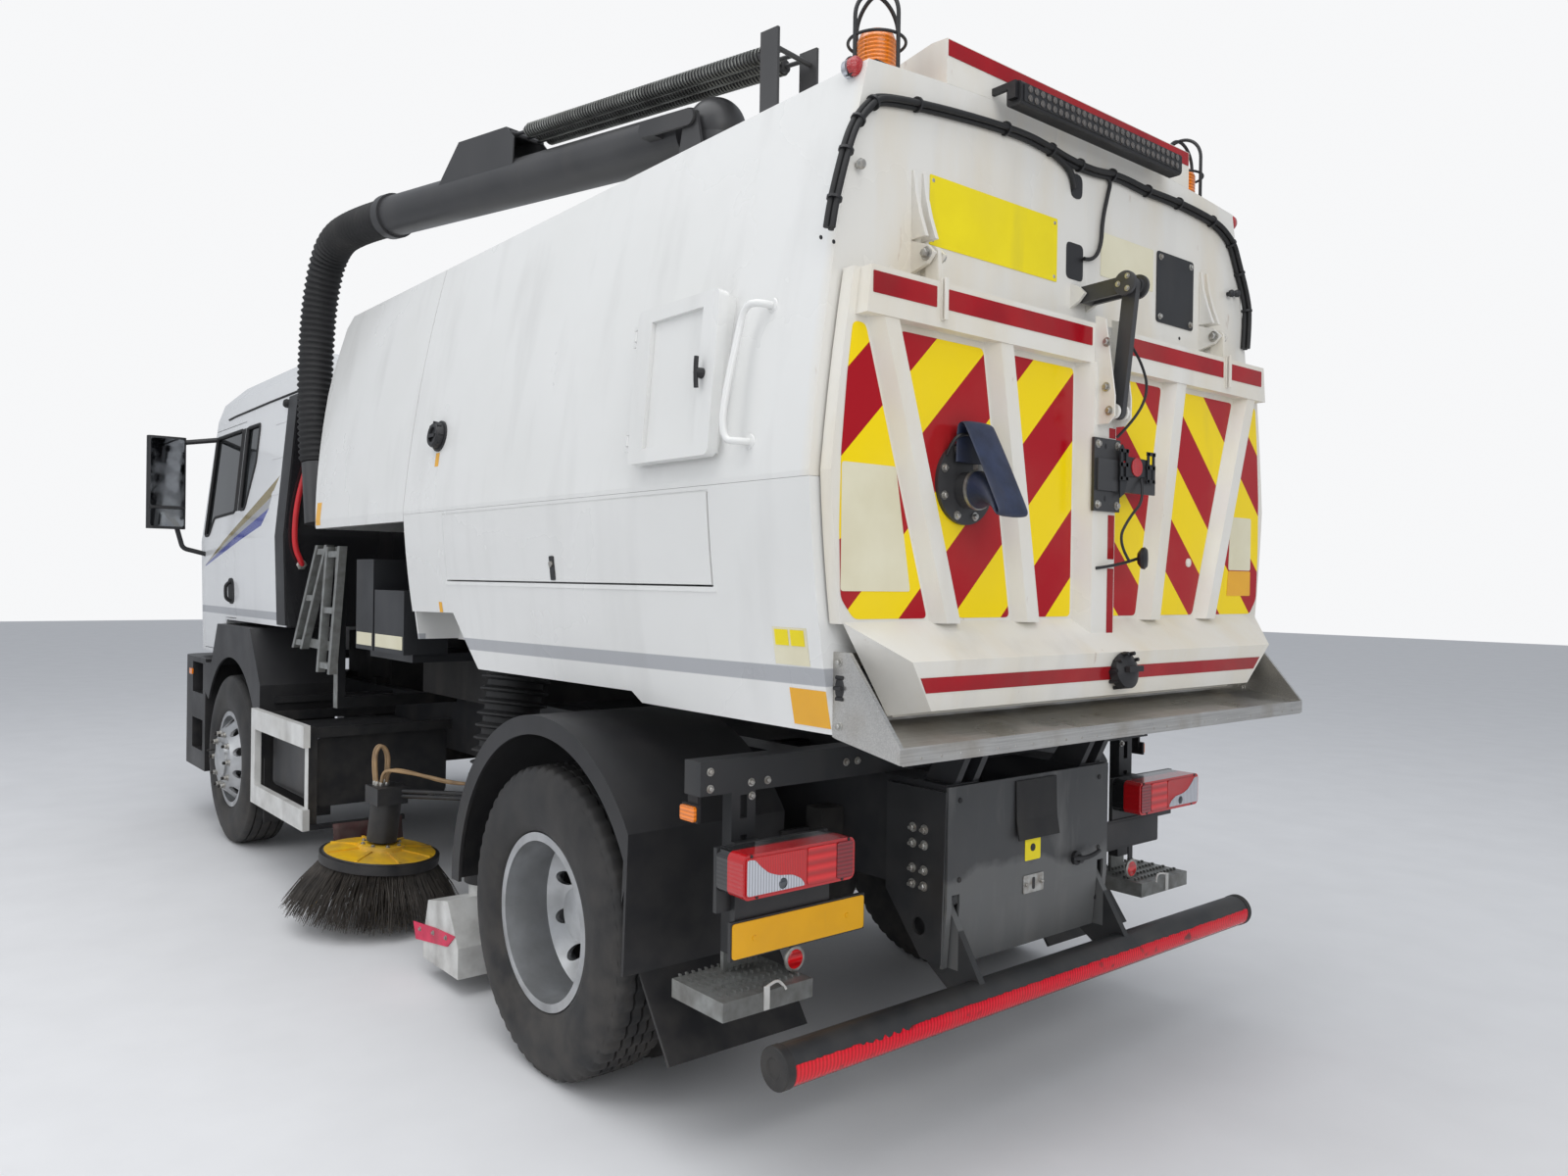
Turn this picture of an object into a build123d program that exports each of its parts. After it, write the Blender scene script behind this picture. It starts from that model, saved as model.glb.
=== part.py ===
from build123d import *
import os
from math import atan2, cos, degrees, radians, sin

# Street sweeper truck: two-axle chassis, tilting cab, tipping hopper, boom hose and two side brushes.
# Millimetres; X points forward, Y to the left, Z up; the origin is on the ground under the middle.

# Driving dimensions
LENGTH = 7180.0
WHEELBASE = 4250.0
REAR_OVERHANG = 1530.0
FRONT_OVERHANG = LENGTH - WHEELBASE - REAR_OVERHANG
AXLE_R = -LENGTH / 2 + REAR_OVERHANG
AXLE_F = AXLE_R + WHEELBASE
FRONT = AXLE_F + FRONT_OVERHANG
TYRE_R = 531.0
AXLE_Z = TYRE_R
PIN_FIT = 0.8
SEAT_GAP = 0.3
RUN_GAP = 6.0

# Chassis
RAIL_IN = 345.0
RAIL_OUT = 420.0
RAIL_LOW = 730.0
RAIL_TOP = 1000.0
RAIL_WEB = 12.0
FRAME_REAR = AXLE_R - 1090.0
FRAME_FRONT = FRONT - 240.0
SUB_TOP = 1080.0
SUB_REAR = FRAME_REAR - 30.0
SUB_FRONT = AXLE_R + 2560.0
TIP_X = AXLE_R - 1150.0
TIP_Z = 1240.0

# Wheels: distance of the wheel's middle from the truck's middle, and the rim's own sizes
WHEEL_Y_F = 1074.0
WHEEL_Y_R = 1107.0
TWIN_STEP = 320.0
RIM_R = 285.0
RIM_FLANGE_R = 302.0
RIM_HALF = 116.0
RIM_WALL = 12.0
DISC_REACH = TWIN_STEP / 2
DISC_WALL = 14.0
HUB_R = 118.0
SPINDLE_R = 40.0
KINGPIN_Y = 880.0
KINGPIN_R = 24.0

# Hopper
HOP_REAR = AXLE_R - 1280.0
HOP_SPLIT = AXLE_R + 1500.0
HOP_SEAM = 1985.0
HOP_LOW = 1300.0
HOP_EDGE = 3120.0
HOP_CROWN = 45.0
HOP_TOP = HOP_EDGE + HOP_CROWN
HOP_EDGE_Y = 955.0
HOP_WIDE_Y = 1147.0
HOP_WIDE_Z = 2000.0
HOP_LOW_Y = 1050.0
HOP_WALL = 45.0
TANK_FLOOR = 1420.0
TANK_Y = 880.0
SKIN = 35.0
COWL_LOW = 1955.0
COWL_FRONT = AXLE_R + 2872.0
COWL_WALL = 30.0

# Tailgate
GATE_X = HOP_REAR - 10.0
GATE_THICK = 42.0
GATE_TOP = 2536.0
GATE_LOW = 1600.0
GATE_PIVOT_X = AXLE_R - 1340.0
GATE_PIVOT_Z = 2617.0
GATE_PIVOT_Y = 755.0

CRANK_X = AXLE_R - 1312.0
CRANK_Z = 2640.0
CRANK_TIP = (AXLE_R - 1475.0, 2645.0)
LINK_LOW = (AXLE_R - 1432.0, 2255.0)
EYE_PLAY = 8.0

# Boom
BOOM_X = AXLE_R - 100.0
BOOM_Y = 600.0
BOOM_Z = HOP_EDGE + 260.0
BOOM_R = 98.0
BOOM_END = (AXLE_R + 2250.0, 945.0, BOOM_Z + 165.0)
HOSE_R = 95.0

# Cab
CAB_REAR = AXLE_F - 980.0
CAB_FRONT = FRONT - 140.0
CAB_WALL = 40.0
CAB_WAIST = 1930.0
CAB_TOP = 2770.0
CAB_LOW = 1172.0
CAB_FLOOR = 1405.0
ROOF_TOP = 3065.0
CAB_HALF = 1150.0
DOOR_FRONT = CAB_FRONT - 285.0
DOOR_REAR = AXLE_F + 120.0
DOOR_GAP = 5.0
GLASS = 7.0
TILT_X = FRONT - 210.0
TILT_Z = 1120.0

# Bumper and wings
BUMPER_LOW = 360.0
BUMPER_TOP = 1125.0
BUMPER_HALF = 1195.0
WING_TOP = 1378.0
WING_SHEET = 12.0
STEER_SWEEP = 645.0

# Side brush and nozzle
BRUSH_X = AXLE_R + 2050.0
BRUSH_Y = 1030.0
BRUSH_Z = 330.0
BRUSH_TILT = 6.0
ARM_X = AXLE_R + 1500.0
ARM_Y = 560.0
ARM_Z = 640.0
NOZZLE_X = AXLE_R + 1060.0
NOZZLE_Y = 900.0
NOZZLE_LIFT = 60.0
CASTER_R = 90.0


def spot(axis, at, u, v):
    """The point (u, v) of a flat outline that lies square to an axis."""
    if axis == "x":
        return Vector(at, u, v)
    if axis == "y":
        return Vector(u, at, v)
    return Vector(u, v, at)


def outline(axis, at, steps):
    """A flat face: a step (u, v) is a straight edge to it, (u, v, via_u, via_v) an arc to it."""
    edges = []
    for here, step in zip(steps, steps[1:] + steps[:1]):
        start = spot(axis, at, here[0], here[1])
        end = spot(axis, at, step[0], step[1])
        if len(step) == 4:
            edges.append(Edge.make_three_point_arc(start, spot(axis, at, step[2], step[3]), end))
        else:
            edges.append(Edge.make_line(start, end))
    return Face(Wire(edges))


def slab(axis, low, high, steps):
    """A plate with one outline, from one place of an axis to another."""
    way = {"x": (1, 0, 0), "y": (0, 1, 0), "z": (0, 0, 1)}[axis]
    return extrude(outline(axis, low, steps), amount=high - low, dir=way)


def block(x_span, y_span, z_span):
    """A box between two places on each axis."""
    (x0, x1), (y0, y1) = x_span, y_span
    return slab("z", z_span[0], z_span[1], [(x0, y0), (x1, y0), (x1, y1), (x0, y1)])


def rod(start, end, radius):
    """A round bar between two points."""
    start, end = Vector(*start), Vector(*end)
    return Solid.make_cylinder(radius, (end - start).length, Plane(origin=start, z_dir=end - start))


def plate_link(y_span, ends, radius, bores=()):
    """A flat bar square to Y with round ends at two points (x, z), and round holes in it."""
    (x0, z0), (x1, z1) = ends
    y0, y1 = y_span
    run = Vector(x1 - x0, 0, z1 - z0).normalized() * radius
    corners = [(x0 - run.Z, z0 + run.X), (x1 - run.Z, z1 + run.X), (x1 + run.Z, z1 - run.X), (x0 + run.Z, z0 - run.X)]
    bar = slab("y", y0, y1, corners)
    for x, z in ends:
        bar += rod((x, y0, z), (x, y1, z), radius)
    for x, z, bore in bores:
        bar -= rod((x, y0 - 1, z), (x, y1 + 1, z), bore)
    return bar


def turned(x, z, steps):
    """A ring turned about a wheel's axis: steps are (y, radius) with arcs as in an outline."""
    raised = [tuple(value + z if index % 2 else value for index, value in enumerate(step)) for step in steps]
    return revolve(outline("x", x, raised), axis=Axis((x, 0, z), (0, 1, 0)))


def sided(shape, side):
    """The left-hand piece as it is, or its right-hand twin."""
    return shape if side > 0 else mirror(shape, about=Plane.XZ)


def both(shape):
    """A piece and its twin on the other side."""
    return [shape, mirror(shape, about=Plane.XZ)]


def fused(shapes):
    """One solid of pieces that touch."""
    whole = shapes[0]
    for shape in shapes[1:]:
        whole += shape
    return whole


def save(name, *shapes):
    """Write one named sub-part."""
    solids = [solid for shape in shapes for solid in shape.solids()]
    export_step(solids[0] if len(solids) == 1 else Compound(solids), f"parts/{name}.step")
    print(name, len(solids))


os.makedirs("parts", exist_ok=True)
SIDES = ((1, "left"), (-1, "right"))


# The ladder frame: two channel rails, cross members, the sub-frame under the hopper and the tipping pin's ears.
def channel_rail():
    rail = block((FRAME_REAR, FRAME_FRONT), (RAIL_IN, RAIL_OUT), (RAIL_LOW, RAIL_TOP))
    hollow = block(
        (FRAME_REAR - 1, FRAME_FRONT + 1),
        (RAIL_IN - 1, RAIL_OUT - RAIL_WEB),
        (RAIL_LOW + RAIL_WEB, RAIL_TOP - RAIL_WEB),
    )
    return rail - hollow


EAR_Y = 300.0
EAR_THICK = 28.0
TIP_PIN_R = 22.0
TIP_EAR_R = 48.0


def tipping_ears():
    """Two ears each side that carry the pin on which the hopper tips."""
    pieces = []
    for y in (EAR_Y - EAR_THICK, EAR_Y + 2 * EAR_THICK):
        foot = [(SUB_REAR, SUB_TOP), (SUB_REAR + 130, SUB_TOP), (TIP_X + TIP_EAR_R, TIP_Z), (TIP_X - TIP_EAR_R, TIP_Z)]
        pieces.append(slab("y", y, y + EAR_THICK, foot))
        pieces.append(rod((TIP_X, y, TIP_Z), (TIP_X, y + EAR_THICK, TIP_Z), TIP_EAR_R))
    pieces.append(rod((TIP_X, EAR_Y - EAR_THICK, TIP_Z), (TIP_X, EAR_Y + 3 * EAR_THICK, TIP_Z), TIP_PIN_R))
    return fused(pieces)


SUB_IN = 270.0
rails = channel_rail() + block((SUB_REAR, SUB_FRONT), (SUB_IN, RAIL_OUT), (RAIL_TOP, SUB_TOP)) + tipping_ears()
CROSS = [
    # x of the cross member's middle, lowest z, highest z
    (FRAME_REAR + 60, RAIL_LOW + 30, RAIL_TOP - 20),
    (AXLE_R - 520, RAIL_LOW + 130, RAIL_TOP - 30),
    (AXLE_R + 520, RAIL_LOW + 130, RAIL_TOP - 30),
    (AXLE_R + 1700, RAIL_LOW + 40, RAIL_TOP - 40),
    (AXLE_R + 2800, RAIL_LOW + 40, RAIL_TOP - 40),
    (FRAME_FRONT - 70, RAIL_LOW + 20, RAIL_TOP - 20),
]
frame = fused([rails, mirror(rails, about=Plane.XZ)] + [
    block((x - 40, x + 40), (-RAIL_OUT + RAIL_WEB, RAIL_OUT - RAIL_WEB), (low, high)) for x, low, high in CROSS
])
TILT_EAR_Y = 345.0
for side, _ in SIDES:
    tilt_ear = slab("y", TILT_EAR_Y, TILT_EAR_Y + 28, [
        (TILT_X - 90, RAIL_TOP), (FRAME_FRONT, RAIL_TOP), (TILT_X + 28, TILT_Z), (TILT_X, TILT_Z + 28),
        (TILT_X - 28, TILT_Z),
    ])
    tilt_pin = rod((TILT_X, TILT_EAR_Y - 40, TILT_Z), (TILT_X, TILT_EAR_Y, TILT_Z), 14)
    frame += sided(tilt_ear + tilt_pin, side)
save("chassis_frame", frame)

# Axles with their leaf springs
SPRING_Y = (440.0, 520.0)
SPRING_HALF = 690.0
HANGER_TOP = RAIL_TOP - 60.0


def leaf_spring(axle, low, half):
    """A leaf pack with an eye bracket at each end, which hangs from the rail."""
    arch = [
        (axle - half, low + 60), (axle + half, low + 60, axle, low + 24), (axle + half, low + 36),
        (axle - half, low + 36, axle, low - 24),
    ]
    pieces = [slab("y", SPRING_Y[0], SPRING_Y[1], arch)]
    for end in (-1, 1):
        x = axle + end * (half - 20)
        pieces.append(block((x - 40, x + 40), (RAIL_OUT, SPRING_Y[1]), (low + 45, HANGER_TOP)))
    return fused(pieces)


FRONT_SPRING_Z = 555.0
BOSS_R = 46.0
BOSS_HALF = 85.0
BEAM = [
    (-460, 395), (460, 395), (690, 452), (KINGPIN_Y, 452), (KINGPIN_Y, 610), (700, 600), (560, 505), (-560, 505),
    (-700, 600), (-KINGPIN_Y, 610), (-KINGPIN_Y, 452), (-690, 452),
]
front_axle = slab("x", AXLE_F - 42, AXLE_F + 42, BEAM)
for side, _ in SIDES:
    y = side * KINGPIN_Y
    front_axle += rod((AXLE_F, y, AXLE_Z - BOSS_HALF), (AXLE_F, y, AXLE_Z + BOSS_HALF), BOSS_R)
    front_axle -= rod((AXLE_F, y, AXLE_Z - 200), (AXLE_F, y, AXLE_Z + 200), KINGPIN_R + PIN_FIT)
    front_axle -= block((AXLE_F - 60, AXLE_F + 60), sorted((y + side * BOSS_R, y + side * 200)), (300, 800))
    seat = block((AXLE_F - 60, AXLE_F + 60), SPRING_Y, (500, FRONT_SPRING_Z + 5))
    front_axle += sided(seat + leaf_spring(AXLE_F, FRONT_SPRING_Z, SPRING_HALF), side)
save("front_axle", front_axle)

DRUM_R = 200.0
REAR_SPRING_Z = 640.0
rear_axle = rod((AXLE_R, -810, AXLE_Z), (AXLE_R, 810, AXLE_Z), 66)
rear_axle += turned(AXLE_R, AXLE_Z, [(-150, 0), (-60, 205, -130, 150), (60, 205, 0, 225), (150, 0, 130, 150)])
rear_axle += rod((AXLE_R + 150, 0, AXLE_Z), (AXLE_R + 330, 0, AXLE_Z + 20), 80)
for side, _ in SIDES:
    drum = turned(AXLE_R, AXLE_Z, [(600, 0), (600, DRUM_R - 20), (620, DRUM_R), (812, DRUM_R), (812, 0)])
    stub = rod((AXLE_R, 800, AXLE_Z), (AXLE_R, WHEEL_Y_R - 50, AXLE_Z), SPINDLE_R)
    seat = block((AXLE_R - 60, AXLE_R + 60), SPRING_Y, (AXLE_Z, REAR_SPRING_Z + 5))
    rear_axle += sided(drum + stub + seat + leaf_spring(AXLE_R, REAR_SPRING_Z, SPRING_HALF - 60), side)
save("rear_axle", rear_axle)

# The engine and gearbox are one plain block with feet on the rails; the hopper's own engine is another.
ENGINE_X = (AXLE_F - 440, AXLE_F + 380)
engine = block(ENGINE_X, (-325, 325), (640, 1320))
engine += block((ENGINE_X[0] - 700, ENGINE_X[0]), (-210, 210), (650, 950))
for x in (ENGINE_X[0] + 120, ENGINE_X[1] - 120):
    engine += block((x - 50, x + 50), (-RAIL_OUT + 20, RAIL_OUT - 20), (RAIL_TOP, RAIL_TOP + 40))

AUX_X = (HOP_SPLIT + 90, SUB_FRONT - 60)
aux_engine = block(AUX_X, (-640, 640), (SUB_TOP, COWL_LOW - 40))
aux_engine += block((AUX_X[0] + 60, AUX_X[1] - 60), (-560, 560), (COWL_LOW - 40, 2640))
save("engine_blocks", engine, aux_engine)

# Steered knuckle: two ears on the king pin, a yoke, the brake drum and the stub for the hub.
YOKE_Y = KINGPIN_Y + BOSS_R + RUN_GAP
EAR_SPAN = ((AXLE_Z - BOSS_HALF - RUN_GAP - 38, AXLE_Z - BOSS_HALF - RUN_GAP),
            (AXLE_Z + BOSS_HALF + RUN_GAP, AXLE_Z + BOSS_HALF + RUN_GAP + 38))
FRONT_DRUM = (YOKE_Y + 33, WHEEL_Y_F + 25)
HUB_START_F = FRONT_DRUM[1] + RUN_GAP
for side, name in SIDES:
    knuckle = block((AXLE_F - 50, AXLE_F + 50), (YOKE_Y, YOKE_Y + 35), (EAR_SPAN[0][0], EAR_SPAN[1][1]))
    for low, high in EAR_SPAN:
        knuckle += rod((AXLE_F, KINGPIN_Y, low), (AXLE_F, KINGPIN_Y, high), BOSS_R)
        knuckle += block((AXLE_F - 40, AXLE_F + 40), (KINGPIN_Y, YOKE_Y + 5), (low, high))
    knuckle += rod((AXLE_F, KINGPIN_Y, EAR_SPAN[0][0]), (AXLE_F, KINGPIN_Y, EAR_SPAN[1][1]), KINGPIN_R)
    knuckle += rod((AXLE_F, FRONT_DRUM[0], AXLE_Z), (AXLE_F, FRONT_DRUM[1], AXLE_Z), DRUM_R - 10)
    knuckle += rod((AXLE_F, FRONT_DRUM[1] - 5, AXLE_Z), (AXLE_F, WHEEL_Y_F + 120, AXLE_Z), SPINDLE_R)
    save(f"knuckle_{name}", sided(knuckle, side))

# Wheels
TYRE_HALF = 140.0
BEAD = RIM_HALF - RIM_WALL
TYRE = [
    # distance from the wheel's middle plane, radius; the last two of a long row are the arc's middle
    (-BEAD, RIM_R + SEAT_GAP), (-BEAD, RIM_FLANGE_R + 2), (-BEAD - 18, RIM_FLANGE_R + 8),
    (-116, TYRE_R - 31, -TYRE_HALF, TYRE_R - 130), (-98, TYRE_R - 4), (98, TYRE_R - 4, 0, TYRE_R),
    (116, TYRE_R - 31), (BEAD + 18, RIM_FLANGE_R + 8, TYRE_HALF, TYRE_R - 130), (BEAD, RIM_FLANGE_R + 2),
    (BEAD, RIM_R + SEAT_GAP),
]
RIM_IN = RIM_R - RIM_WALL
BARREL = [
    (-RIM_HALF, RIM_IN), (-RIM_HALF, RIM_FLANGE_R), (-BEAD - SEAT_GAP, RIM_FLANGE_R), (-BEAD - SEAT_GAP, RIM_R),
    (BEAD + SEAT_GAP, RIM_R), (BEAD + SEAT_GAP, RIM_FLANGE_R), (RIM_HALF, RIM_FLANGE_R), (RIM_HALF, RIM_IN),
]
DISC = [
    # the dished disc, for a wheel whose hub face is on its outer side
    (DISC_REACH, 100), (DISC_REACH, 186), (DISC_REACH - 96, RIM_IN + 2), (DISC_REACH - 112, RIM_IN + 2),
    (DISC_REACH - DISC_WALL, 180), (DISC_REACH - DISC_WALL, 100),
]
HAND_HOLES = 10
HAND_HOLE_R = 27.0
HAND_HOLE_AT = 226.0


def shifted(steps, middle, flip=1):
    """Move a ring's profile along the axle, or turn it round first."""
    rows = []
    for step in steps:
        rows.append(tuple(value if index % 2 else middle + flip * value for index, value in enumerate(step)))
    return rows


def hand_holes(x, y_span):
    """The cutters for the round holes in a wheel disc."""
    holes = []
    for index in range(HAND_HOLES):
        angle = radians(360 / HAND_HOLES * (index + 0.5))
        hx, hz = x + HAND_HOLE_AT * cos(angle), AXLE_Z + HAND_HOLE_AT * sin(angle)
        holes.append(rod((hx, y_span[0], hz), (hx, y_span[1], hz), HAND_HOLE_R))
    return holes


def rim(x, middle, flip):
    """A steel rim: barrel with flanges and a dished disc with hand holes."""
    ring = turned(x, AXLE_Z, shifted(BARREL, middle)) + turned(x, AXLE_Z, shifted(DISC, middle, flip))
    for hole in hand_holes(x, (middle - 250, middle + 250)):
        ring -= hole
    return ring


HUB_FACE_F = WHEEL_Y_F + DISC_REACH
HUB_FACE_R = WHEEL_Y_R - DISC_REACH
for side, name in SIDES:
    save(f"tyre_front_{name}", sided(turned(AXLE_F, AXLE_Z, shifted(TYRE, WHEEL_Y_F)), side))
    hub = turned(AXLE_F, AXLE_Z, [
        (HUB_START_F, SPINDLE_R + PIN_FIT), (HUB_START_F, HUB_R - 10), (HUB_FACE_F + 12, HUB_R - 10),
        (HUB_FACE_F + 30, 70), (HUB_FACE_F + 34, 0), (WHEEL_Y_F + 130, 0), (WHEEL_Y_F + 130, SPINDLE_R + PIN_FIT),
    ])
    save(f"rim_front_{name}", sided(rim(AXLE_F, WHEEL_Y_F, 1) + hub, side))
    twins = [turned(AXLE_R, AXLE_Z, shifted(TYRE, WHEEL_Y_R - step)) for step in (0, TWIN_STEP)]
    save(f"tyres_rear_{name}", *[sided(tyre, side) for tyre in twins])
    hub = turned(AXLE_R, AXLE_Z, [
        (HUB_FACE_R - 120, SPINDLE_R + PIN_FIT), (HUB_FACE_R - 120, HUB_R - 10), (HUB_FACE_R + 40, HUB_R - 10),
        (HUB_FACE_R + 60, 95), (HUB_FACE_R + 140, 90), (HUB_FACE_R + 150, 0), (WHEEL_Y_R - 40, 0),
        (WHEEL_Y_R - 40, SPINDLE_R + PIN_FIT),
    ])
    save(f"rims_rear_{name}", sided(rim(AXLE_R, WHEEL_Y_R, -1) + rim(AXLE_R, WHEEL_Y_R - TWIN_STEP, 1) + hub, side))


# The cab is a hollow shell between three plan sections, with its front bowed and its corners round.
CORNER_R = 150.0
BOW = 230.0


def plan_steps(rear, front, half, corner=CORNER_R, bow=BOW):
    """Plan outline with a straight rear, straight sides, round corners and a bowed front."""
    start = front - bow
    turn, mid = radians(10), radians(50)
    end_x, end_y = start + corner * cos(turn), half - corner + corner * sin(turn)
    via_x, via_y = start + corner * cos(mid), half - corner + corner * sin(mid)
    return [
        (rear, -half), (start, -half), (end_x, -end_y, via_x, -via_y), (end_x, end_y, front, 0),
        (start, half, via_x, via_y), (rear, half),
    ]


CAB_ROWS = [
    # height, rear x, front x, half width
    (CAB_LOW, CAB_REAR, CAB_FRONT, CAB_HALF - 25),
    (CAB_WAIST, CAB_REAR, CAB_FRONT - 40, CAB_HALF),
    (CAB_TOP, CAB_REAR, CAB_FRONT - 160, CAB_HALF - 75),
]
ROOF_ROWS = [
    (CAB_TOP, CAB_REAR, CAB_FRONT - 160, CAB_HALF - 75),
    (CAB_TOP + 110, CAB_REAR + 25, CAB_FRONT - 230, CAB_HALF - 100),
    (CAB_TOP + 215, CAB_REAR + 120, CAB_FRONT - 420, CAB_HALF - 190),
    (ROOF_TOP, CAB_REAR + 320, CAB_FRONT - 720, CAB_HALF - 340),
]


def cab_form(rows, inset=0.0):
    """The cab's outer form, or the same form drawn in by a wall."""
    faces = []
    for z, rear, front, half in rows:
        faces.append(outline("z", z, plan_steps(rear + inset, front - inset, half - inset)))
    return loft(faces, ruled=True)


ARCH_FRONT = AXLE_F + 358.0
SILL_FRONT = AXLE_F + 526.0
FAR = 400.0


def cab_side(rise):
    """Side outline of the cab's lower edge: over the wheel, down in front of it, and raised by a floor."""
    return [
        (CAB_REAR - FAR, CAB_FLOOR + rise), (ARCH_FRONT + rise / 2, CAB_FLOOR + rise),
        (SILL_FRONT + rise / 2, CAB_LOW + rise), (FRONT + FAR, CAB_LOW + rise), (FRONT + FAR, CAB_TOP + 1),
        (CAB_REAR - FAR, CAB_TOP + 1),
    ]


DOOR = [
    (DOOR_FRONT, CAB_LOW + 20), (SILL_FRONT + 12, CAB_LOW + 20), (ARCH_FRONT + 16, CAB_FLOOR + 12),
    (DOOR_REAR, CAB_FLOOR + 12), (DOOR_REAR, CAB_TOP - 70), (DOOR_FRONT - 75, CAB_TOP - 70),
    (DOOR_FRONT - 15, CAB_WAIST),
]
DOOR_IN = [
    (DOOR_FRONT - DOOR_GAP, CAB_LOW + 20 + DOOR_GAP), (SILL_FRONT + 15, CAB_LOW + 20 + DOOR_GAP),
    (ARCH_FRONT + 19, CAB_FLOOR + 12 + DOOR_GAP), (DOOR_REAR + DOOR_GAP, CAB_FLOOR + 12 + DOOR_GAP),
    (DOOR_REAR + DOOR_GAP, CAB_TOP - 70 - DOOR_GAP), (DOOR_FRONT - 75 - DOOR_GAP, CAB_TOP - 70 - DOOR_GAP),
    (DOOR_FRONT - 15 - DOOR_GAP, CAB_WAIST),
]
DOOR_GLASS = [
    (DOOR_FRONT - 60, CAB_WAIST + 40), (DOOR_FRONT - 170, CAB_WAIST + 40), (DOOR_FRONT - 280, CAB_WAIST + 160),
    (DOOR_REAR + 60, CAB_WAIST + 180), (DOOR_REAR + 60, CAB_TOP - 120), (DOOR_FRONT - 125, CAB_TOP - 120),
]
QUARTER_GLASS = [
    (DOOR_REAR - 50, CAB_WAIST + 190), (DOOR_REAR - 170, CAB_WAIST + 190), (DOOR_REAR - 330, CAB_WAIST + 480),
    (DOOR_REAR - 340, CAB_TOP - 120), (DOOR_REAR - 50, CAB_TOP - 120),
]
SCREEN = [(-990, CAB_WAIST + 35), (990, CAB_WAIST + 35), (930, CAB_TOP - 65), (-930, CAB_TOP - 65)]
SIDE_CUT = (CAB_HALF - 250, CAB_HALF + 100)
SCREEN_CUT = (CAB_FRONT - 420, CAB_FRONT + 200)

cab_outer = cab_form(CAB_ROWS)
cab_body = cab_outer & slab("y", -CAB_HALF - FAR, CAB_HALF + FAR, cab_side(0))
cab_room = cab_form(CAB_ROWS, CAB_WALL) & slab("y", -CAB_HALF, CAB_HALF, cab_side(CAB_WALL))
cab_wall = cab_body - cab_room
cab_shell = cab_wall - slab("x", SCREEN_CUT[0], SCREEN_CUT[1], SCREEN)
# the doors are cut from the side wall alone, so that the floor stays with the shell
door_hole = slab("y", SIDE_CUT[0], SIDE_CUT[1], DOOR) - cab_form(CAB_ROWS, CAB_WALL + DOOR_GAP)
for side, _ in SIDES:
    cab_shell -= sided(door_hole, side)
    cab_shell -= sided(slab("y", SIDE_CUT[0], SIDE_CUT[1], QUARTER_GLASS), side)
TILT_LUG_Y = (TILT_EAR_Y - 38, TILT_EAR_Y - 8)
for side, _ in SIDES:
    lug = slab("y", TILT_LUG_Y[0], TILT_LUG_Y[1], [
        (TILT_X - 60, CAB_LOW), (TILT_X + 26, CAB_LOW), (TILT_X + 26, TILT_Z), (TILT_X, TILT_Z - 26),
        (TILT_X - 26, TILT_Z),
    ])
    lug -= rod((TILT_X, TILT_LUG_Y[0] - 1, TILT_Z), (TILT_X, TILT_LUG_Y[1] + 1, TILT_Z), 14 + PIN_FIT)
    cab_shell += sided(lug, side)

ROOF_WALL = 28.0
roof_inner = cab_form([
    (z if z == CAB_TOP else z - ROOF_WALL, rear + ROOF_WALL, front - ROOF_WALL, half - ROOF_WALL)
    for z, rear, front, half in ROOF_ROWS
])
cab_roof = cab_form(ROOF_ROWS) - roof_inner
save("cab_shell", cab_shell, cab_roof)

glass_form = cab_form(CAB_ROWS, 10) - cab_form(CAB_ROWS, 10 + GLASS)


def window(axis, span, steps):
    """A pane: the thin curved skin cut to a window's outline."""
    return glass_form & slab(axis, span[0], span[1], steps)


panes = [window("x", SCREEN_CUT, SCREEN)]
for side, _ in SIDES:
    panes.append(sided(window("y", SIDE_CUT, QUARTER_GLASS), side))
save("cab_glass", *panes)

# Black panels down the cab's rear corners, and the grille on its front
corner_skin = cab_form(CAB_ROWS, -10) - cab_form(CAB_ROWS, -SEAT_GAP)
CORNER_PANEL = (CAB_REAR + 4, CAB_REAR + 170)
corner_panels = [
    sided(corner_skin & block(CORNER_PANEL, (700, CAB_HALF + 60), (CAB_FLOOR + 10, CAB_TOP - 20)), side)
    for side, _ in SIDES
]

GRILLE_Z = (CAB_LOW + 90, CAB_WAIST - 110)
GRILLE_HALF = 800.0
GRILLE_BARS = 5
grille = cab_form(CAB_ROWS, -16) - cab_form(CAB_ROWS, -SEAT_GAP)
grille = grille & block((CAB_FRONT - 250, FRONT), (-GRILLE_HALF, GRILLE_HALF), GRILLE_Z)
bar_pitch = (GRILLE_Z[1] - GRILLE_Z[0] - 40) / GRILLE_BARS
for index in range(GRILLE_BARS):
    low = GRILLE_Z[0] + 40 + index * bar_pitch
    slot_half = GRILLE_HALF - 50 - 20 * index
    grille -= block((CAB_FRONT - 300, FRONT), (-slot_half, slot_half), (low, low + bar_pitch - 40))
save("cab_trim", grille, *corner_panels)

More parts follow.
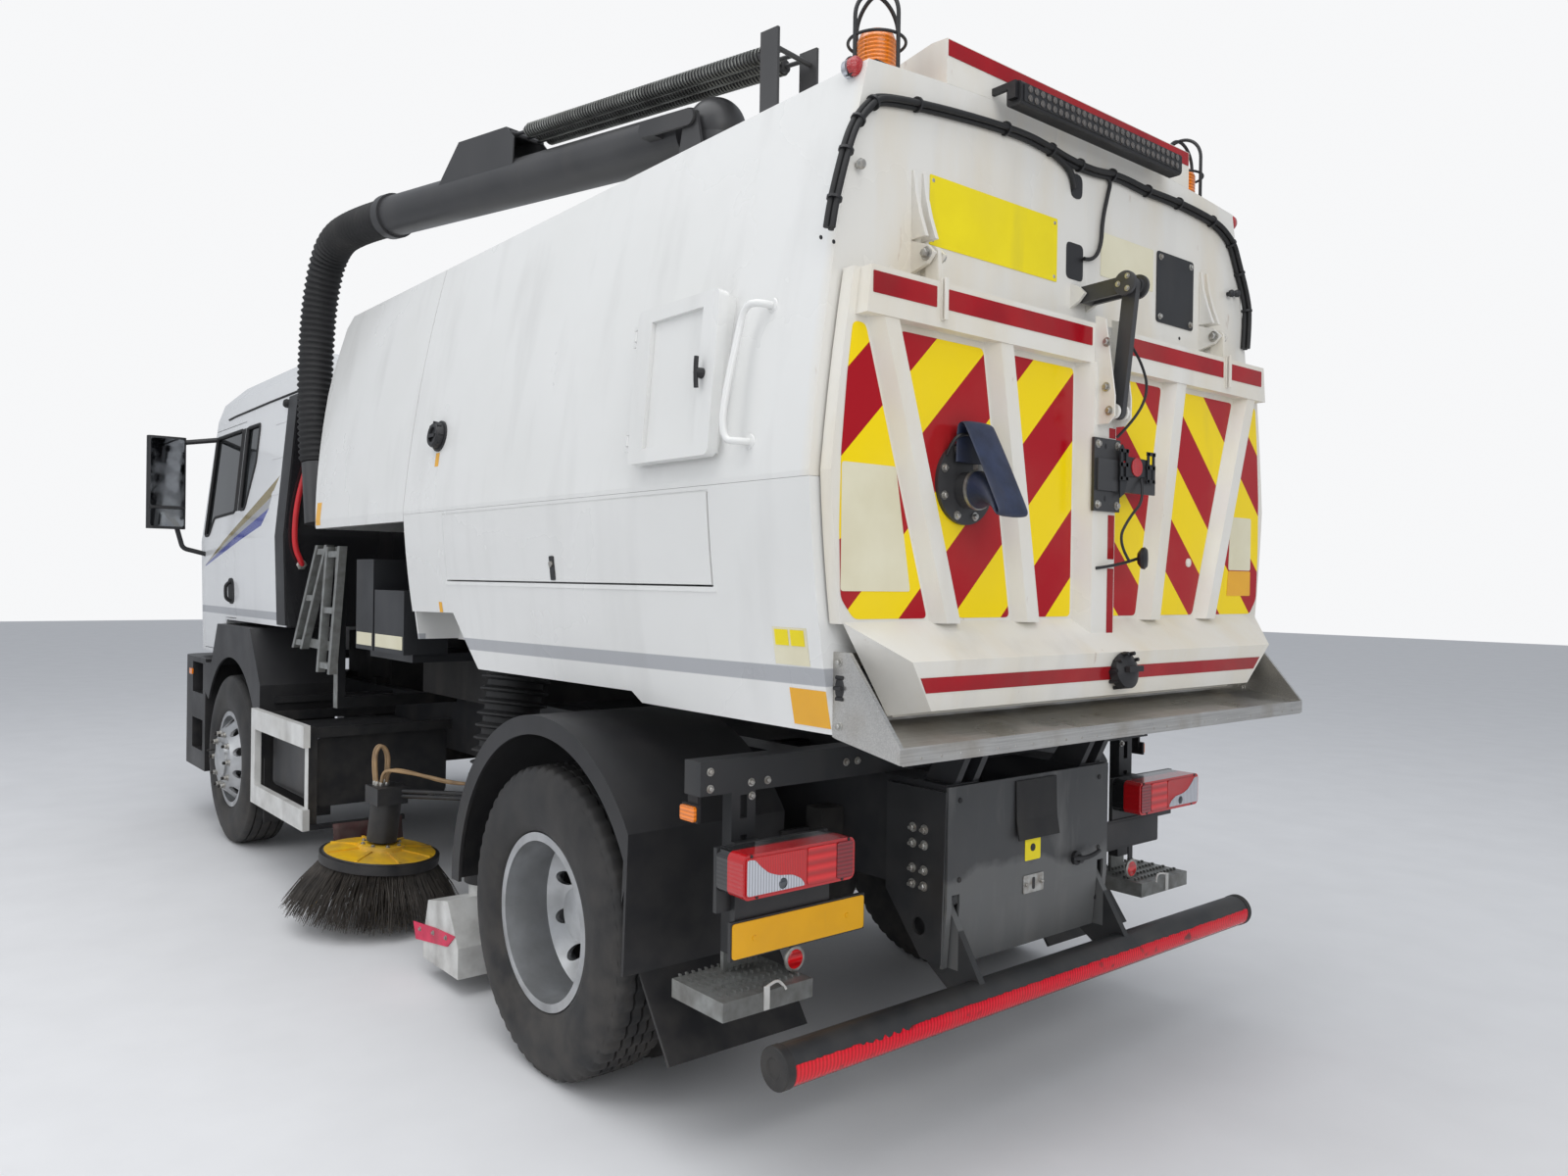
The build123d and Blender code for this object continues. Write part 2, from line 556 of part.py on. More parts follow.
# Inside: dashboard with steering wheel and column, and two seats
dash_line = [
    (DOOR_FRONT - 250, 1640), (DOOR_FRONT - 250, 1900), (DOOR_FRONT - 170, 2000), (FRONT, 1930), (FRONT, 1640),
]
dash = cab_form(CAB_ROWS, CAB_WALL + 1) & slab("y", -CAB_HALF, CAB_HALF, dash_line)
WHEEL_AT = (DOOR_FRONT - 440, 520.0, 1990.0)
WHEEL_TILT = 35.0
column_way = Vector(cos(radians(WHEEL_TILT + 20)), 0, -sin(radians(WHEEL_TILT + 20)))
wheel_plane = Plane(origin=WHEEL_AT, z_dir=column_way)
column_start = Vector(*WHEEL_AT) - column_way * 30
column_end = Vector(*WHEEL_AT) + column_way * 400
steering = rod(tuple(column_start), tuple(column_end), 34)
for angle in (20, 160, 270):
    spoke_end = wheel_plane.from_local_coords(Vector(205, 0, 0).rotate(Axis.Z, angle))
    steering += rod(WHEEL_AT, tuple(spoke_end), 12)
steering += Solid.make_torus(205, 16, wheel_plane)

SEAT_X = (AXLE_F - 260, AXLE_F + 230)
SEAT_HALF = 245.0
seats = []
for y in (520.0, -520.0):
    y_span = (y - SEAT_HALF, y + SEAT_HALF)
    cushion = slab("y", y_span[0], y_span[1], [
        (SEAT_X[0], 1790), (SEAT_X[1], 1790), (SEAT_X[1], 1905), (SEAT_X[0] + 110, 1890), (SEAT_X[0] - 40, 2330),
        (SEAT_X[0] - 60, 2560), (SEAT_X[0] - 160, 2550), (SEAT_X[0] - 130, 2200),
    ])
    base_floor = CAB_FLOOR + CAB_WALL
    base = block((SEAT_X[0] + 60, SEAT_X[1] - 60), (y - 180, y + 180), (base_floor, 1790))
    seats.append(cushion + base)
save("cab_interior", dash + steering, *seats)

# Doors: the cab's own wall inside the door line, with the pane and the mirror on its arms
cab_swell = cab_form(CAB_ROWS, -SEAT_GAP)
cab_skin = cab_outer - cab_form(CAB_ROWS, CAB_WALL)
for side, name in SIDES:
    door = cab_skin & slab("y", SIDE_CUT[0], SIDE_CUT[1], DOOR_IN)
    door -= slab("y", SIDE_CUT[0], SIDE_CUT[1], DOOR_GLASS)
    save(f"door_{name}", sided(door, side))
    save(f"door_glass_{name}", sided(window("y", SIDE_CUT, DOOR_GLASS), side))
    mirror_x = DOOR_FRONT - 85
    mirror_y = (CAB_HALF + 130, CAB_HALF + 368)
    head = block((mirror_x - 35, mirror_x + 45), mirror_y, (2010, 2640))
    head = fillet(head.edges().filter_by(Axis.Z), 30)
    upper = rod((mirror_x, mirror_y[0] + 60, 2600), (mirror_x - 35, CAB_HALF - 80, 2645), 17)
    elbow = [(mirror_x, mirror_y[0] + 60, 2050), (mirror_x + 20, mirror_y[0] + 10, 1880), (mirror_x + 20, CAB_HALF - 20, 1840)]
    lower = FilletPolyline(*elbow, radius=50)
    start = Plane(origin=elbow[0], z_dir=Vector(*elbow[1]) - Vector(*elbow[0]))
    arms = [upper, sweep(start * Circle(16), path=lower)]
    save(f"mirror_{name}", sided(fused([head] + [arm - cab_swell for arm in arms]), side))

# Bumper with step boxes, lower grille and lamp pockets; the lamps sit in the pockets
BUMPER_WALL = 60.0
STEP_REAR = AXLE_F + STEER_SWEEP
LAMP_Y = (760.0, 1080.0)
LAMP_Z = (640.0, 850.0)
bumper = slab("z", BUMPER_LOW, BUMPER_TOP, plan_steps(STEP_REAR, FRONT, BUMPER_HALF))
bumper -= slab("z", BUMPER_LOW - 1, BUMPER_TOP + 1, plan_steps(
    STEP_REAR - 1, FRONT - BUMPER_WALL, BUMPER_HALF - 200, CORNER_R, BOW))
for low, high in ((BUMPER_LOW + 130, BUMPER_LOW + 300), (BUMPER_LOW + 520, BUMPER_LOW + 690)):
    bumper -= block((CAB_FRONT - 160, FRONT + 10), (-560, 560), (low, high))
    for side, _ in SIDES:
        step_hole = block((STEP_REAR + 70, CAB_FRONT - 250), (BUMPER_HALF - 150, BUMPER_HALF + 10), (low, high + 40))
        bumper -= sided(step_hole, side)
head_lamps = []
for side, _ in SIDES:
    pocket = block((CAB_FRONT - 250, FRONT + 10), LAMP_Y, LAMP_Z)
    bumper -= sided(pocket & slab("z", LAMP_Z[0], LAMP_Z[1], plan_steps(STEP_REAR, FRONT + 5, BUMPER_HALF + 5)), side)
    lens = slab("z", LAMP_Z[0], LAMP_Z[1], plan_steps(STEP_REAR, FRONT - 4, BUMPER_HALF - 4))
    lens -= slab("z", LAMP_Z[0] - 1, LAMP_Z[1] + 1, plan_steps(STEP_REAR - 1, FRONT - 54, BUMPER_HALF - 54))
    head_lamps.append(sided(lens & block((CAB_FRONT - 250, FRONT + 10), LAMP_Y, LAMP_Z), side))
    foot = block((FRAME_FRONT, FRONT - BUMPER_WALL - 5), (RAIL_IN + 5, RAIL_OUT - 5), (RAIL_LOW + 40, RAIL_TOP - 30))
    bumper += sided(foot, side)
TOW_Z = 590.0
TOW_BORE = 30.0
tow = block((FRONT - 160, FRONT - 6), (-70, 70), (TOW_Z - 70, TOW_Z + 70))
bumper += tow
bumper -= rod((FRONT - 120, 0, TOW_Z), (FRONT + 20, 0, TOW_Z), TOW_BORE)
save("front_bumper", bumper)

# Front wings: a box-like cover over each steered wheel, its arch wide enough for full lock
WING_REAR = AXLE_F - STEER_SWEEP
WING_LINE = [
    (WING_REAR - 30, 620), (WING_REAR - 30, 1050), (AXLE_F - 440, WING_TOP), (ARCH_FRONT - 20, WING_TOP),
    (SILL_FRONT - 30, BUMPER_TOP - 20), (STEP_REAR, BUMPER_TOP - 20), (STEP_REAR, 900), (AXLE_F, 620),
]
WING_IN = [
    (WING_REAR - 30 + WING_SHEET, 300), (WING_REAR - 30 + WING_SHEET, 1050),
    (AXLE_F - 440 + WING_SHEET, WING_TOP - WING_SHEET), (ARCH_FRONT - 20 - WING_SHEET, WING_TOP - WING_SHEET),
    (SILL_FRONT - 30 - WING_SHEET, BUMPER_TOP - 20 - WING_SHEET), (STEP_REAR + 1, BUMPER_TOP - 20 - WING_SHEET),
    (STEP_REAR + 1, 300),
]
WING_Y = (760.0, 1195.0)
wings = []
for side, _ in SIDES:
    wing = slab("y", WING_Y[0], WING_Y[1], WING_LINE)
    wing -= slab("y", WING_Y[0] - 1, WING_Y[1] - WING_SHEET, WING_IN)
    wing -= rod((AXLE_F, WING_Y[0] - 10, AXLE_Z), (AXLE_F, WING_Y[1] + 10, AXLE_Z), STEER_SWEEP)
    flap = block((WING_REAR - 30, WING_REAR - 22), (WING_Y[0] + 20, WING_Y[1] - 30), (240, 622))
    stay_z = (HANGER_TOP + RUN_GAP, HANGER_TOP + 45)
    stay = block((WING_REAR - 70, WING_REAR - 30), (RAIL_OUT, WING_Y[1] - 80), stay_z)
    wings.append(sided(wing + flap + stay, side))

# Rear wings over the twins, with the ribbed flap behind each wheel
REAR_WING_R = 707.0
REAR_WING_IN = 640.0
REAR_WING_Y = (625.0, 1240.0)
WING_BACK = AXLE_R - 579.0
back_z = AXLE_Z + (REAR_WING_R ** 2 - 579.0 ** 2) ** 0.5
REAR_LINE = [
    (AXLE_R + REAR_WING_R, AXLE_Z), (WING_BACK, back_z, AXLE_R, AXLE_Z + REAR_WING_R),
    (WING_BACK + 18, 500), (WING_BACK + 30, 500), (WING_BACK + 12, back_z - 6),
    (AXLE_R + REAR_WING_R - WING_SHEET, AXLE_Z, AXLE_R, AXLE_Z + REAR_WING_R - WING_SHEET),
]
LIP_LINE = [
    (AXLE_R + REAR_WING_R, AXLE_Z), (WING_BACK, back_z, AXLE_R, AXLE_Z + REAR_WING_R), (WING_BACK + 20, 760),
    (AXLE_R - REAR_WING_IN + 95, 720), (AXLE_R - 553, AXLE_Z + 322),
    (AXLE_R + REAR_WING_IN, AXLE_Z, AXLE_R, AXLE_Z + REAR_WING_IN),
]
rear_wings = []
for side, _ in SIDES:
    wing = slab("y", REAR_WING_Y[0], REAR_WING_Y[1], REAR_LINE)
    wing += slab("y", REAR_WING_Y[1] - WING_SHEET, REAR_WING_Y[1], LIP_LINE)
    flap = slab("y", REAR_WING_Y[0] + 15, REAR_WING_Y[1] - 60, [
        (WING_BACK + 18, 500), (WING_BACK + 30, 500), (WING_BACK - 140, 262), (WING_BACK - 150, 268),
    ])
    stays = block((WING_BACK - 10, WING_BACK + 10), (SPRING_Y[1], REAR_WING_Y[0] + 20), (820, 870))
    stays += rod((AXLE_R + 630, SPRING_Y[1], 780), (AXLE_R + 630, REAR_WING_Y[0] + 30, 780), 18)
    rear_wings.append(sided(wing + flap + stays, side))
save("wings", *wings, *rear_wings)

# Side guards, the tank and battery box behind them, and the grey access ladders above
GUARD_X = (AXLE_F - 1664.0, AXLE_F - 676.0)
GUARD_Y = (1205.0, 1240.0)
guards = []
for side, _ in SIDES:
    guard = [block(GUARD_X, GUARD_Y, span) for span in ((372, 482), (806, 922))]
    guard.append(block((GUARD_X[1] - 80, GUARD_X[1]), GUARD_Y, (372, 922)))
    guard.append(block((GUARD_X[0] + 30, GUARD_X[0] + 90), (GUARD_Y[0] - 45, GUARD_Y[0]), (390, 905)))
    for x in (GUARD_X[0] + 60, GUARD_X[1] - 60):
        guard.append(block((x - 25, x + 25), (RAIL_OUT, GUARD_Y[0]), (RAIL_LOW + 120, RAIL_LOW + 170)))
    guards.append(sided(fused(guard), side))
save("side_guards", *guards)

BOX_X = (GUARD_X[0] + 110, GUARD_X[1] - 105)
battery = block(BOX_X, (RAIL_OUT, GUARD_Y[0] - 60), (470, RAIL_LOW + 112))
battery = fillet(battery.edges().filter_by(Axis.X), 40)

LADDER_Y = 1080.0
LADDERS = [
    # top x and z, bottom x and z, width across
    (GUARD_X[0] + 130, 1870, GUARD_X[0] + 540, 1290, 150),
    (GUARD_X[0] - 80, 1860, GUARD_X[0] + 60, 1180, 190),
]


def ladder(top_x, top_z, low_x, low_z, width):
    """Two square rails and three rungs, leaning in the plane of the truck's side."""
    pieces = []
    for shift in (0, width):
        pieces.append(slab("y", LADDER_Y - 20, LADDER_Y + 20, [
            (top_x + shift - 18, top_z), (top_x + shift + 18, top_z), (low_x + shift + 18, low_z),
            (low_x + shift - 18, low_z),
        ]))
    for share in (0.06, 0.5, 0.94):
        x = top_x + (low_x - top_x) * share
        z = top_z + (low_z - top_z) * share
        pieces.append(block((x, x + width), (LADDER_Y - 15, LADDER_Y + 15), (z - 16, z + 16)))
    return fused(pieces)


ladders = []
for side, _ in SIDES:
    group = fused([ladder(*row) for row in LADDERS])
    post_x = GUARD_X[0] + 30
    group += block((post_x, post_x + 60), (LADDER_Y - 60, LADDER_Y - 18), (RAIL_TOP, 1860))
    group += block((post_x, post_x + 60), (RAIL_IN, LADDER_Y - 20), (RAIL_TOP, RAIL_TOP + 60))
    group += block((post_x + 60, GUARD_X[0] + 560), (LADDER_Y - 60, LADDER_Y - 18), (1300, 1350))
    ladders.append(sided(group, side))

# Two storage boxes on brackets at each side, between the ladders and the hopper
STORE_Y = (860.0, 1075.0)
stores = []
for side, _ in SIDES:
    boxes = block((HOP_SPLIT + 160, HOP_SPLIT + 540), STORE_Y, (1340, 1640))
    boxes += block((HOP_SPLIT + 560, HOP_SPLIT + 800), STORE_Y, (1340, 1790))
    boxes += block((HOP_SPLIT + 200, HOP_SPLIT + 760), (640, STORE_Y[1] - 60), (1300, 1340))
    stores.append(sided(boxes, side))
save("side_boxes", *both(battery), *stores)

# Rear end of the chassis: carrier bar with posts, lamps, plate, bar, apron and steps
CARRIER_X = (AXLE_R - 830.0, AXLE_R - 750.0)
CARRIER_HALF = 1155.0
CARRIER_TOP = SUB_TOP + 100
POST_Y = (950.0, 1040.0)
carrier = block(CARRIER_X, (-CARRIER_HALF, CARRIER_HALF), (SUB_TOP, CARRIER_TOP))
LAMP_FACE = AXLE_R - 1055.0
TAIL_Y = (750.0, 1170.0)
TAIL_Z = (830.0, 955.0)
for side, _ in SIDES:
    post = block((CARRIER_X[0], CARRIER_X[0] + 45), POST_Y, (600, SUB_TOP))
    for slot_z in (690, 880, 1000):
        post -= block((CARRIER_X[0] - 1, CARRIER_X[0] + 46), (POST_Y[0] + 32, POST_Y[1] - 32), (slot_z, slot_z + 70))
    post += block((LAMP_FACE + 125, CARRIER_X[0]), (POST_Y[0], POST_Y[1]), (TAIL_Z[0] + 20, TAIL_Z[1] - 20))
    post += block((LAMP_FACE + 120, LAMP_FACE + 135), (TAIL_Y[0], TAIL_Y[1]), (TAIL_Z[0] - 60, TAIL_Z[1]))
    carrier += sided(post, side)
tail_lamp = block((LAMP_FACE, LAMP_FACE + 120), TAIL_Y, TAIL_Z)
tail_lamp = fillet(tail_lamp.edges().filter_by(Axis.X), 22)
save("lamps", *head_lamps, *both(tail_lamp))

PLATE_X = LAMP_FACE + 87
plate = block((PLATE_X, PLATE_X + 12), (623, 1143), (635, 746))
plate += block((PLATE_X + 12, LAMP_FACE + 120), (760, 1120), (700, TAIL_Z[0] - 5))
carrier += plate

BAR_X = AXLE_R - 1223.0
BAR_Z = 435.0
BAR_R = 57.0
BAR_HALF = 1180.0
HANGER_Y = (372.0, 396.0)
rear_bar = rod((BAR_X, -BAR_HALF, BAR_Z), (BAR_X, BAR_HALF, BAR_Z), BAR_R)
for side, _ in SIDES:
    hanger = slab("y", HANGER_Y[0], HANGER_Y[1], [
        (FRAME_REAR + 190, RAIL_LOW), (FRAME_REAR, RAIL_LOW), (BAR_X - 30, BAR_Z + 40), (BAR_X, BAR_Z),
        (BAR_X + 60, BAR_Z - 30), (FRAME_REAR + 60, BAR_Z + 60),
    ])
    rear_bar += sided(hanger, side)

APRON_HALF = 425.0
apron = slab("y", -APRON_HALF, APRON_HALF, [
    (SUB_REAR - 12, SUB_TOP - 5), (SUB_REAR - 12, 700), (SUB_REAR + 5, 505), (SUB_REAR + 14, 505),
    (SUB_REAR - 3, 700), (SUB_REAR - 3, SUB_TOP - 5),
])
apron += block((FRAME_REAR - 40, FRAME_REAR), (-APRON_HALF + 30, APRON_HALF - 30), (RAIL_TOP - 130, RAIL_TOP - 80))
for side, _ in SIDES:
    cheek = slab("y", RAIL_OUT, RAIL_OUT + 12, [
        (SUB_REAR - 8, RAIL_TOP + 60), (FRAME_REAR + 220, RAIL_TOP + 60), (FRAME_REAR + 220, RAIL_LOW - 20),
        (FRAME_REAR + 60, 520), (FRAME_REAR - 24, 520),
    ])
    cheek -= rod((FRAME_REAR + 70, RAIL_OUT - 5, 620), (FRAME_REAR + 70, RAIL_OUT + 20, 620), 28)
    slot = block((SUB_REAR - 20, SUB_REAR + 20), (HANGER_Y[0] - RUN_GAP, HANGER_Y[1] + RUN_GAP), (500, RAIL_LOW + 5))
    apron += sided(cheek, side)
    apron -= sided(slot, side)
save("rear_carrier", carrier, rear_bar, apron)

STEP_Z = 520.0
steps = []
for side, _ in SIDES:
    tread = block((AXLE_R - 1000, AXLE_R - 750), (860, 1190), (STEP_Z - 35, STEP_Z + 20))
    for index in range(5):
        x = AXLE_R - 990 + index * 50
        tread -= block((x, x + 32), (875, 1175), (STEP_Z - 40, STEP_Z + 8))
    tread += block((AXLE_R - 800, AXLE_R - 785), POST_Y, (STEP_Z - 10, 600))
    steps.append(sided(tread, side))
save("steps", *ladders, *steps)


# The hopper's section: sides that lean in towards a low-crowned roof
def hopper_steps(inset=0.0, low=HOP_LOW):
    """Outline across the hopper, drawn in by a wall."""
    wide, edge = HOP_WIDE_Y - inset, HOP_EDGE_Y - inset
    low_y = HOP_LOW_Y - inset
    edge_z, top = HOP_EDGE - inset, HOP_TOP - inset
    low_via = (low_y * 0.35 + wide * 0.65, low * 0.5 + HOP_WIDE_Z * 0.5)
    top_via = (wide * 0.595 + edge * 0.405, HOP_WIDE_Z * 0.475 + edge_z * 0.525)
    return [
        (-low_y, low), (low_y, low), (wide, HOP_WIDE_Z, low_via[0], low_via[1]),
        (edge, edge_z, top_via[0], top_via[1]), (-edge, edge_z, 0, top),
        (-wide, HOP_WIDE_Z, -top_via[0], top_via[1]), (-low_y, low, -low_via[0], low_via[1]),
    ]


def hopper_steps_closed(inset=0.0, low=HOP_LOW):
    """The same outline with its last arc as the closing edge."""
    steps_open = hopper_steps(inset, low)
    last = steps_open.pop()
    steps_open[0] = last
    return steps_open


WIDE = HOP_WIDE_Y + 100
FRONT_EDGE = HOP_SPLIT - 3
GATE_HOLE = [(-990, 1640), (990, 1640), (975, 2440), (-975, 2440)]
tank = slab("x", HOP_REAR, FRONT_EDGE, hopper_steps_closed())
tank = tank & block((HOP_REAR - 1, FRONT_EDGE + 1), (-WIDE, WIDE), (HOP_SEAM, HOP_TOP + 1))
tank += block((HOP_REAR, FRONT_EDGE), (-TANK_Y, TANK_Y), (TANK_FLOOR, HOP_SEAM + 5))
tank_room = slab("x", HOP_REAR + HOP_WALL, FRONT_EDGE - HOP_WALL, hopper_steps_closed(HOP_WALL))
tank_room = tank_room & block((HOP_REAR, FRONT_EDGE), (-WIDE, WIDE), (HOP_SEAM + HOP_WALL, HOP_TOP))
tank_room += block(
    (HOP_REAR + HOP_WALL, FRONT_EDGE - HOP_WALL), (-TANK_Y + HOP_WALL, TANK_Y - HOP_WALL),
    (TANK_FLOOR + HOP_WALL, HOP_SEAM + HOP_WALL + 1),
)
tank -= tank_room
tank -= slab("x", HOP_REAR - 1, HOP_REAR + HOP_WALL + 1, GATE_HOLE) & block(
    (HOP_REAR - 2, HOP_REAR + HOP_WALL + 2), (-WIDE, WIDE), (HOP_SEAM - 100, GATE_TOP))
tank -= block((HOP_REAR - 1, HOP_REAR + HOP_WALL + 1), (-TANK_Y + 60, TANK_Y - 60), (1640, HOP_SEAM))
HATCH_X = (AXLE_R - 886.0, AXLE_R - 459.0)
HATCH_Z = (2062.0, 2545.0)
# Inner flange on which the cowl sits
flange_span = (FRONT_EDGE - 1, HOP_SPLIT + 40)
flange = slab("x", flange_span[0], flange_span[1], hopper_steps_closed(COWL_WALL + SEAT_GAP))
flange -= slab("x", flange_span[0] - 1, flange_span[1] + 1, hopper_steps_closed(COWL_WALL + 12, HOP_LOW - 1))
tank += flange & block((flange_span[0], flange_span[1]), (-WIDE, WIDE), (HOP_SEAM, HOP_TOP))
for side, _ in SIDES:
    # two lug plates with the tailgate's pivot pin
    for y0 in (GATE_PIVOT_Y - 27, GATE_PIVOT_Y + 13):
        gate_lug = slab("y", y0, y0 + 14, [
            (HOP_REAR, GATE_PIVOT_Z - 42), (HOP_REAR, GATE_PIVOT_Z + 48), (GATE_PIVOT_X, GATE_PIVOT_Z + 26),
            (GATE_PIVOT_X - 26, GATE_PIVOT_Z), (GATE_PIVOT_X, GATE_PIVOT_Z - 26),
        ])
        tank += sided(gate_lug, side)
    pin_ends = (GATE_PIVOT_Y - 27, GATE_PIVOT_Y + 27)
    gate_pin = rod((GATE_PIVOT_X, pin_ends[0], GATE_PIVOT_Z), (GATE_PIVOT_X, pin_ends[1], GATE_PIVOT_Z), 12)
    tank += sided(gate_pin, side)
    tank += slab("y", sorted((side * 36, side * 48))[0], sorted((side * 36, side * 48))[1], [
        (HOP_REAR, CRANK_Z - 40), (HOP_REAR, CRANK_Z + 40), (CRANK_X, CRANK_Z + 24), (CRANK_X - 24, CRANK_Z),
        (CRANK_X, CRANK_Z - 24),
    ])
tank += rod((CRANK_X, -48, CRANK_Z), (CRANK_X, 48, CRANK_Z), 12)
# Lugs under the floor take the tipping pin between the chassis ears
LUG_Y = (EAR_Y + RUN_GAP, EAR_Y + 2 * EAR_THICK - RUN_GAP)
for side, _ in SIDES:
    lug = slab("y", LUG_Y[0], LUG_Y[1], [
        (TIP_X - 46, TIP_Z), (TIP_X + 46, TIP_Z), (TIP_X + 120, TANK_FLOOR + 5), (TIP_X - 46, TANK_FLOOR + 5),
    ])
    lug += rod((TIP_X, LUG_Y[0], TIP_Z), (TIP_X, LUG_Y[1], TIP_Z), TIP_EAR_R)
    lug -= rod((TIP_X, LUG_Y[0] - 1, TIP_Z), (TIP_X, LUG_Y[1] + 1, TIP_Z), TIP_PIN_R + PIN_FIT)
    tank += sided(lug, side)
# Side panels below the seam, with the locker's opening and its tub
SKIRT = [
    (HOP_REAR, HOP_SEAM - 1), (HOP_REAR, 1304), (AXLE_R - 351, 1304), (AXLE_R - 298, 1339), (AXLE_R + 889, 1329),
    (AXLE_R + 1050, 1557), (FRONT_EDGE, 1550), (FRONT_EDGE, HOP_SEAM - 1),
]
LOCKER_X = (AXLE_R - 830.0, AXLE_R + 1070.0)
LOCKER_Z = (1690.0, 1972.0)
LOCKER_DEEP = 190.0
skin = slab("x", HOP_REAR, FRONT_EDGE, hopper_steps_closed())
skin -= slab("x", HOP_REAR - 1, FRONT_EDGE + 1, hopper_steps_closed(SKIN, HOP_LOW - 1))
skin = skin & slab("y", 0, WIDE, SKIRT)
panels = []
for side, _ in SIDES:
    hole = block(LOCKER_X, (800, WIDE), LOCKER_Z)
    tub_y = (HOP_WIDE_Y - LOCKER_DEEP, HOP_WIDE_Y - 28)
    tub = block((LOCKER_X[0] - 15, LOCKER_X[1] + 15), tub_y, (LOCKER_Z[0] - 15, HOP_SEAM - 1))
    tub -= block(LOCKER_X, (tub_y[0] + 15, WIDE), LOCKER_Z)
    strip_z = (LOCKER_Z[1] - RUN_GAP + SEAT_GAP, LOCKER_Z[1])
    panel = (skin - hole) + tub + block(LOCKER_X, (HOP_WIDE_Y - LOCKER_DEEP, HOP_WIDE_Y - 4), strip_z)
    bulk_y = (TANK_Y, HOP_LOW_Y + 40)
    for x in (HOP_REAR, FRONT_EDGE - 12):
        rib = slab("x", x, x + 12, [
            (bulk_y[0], TANK_FLOOR + 5), (bulk_y[1] - 20, TANK_FLOOR + 5), (bulk_y[1] + 20, 1700),
            (bulk_y[1] + 35, HOP_SEAM - 1), (bulk_y[0], HOP_SEAM - 1),
        ])
        panel += rib & slab("x", x - 1, x + 13, hopper_steps_closed(2, HOP_LOW))
    panels.append(sided(panel, side))
save("side_panels", *panels)

# Locker doors, hinged along their upper edge
for side, name in SIDES:
    door = slab("x", LOCKER_X[0] + RUN_GAP, LOCKER_X[1] - RUN_GAP, hopper_steps_closed(-2))
    door -= slab("x", LOCKER_X[0], LOCKER_X[1], hopper_steps_closed(22, HOP_LOW - 1))
    door = door & block(LOCKER_X, (800, WIDE), (LOCKER_Z[0] + RUN_GAP, LOCKER_Z[1] - RUN_GAP))
    latch_x = AXLE_R + 130
    door -= block((latch_x - 12, latch_x + 12), (HOP_WIDE_Y - 18, WIDE), (LOCKER_Z[0] + 14, LOCKER_Z[0] + 96))
    save(f"locker_door_{name}", sided(door, side))

# The inspection hatch on the left: a frame on the tank, a door with a pressed recess, and two hinges
LEAN = degrees(atan2(HOP_WIDE_Y - HOP_EDGE_Y, HOP_EDGE - HOP_WIDE_Z)) * 0.48
hatch_mid = Vector((HATCH_X[0] + HATCH_X[1]) / 2, 1130.0, (HATCH_Z[0] + HATCH_Z[1]) / 2)
hatch_plane = Plane(origin=hatch_mid, x_dir=(1, 0, 0), z_dir=(0, cos(radians(LEAN)), sin(radians(LEAN))))
HATCH_W = HATCH_X[1] - HATCH_X[0]
HATCH_H = HATCH_Z[1] - HATCH_Z[0]


def on_hatch(x_span, z_span, depth_span):
    """A box on the leaning plane of the hatch: along the truck, up the wall, out of the wall."""
    width, height = x_span[1] - x_span[0], z_span[1] - z_span[0]
    box = Box(width, height, depth_span[1] - depth_span[0], align=(Align.MIN, Align.MAX, Align.MIN))
    corner = Pos(x_span[0], -z_span[0], depth_span[0])
    return hatch_plane.location * corner * box


HATCH_SEAT = 6.0
HATCH_THICK = 34.0
HATCH_RIM = HATCH_SEAT - 5
HINGE_OUT = HATCH_SEAT + 22
HINGE_U = HATCH_W / 2 + 14
HINGE_PIN_R = 5.0
HINGE_ROWS = (-HATCH_H / 2 + 60, HATCH_H / 2 - 90)


def on_hinge(low, high, radius):
    """A round bar on the hatch's hinge line."""
    ends = [hatch_plane.from_local_coords(Vector(HINGE_U, -z, HINGE_OUT)) for z in (low, high)]
    return rod(tuple(ends[0]), tuple(ends[1]), radius)


hatch_frame = on_hatch((-HATCH_W / 2 + 12, HATCH_W / 2 + 30), (-HATCH_H / 2 + 12, HATCH_H / 2 - 12), (-60, HATCH_RIM))
tank += hatch_frame - slab("x", HOP_REAR, FRONT_EDGE, hopper_steps_closed(HOP_WALL - 5))
tank -= on_hatch((-HATCH_W / 2 + 60, HATCH_W / 2 - 60), (-HATCH_H / 2 + 55, HATCH_H / 2 - 55), (-150, 60))
hatch = on_hatch((-HATCH_W / 2, HATCH_W / 2), (-HATCH_H / 2, HATCH_H / 2), (HATCH_SEAT, HATCH_SEAT + HATCH_THICK))
hatch = fillet(hatch.edges().filter_by(Axis(origin=hatch_mid, direction=hatch_plane.z_dir)), 22)
recess_span = ((-HATCH_W / 2 + 76, HATCH_W / 2 - 80), (-HATCH_H / 2 + 44, HATCH_H / 2 - 44))
hatch -= on_hatch(recess_span[0], recess_span[1], (HATCH_SEAT + 20, HATCH_SEAT + HATCH_THICK + 20))
for low in HINGE_ROWS:
    for ear_low in (low - 18, low + 36):
        tank += on_hatch((HINGE_U - 8, HINGE_U + 12), (ear_low, ear_low + 12), (HATCH_RIM - 5, HINGE_OUT + 8))
    tank += on_hinge(low - 8, low + 38, HINGE_PIN_R)
    knuckle = on_hinge(low, low + 30, HINGE_PIN_R + 6)
    knuckle += on_hatch((HATCH_W / 2 - 10, HINGE_U), (low, low + 30), (HINGE_OUT - 8, HINGE_OUT + 6))
    hatch += knuckle - on_hinge(low - 5, low + 35, HINGE_PIN_R + PIN_FIT)
save("hopper_tank", tank)
save("hatch_door", hatch)

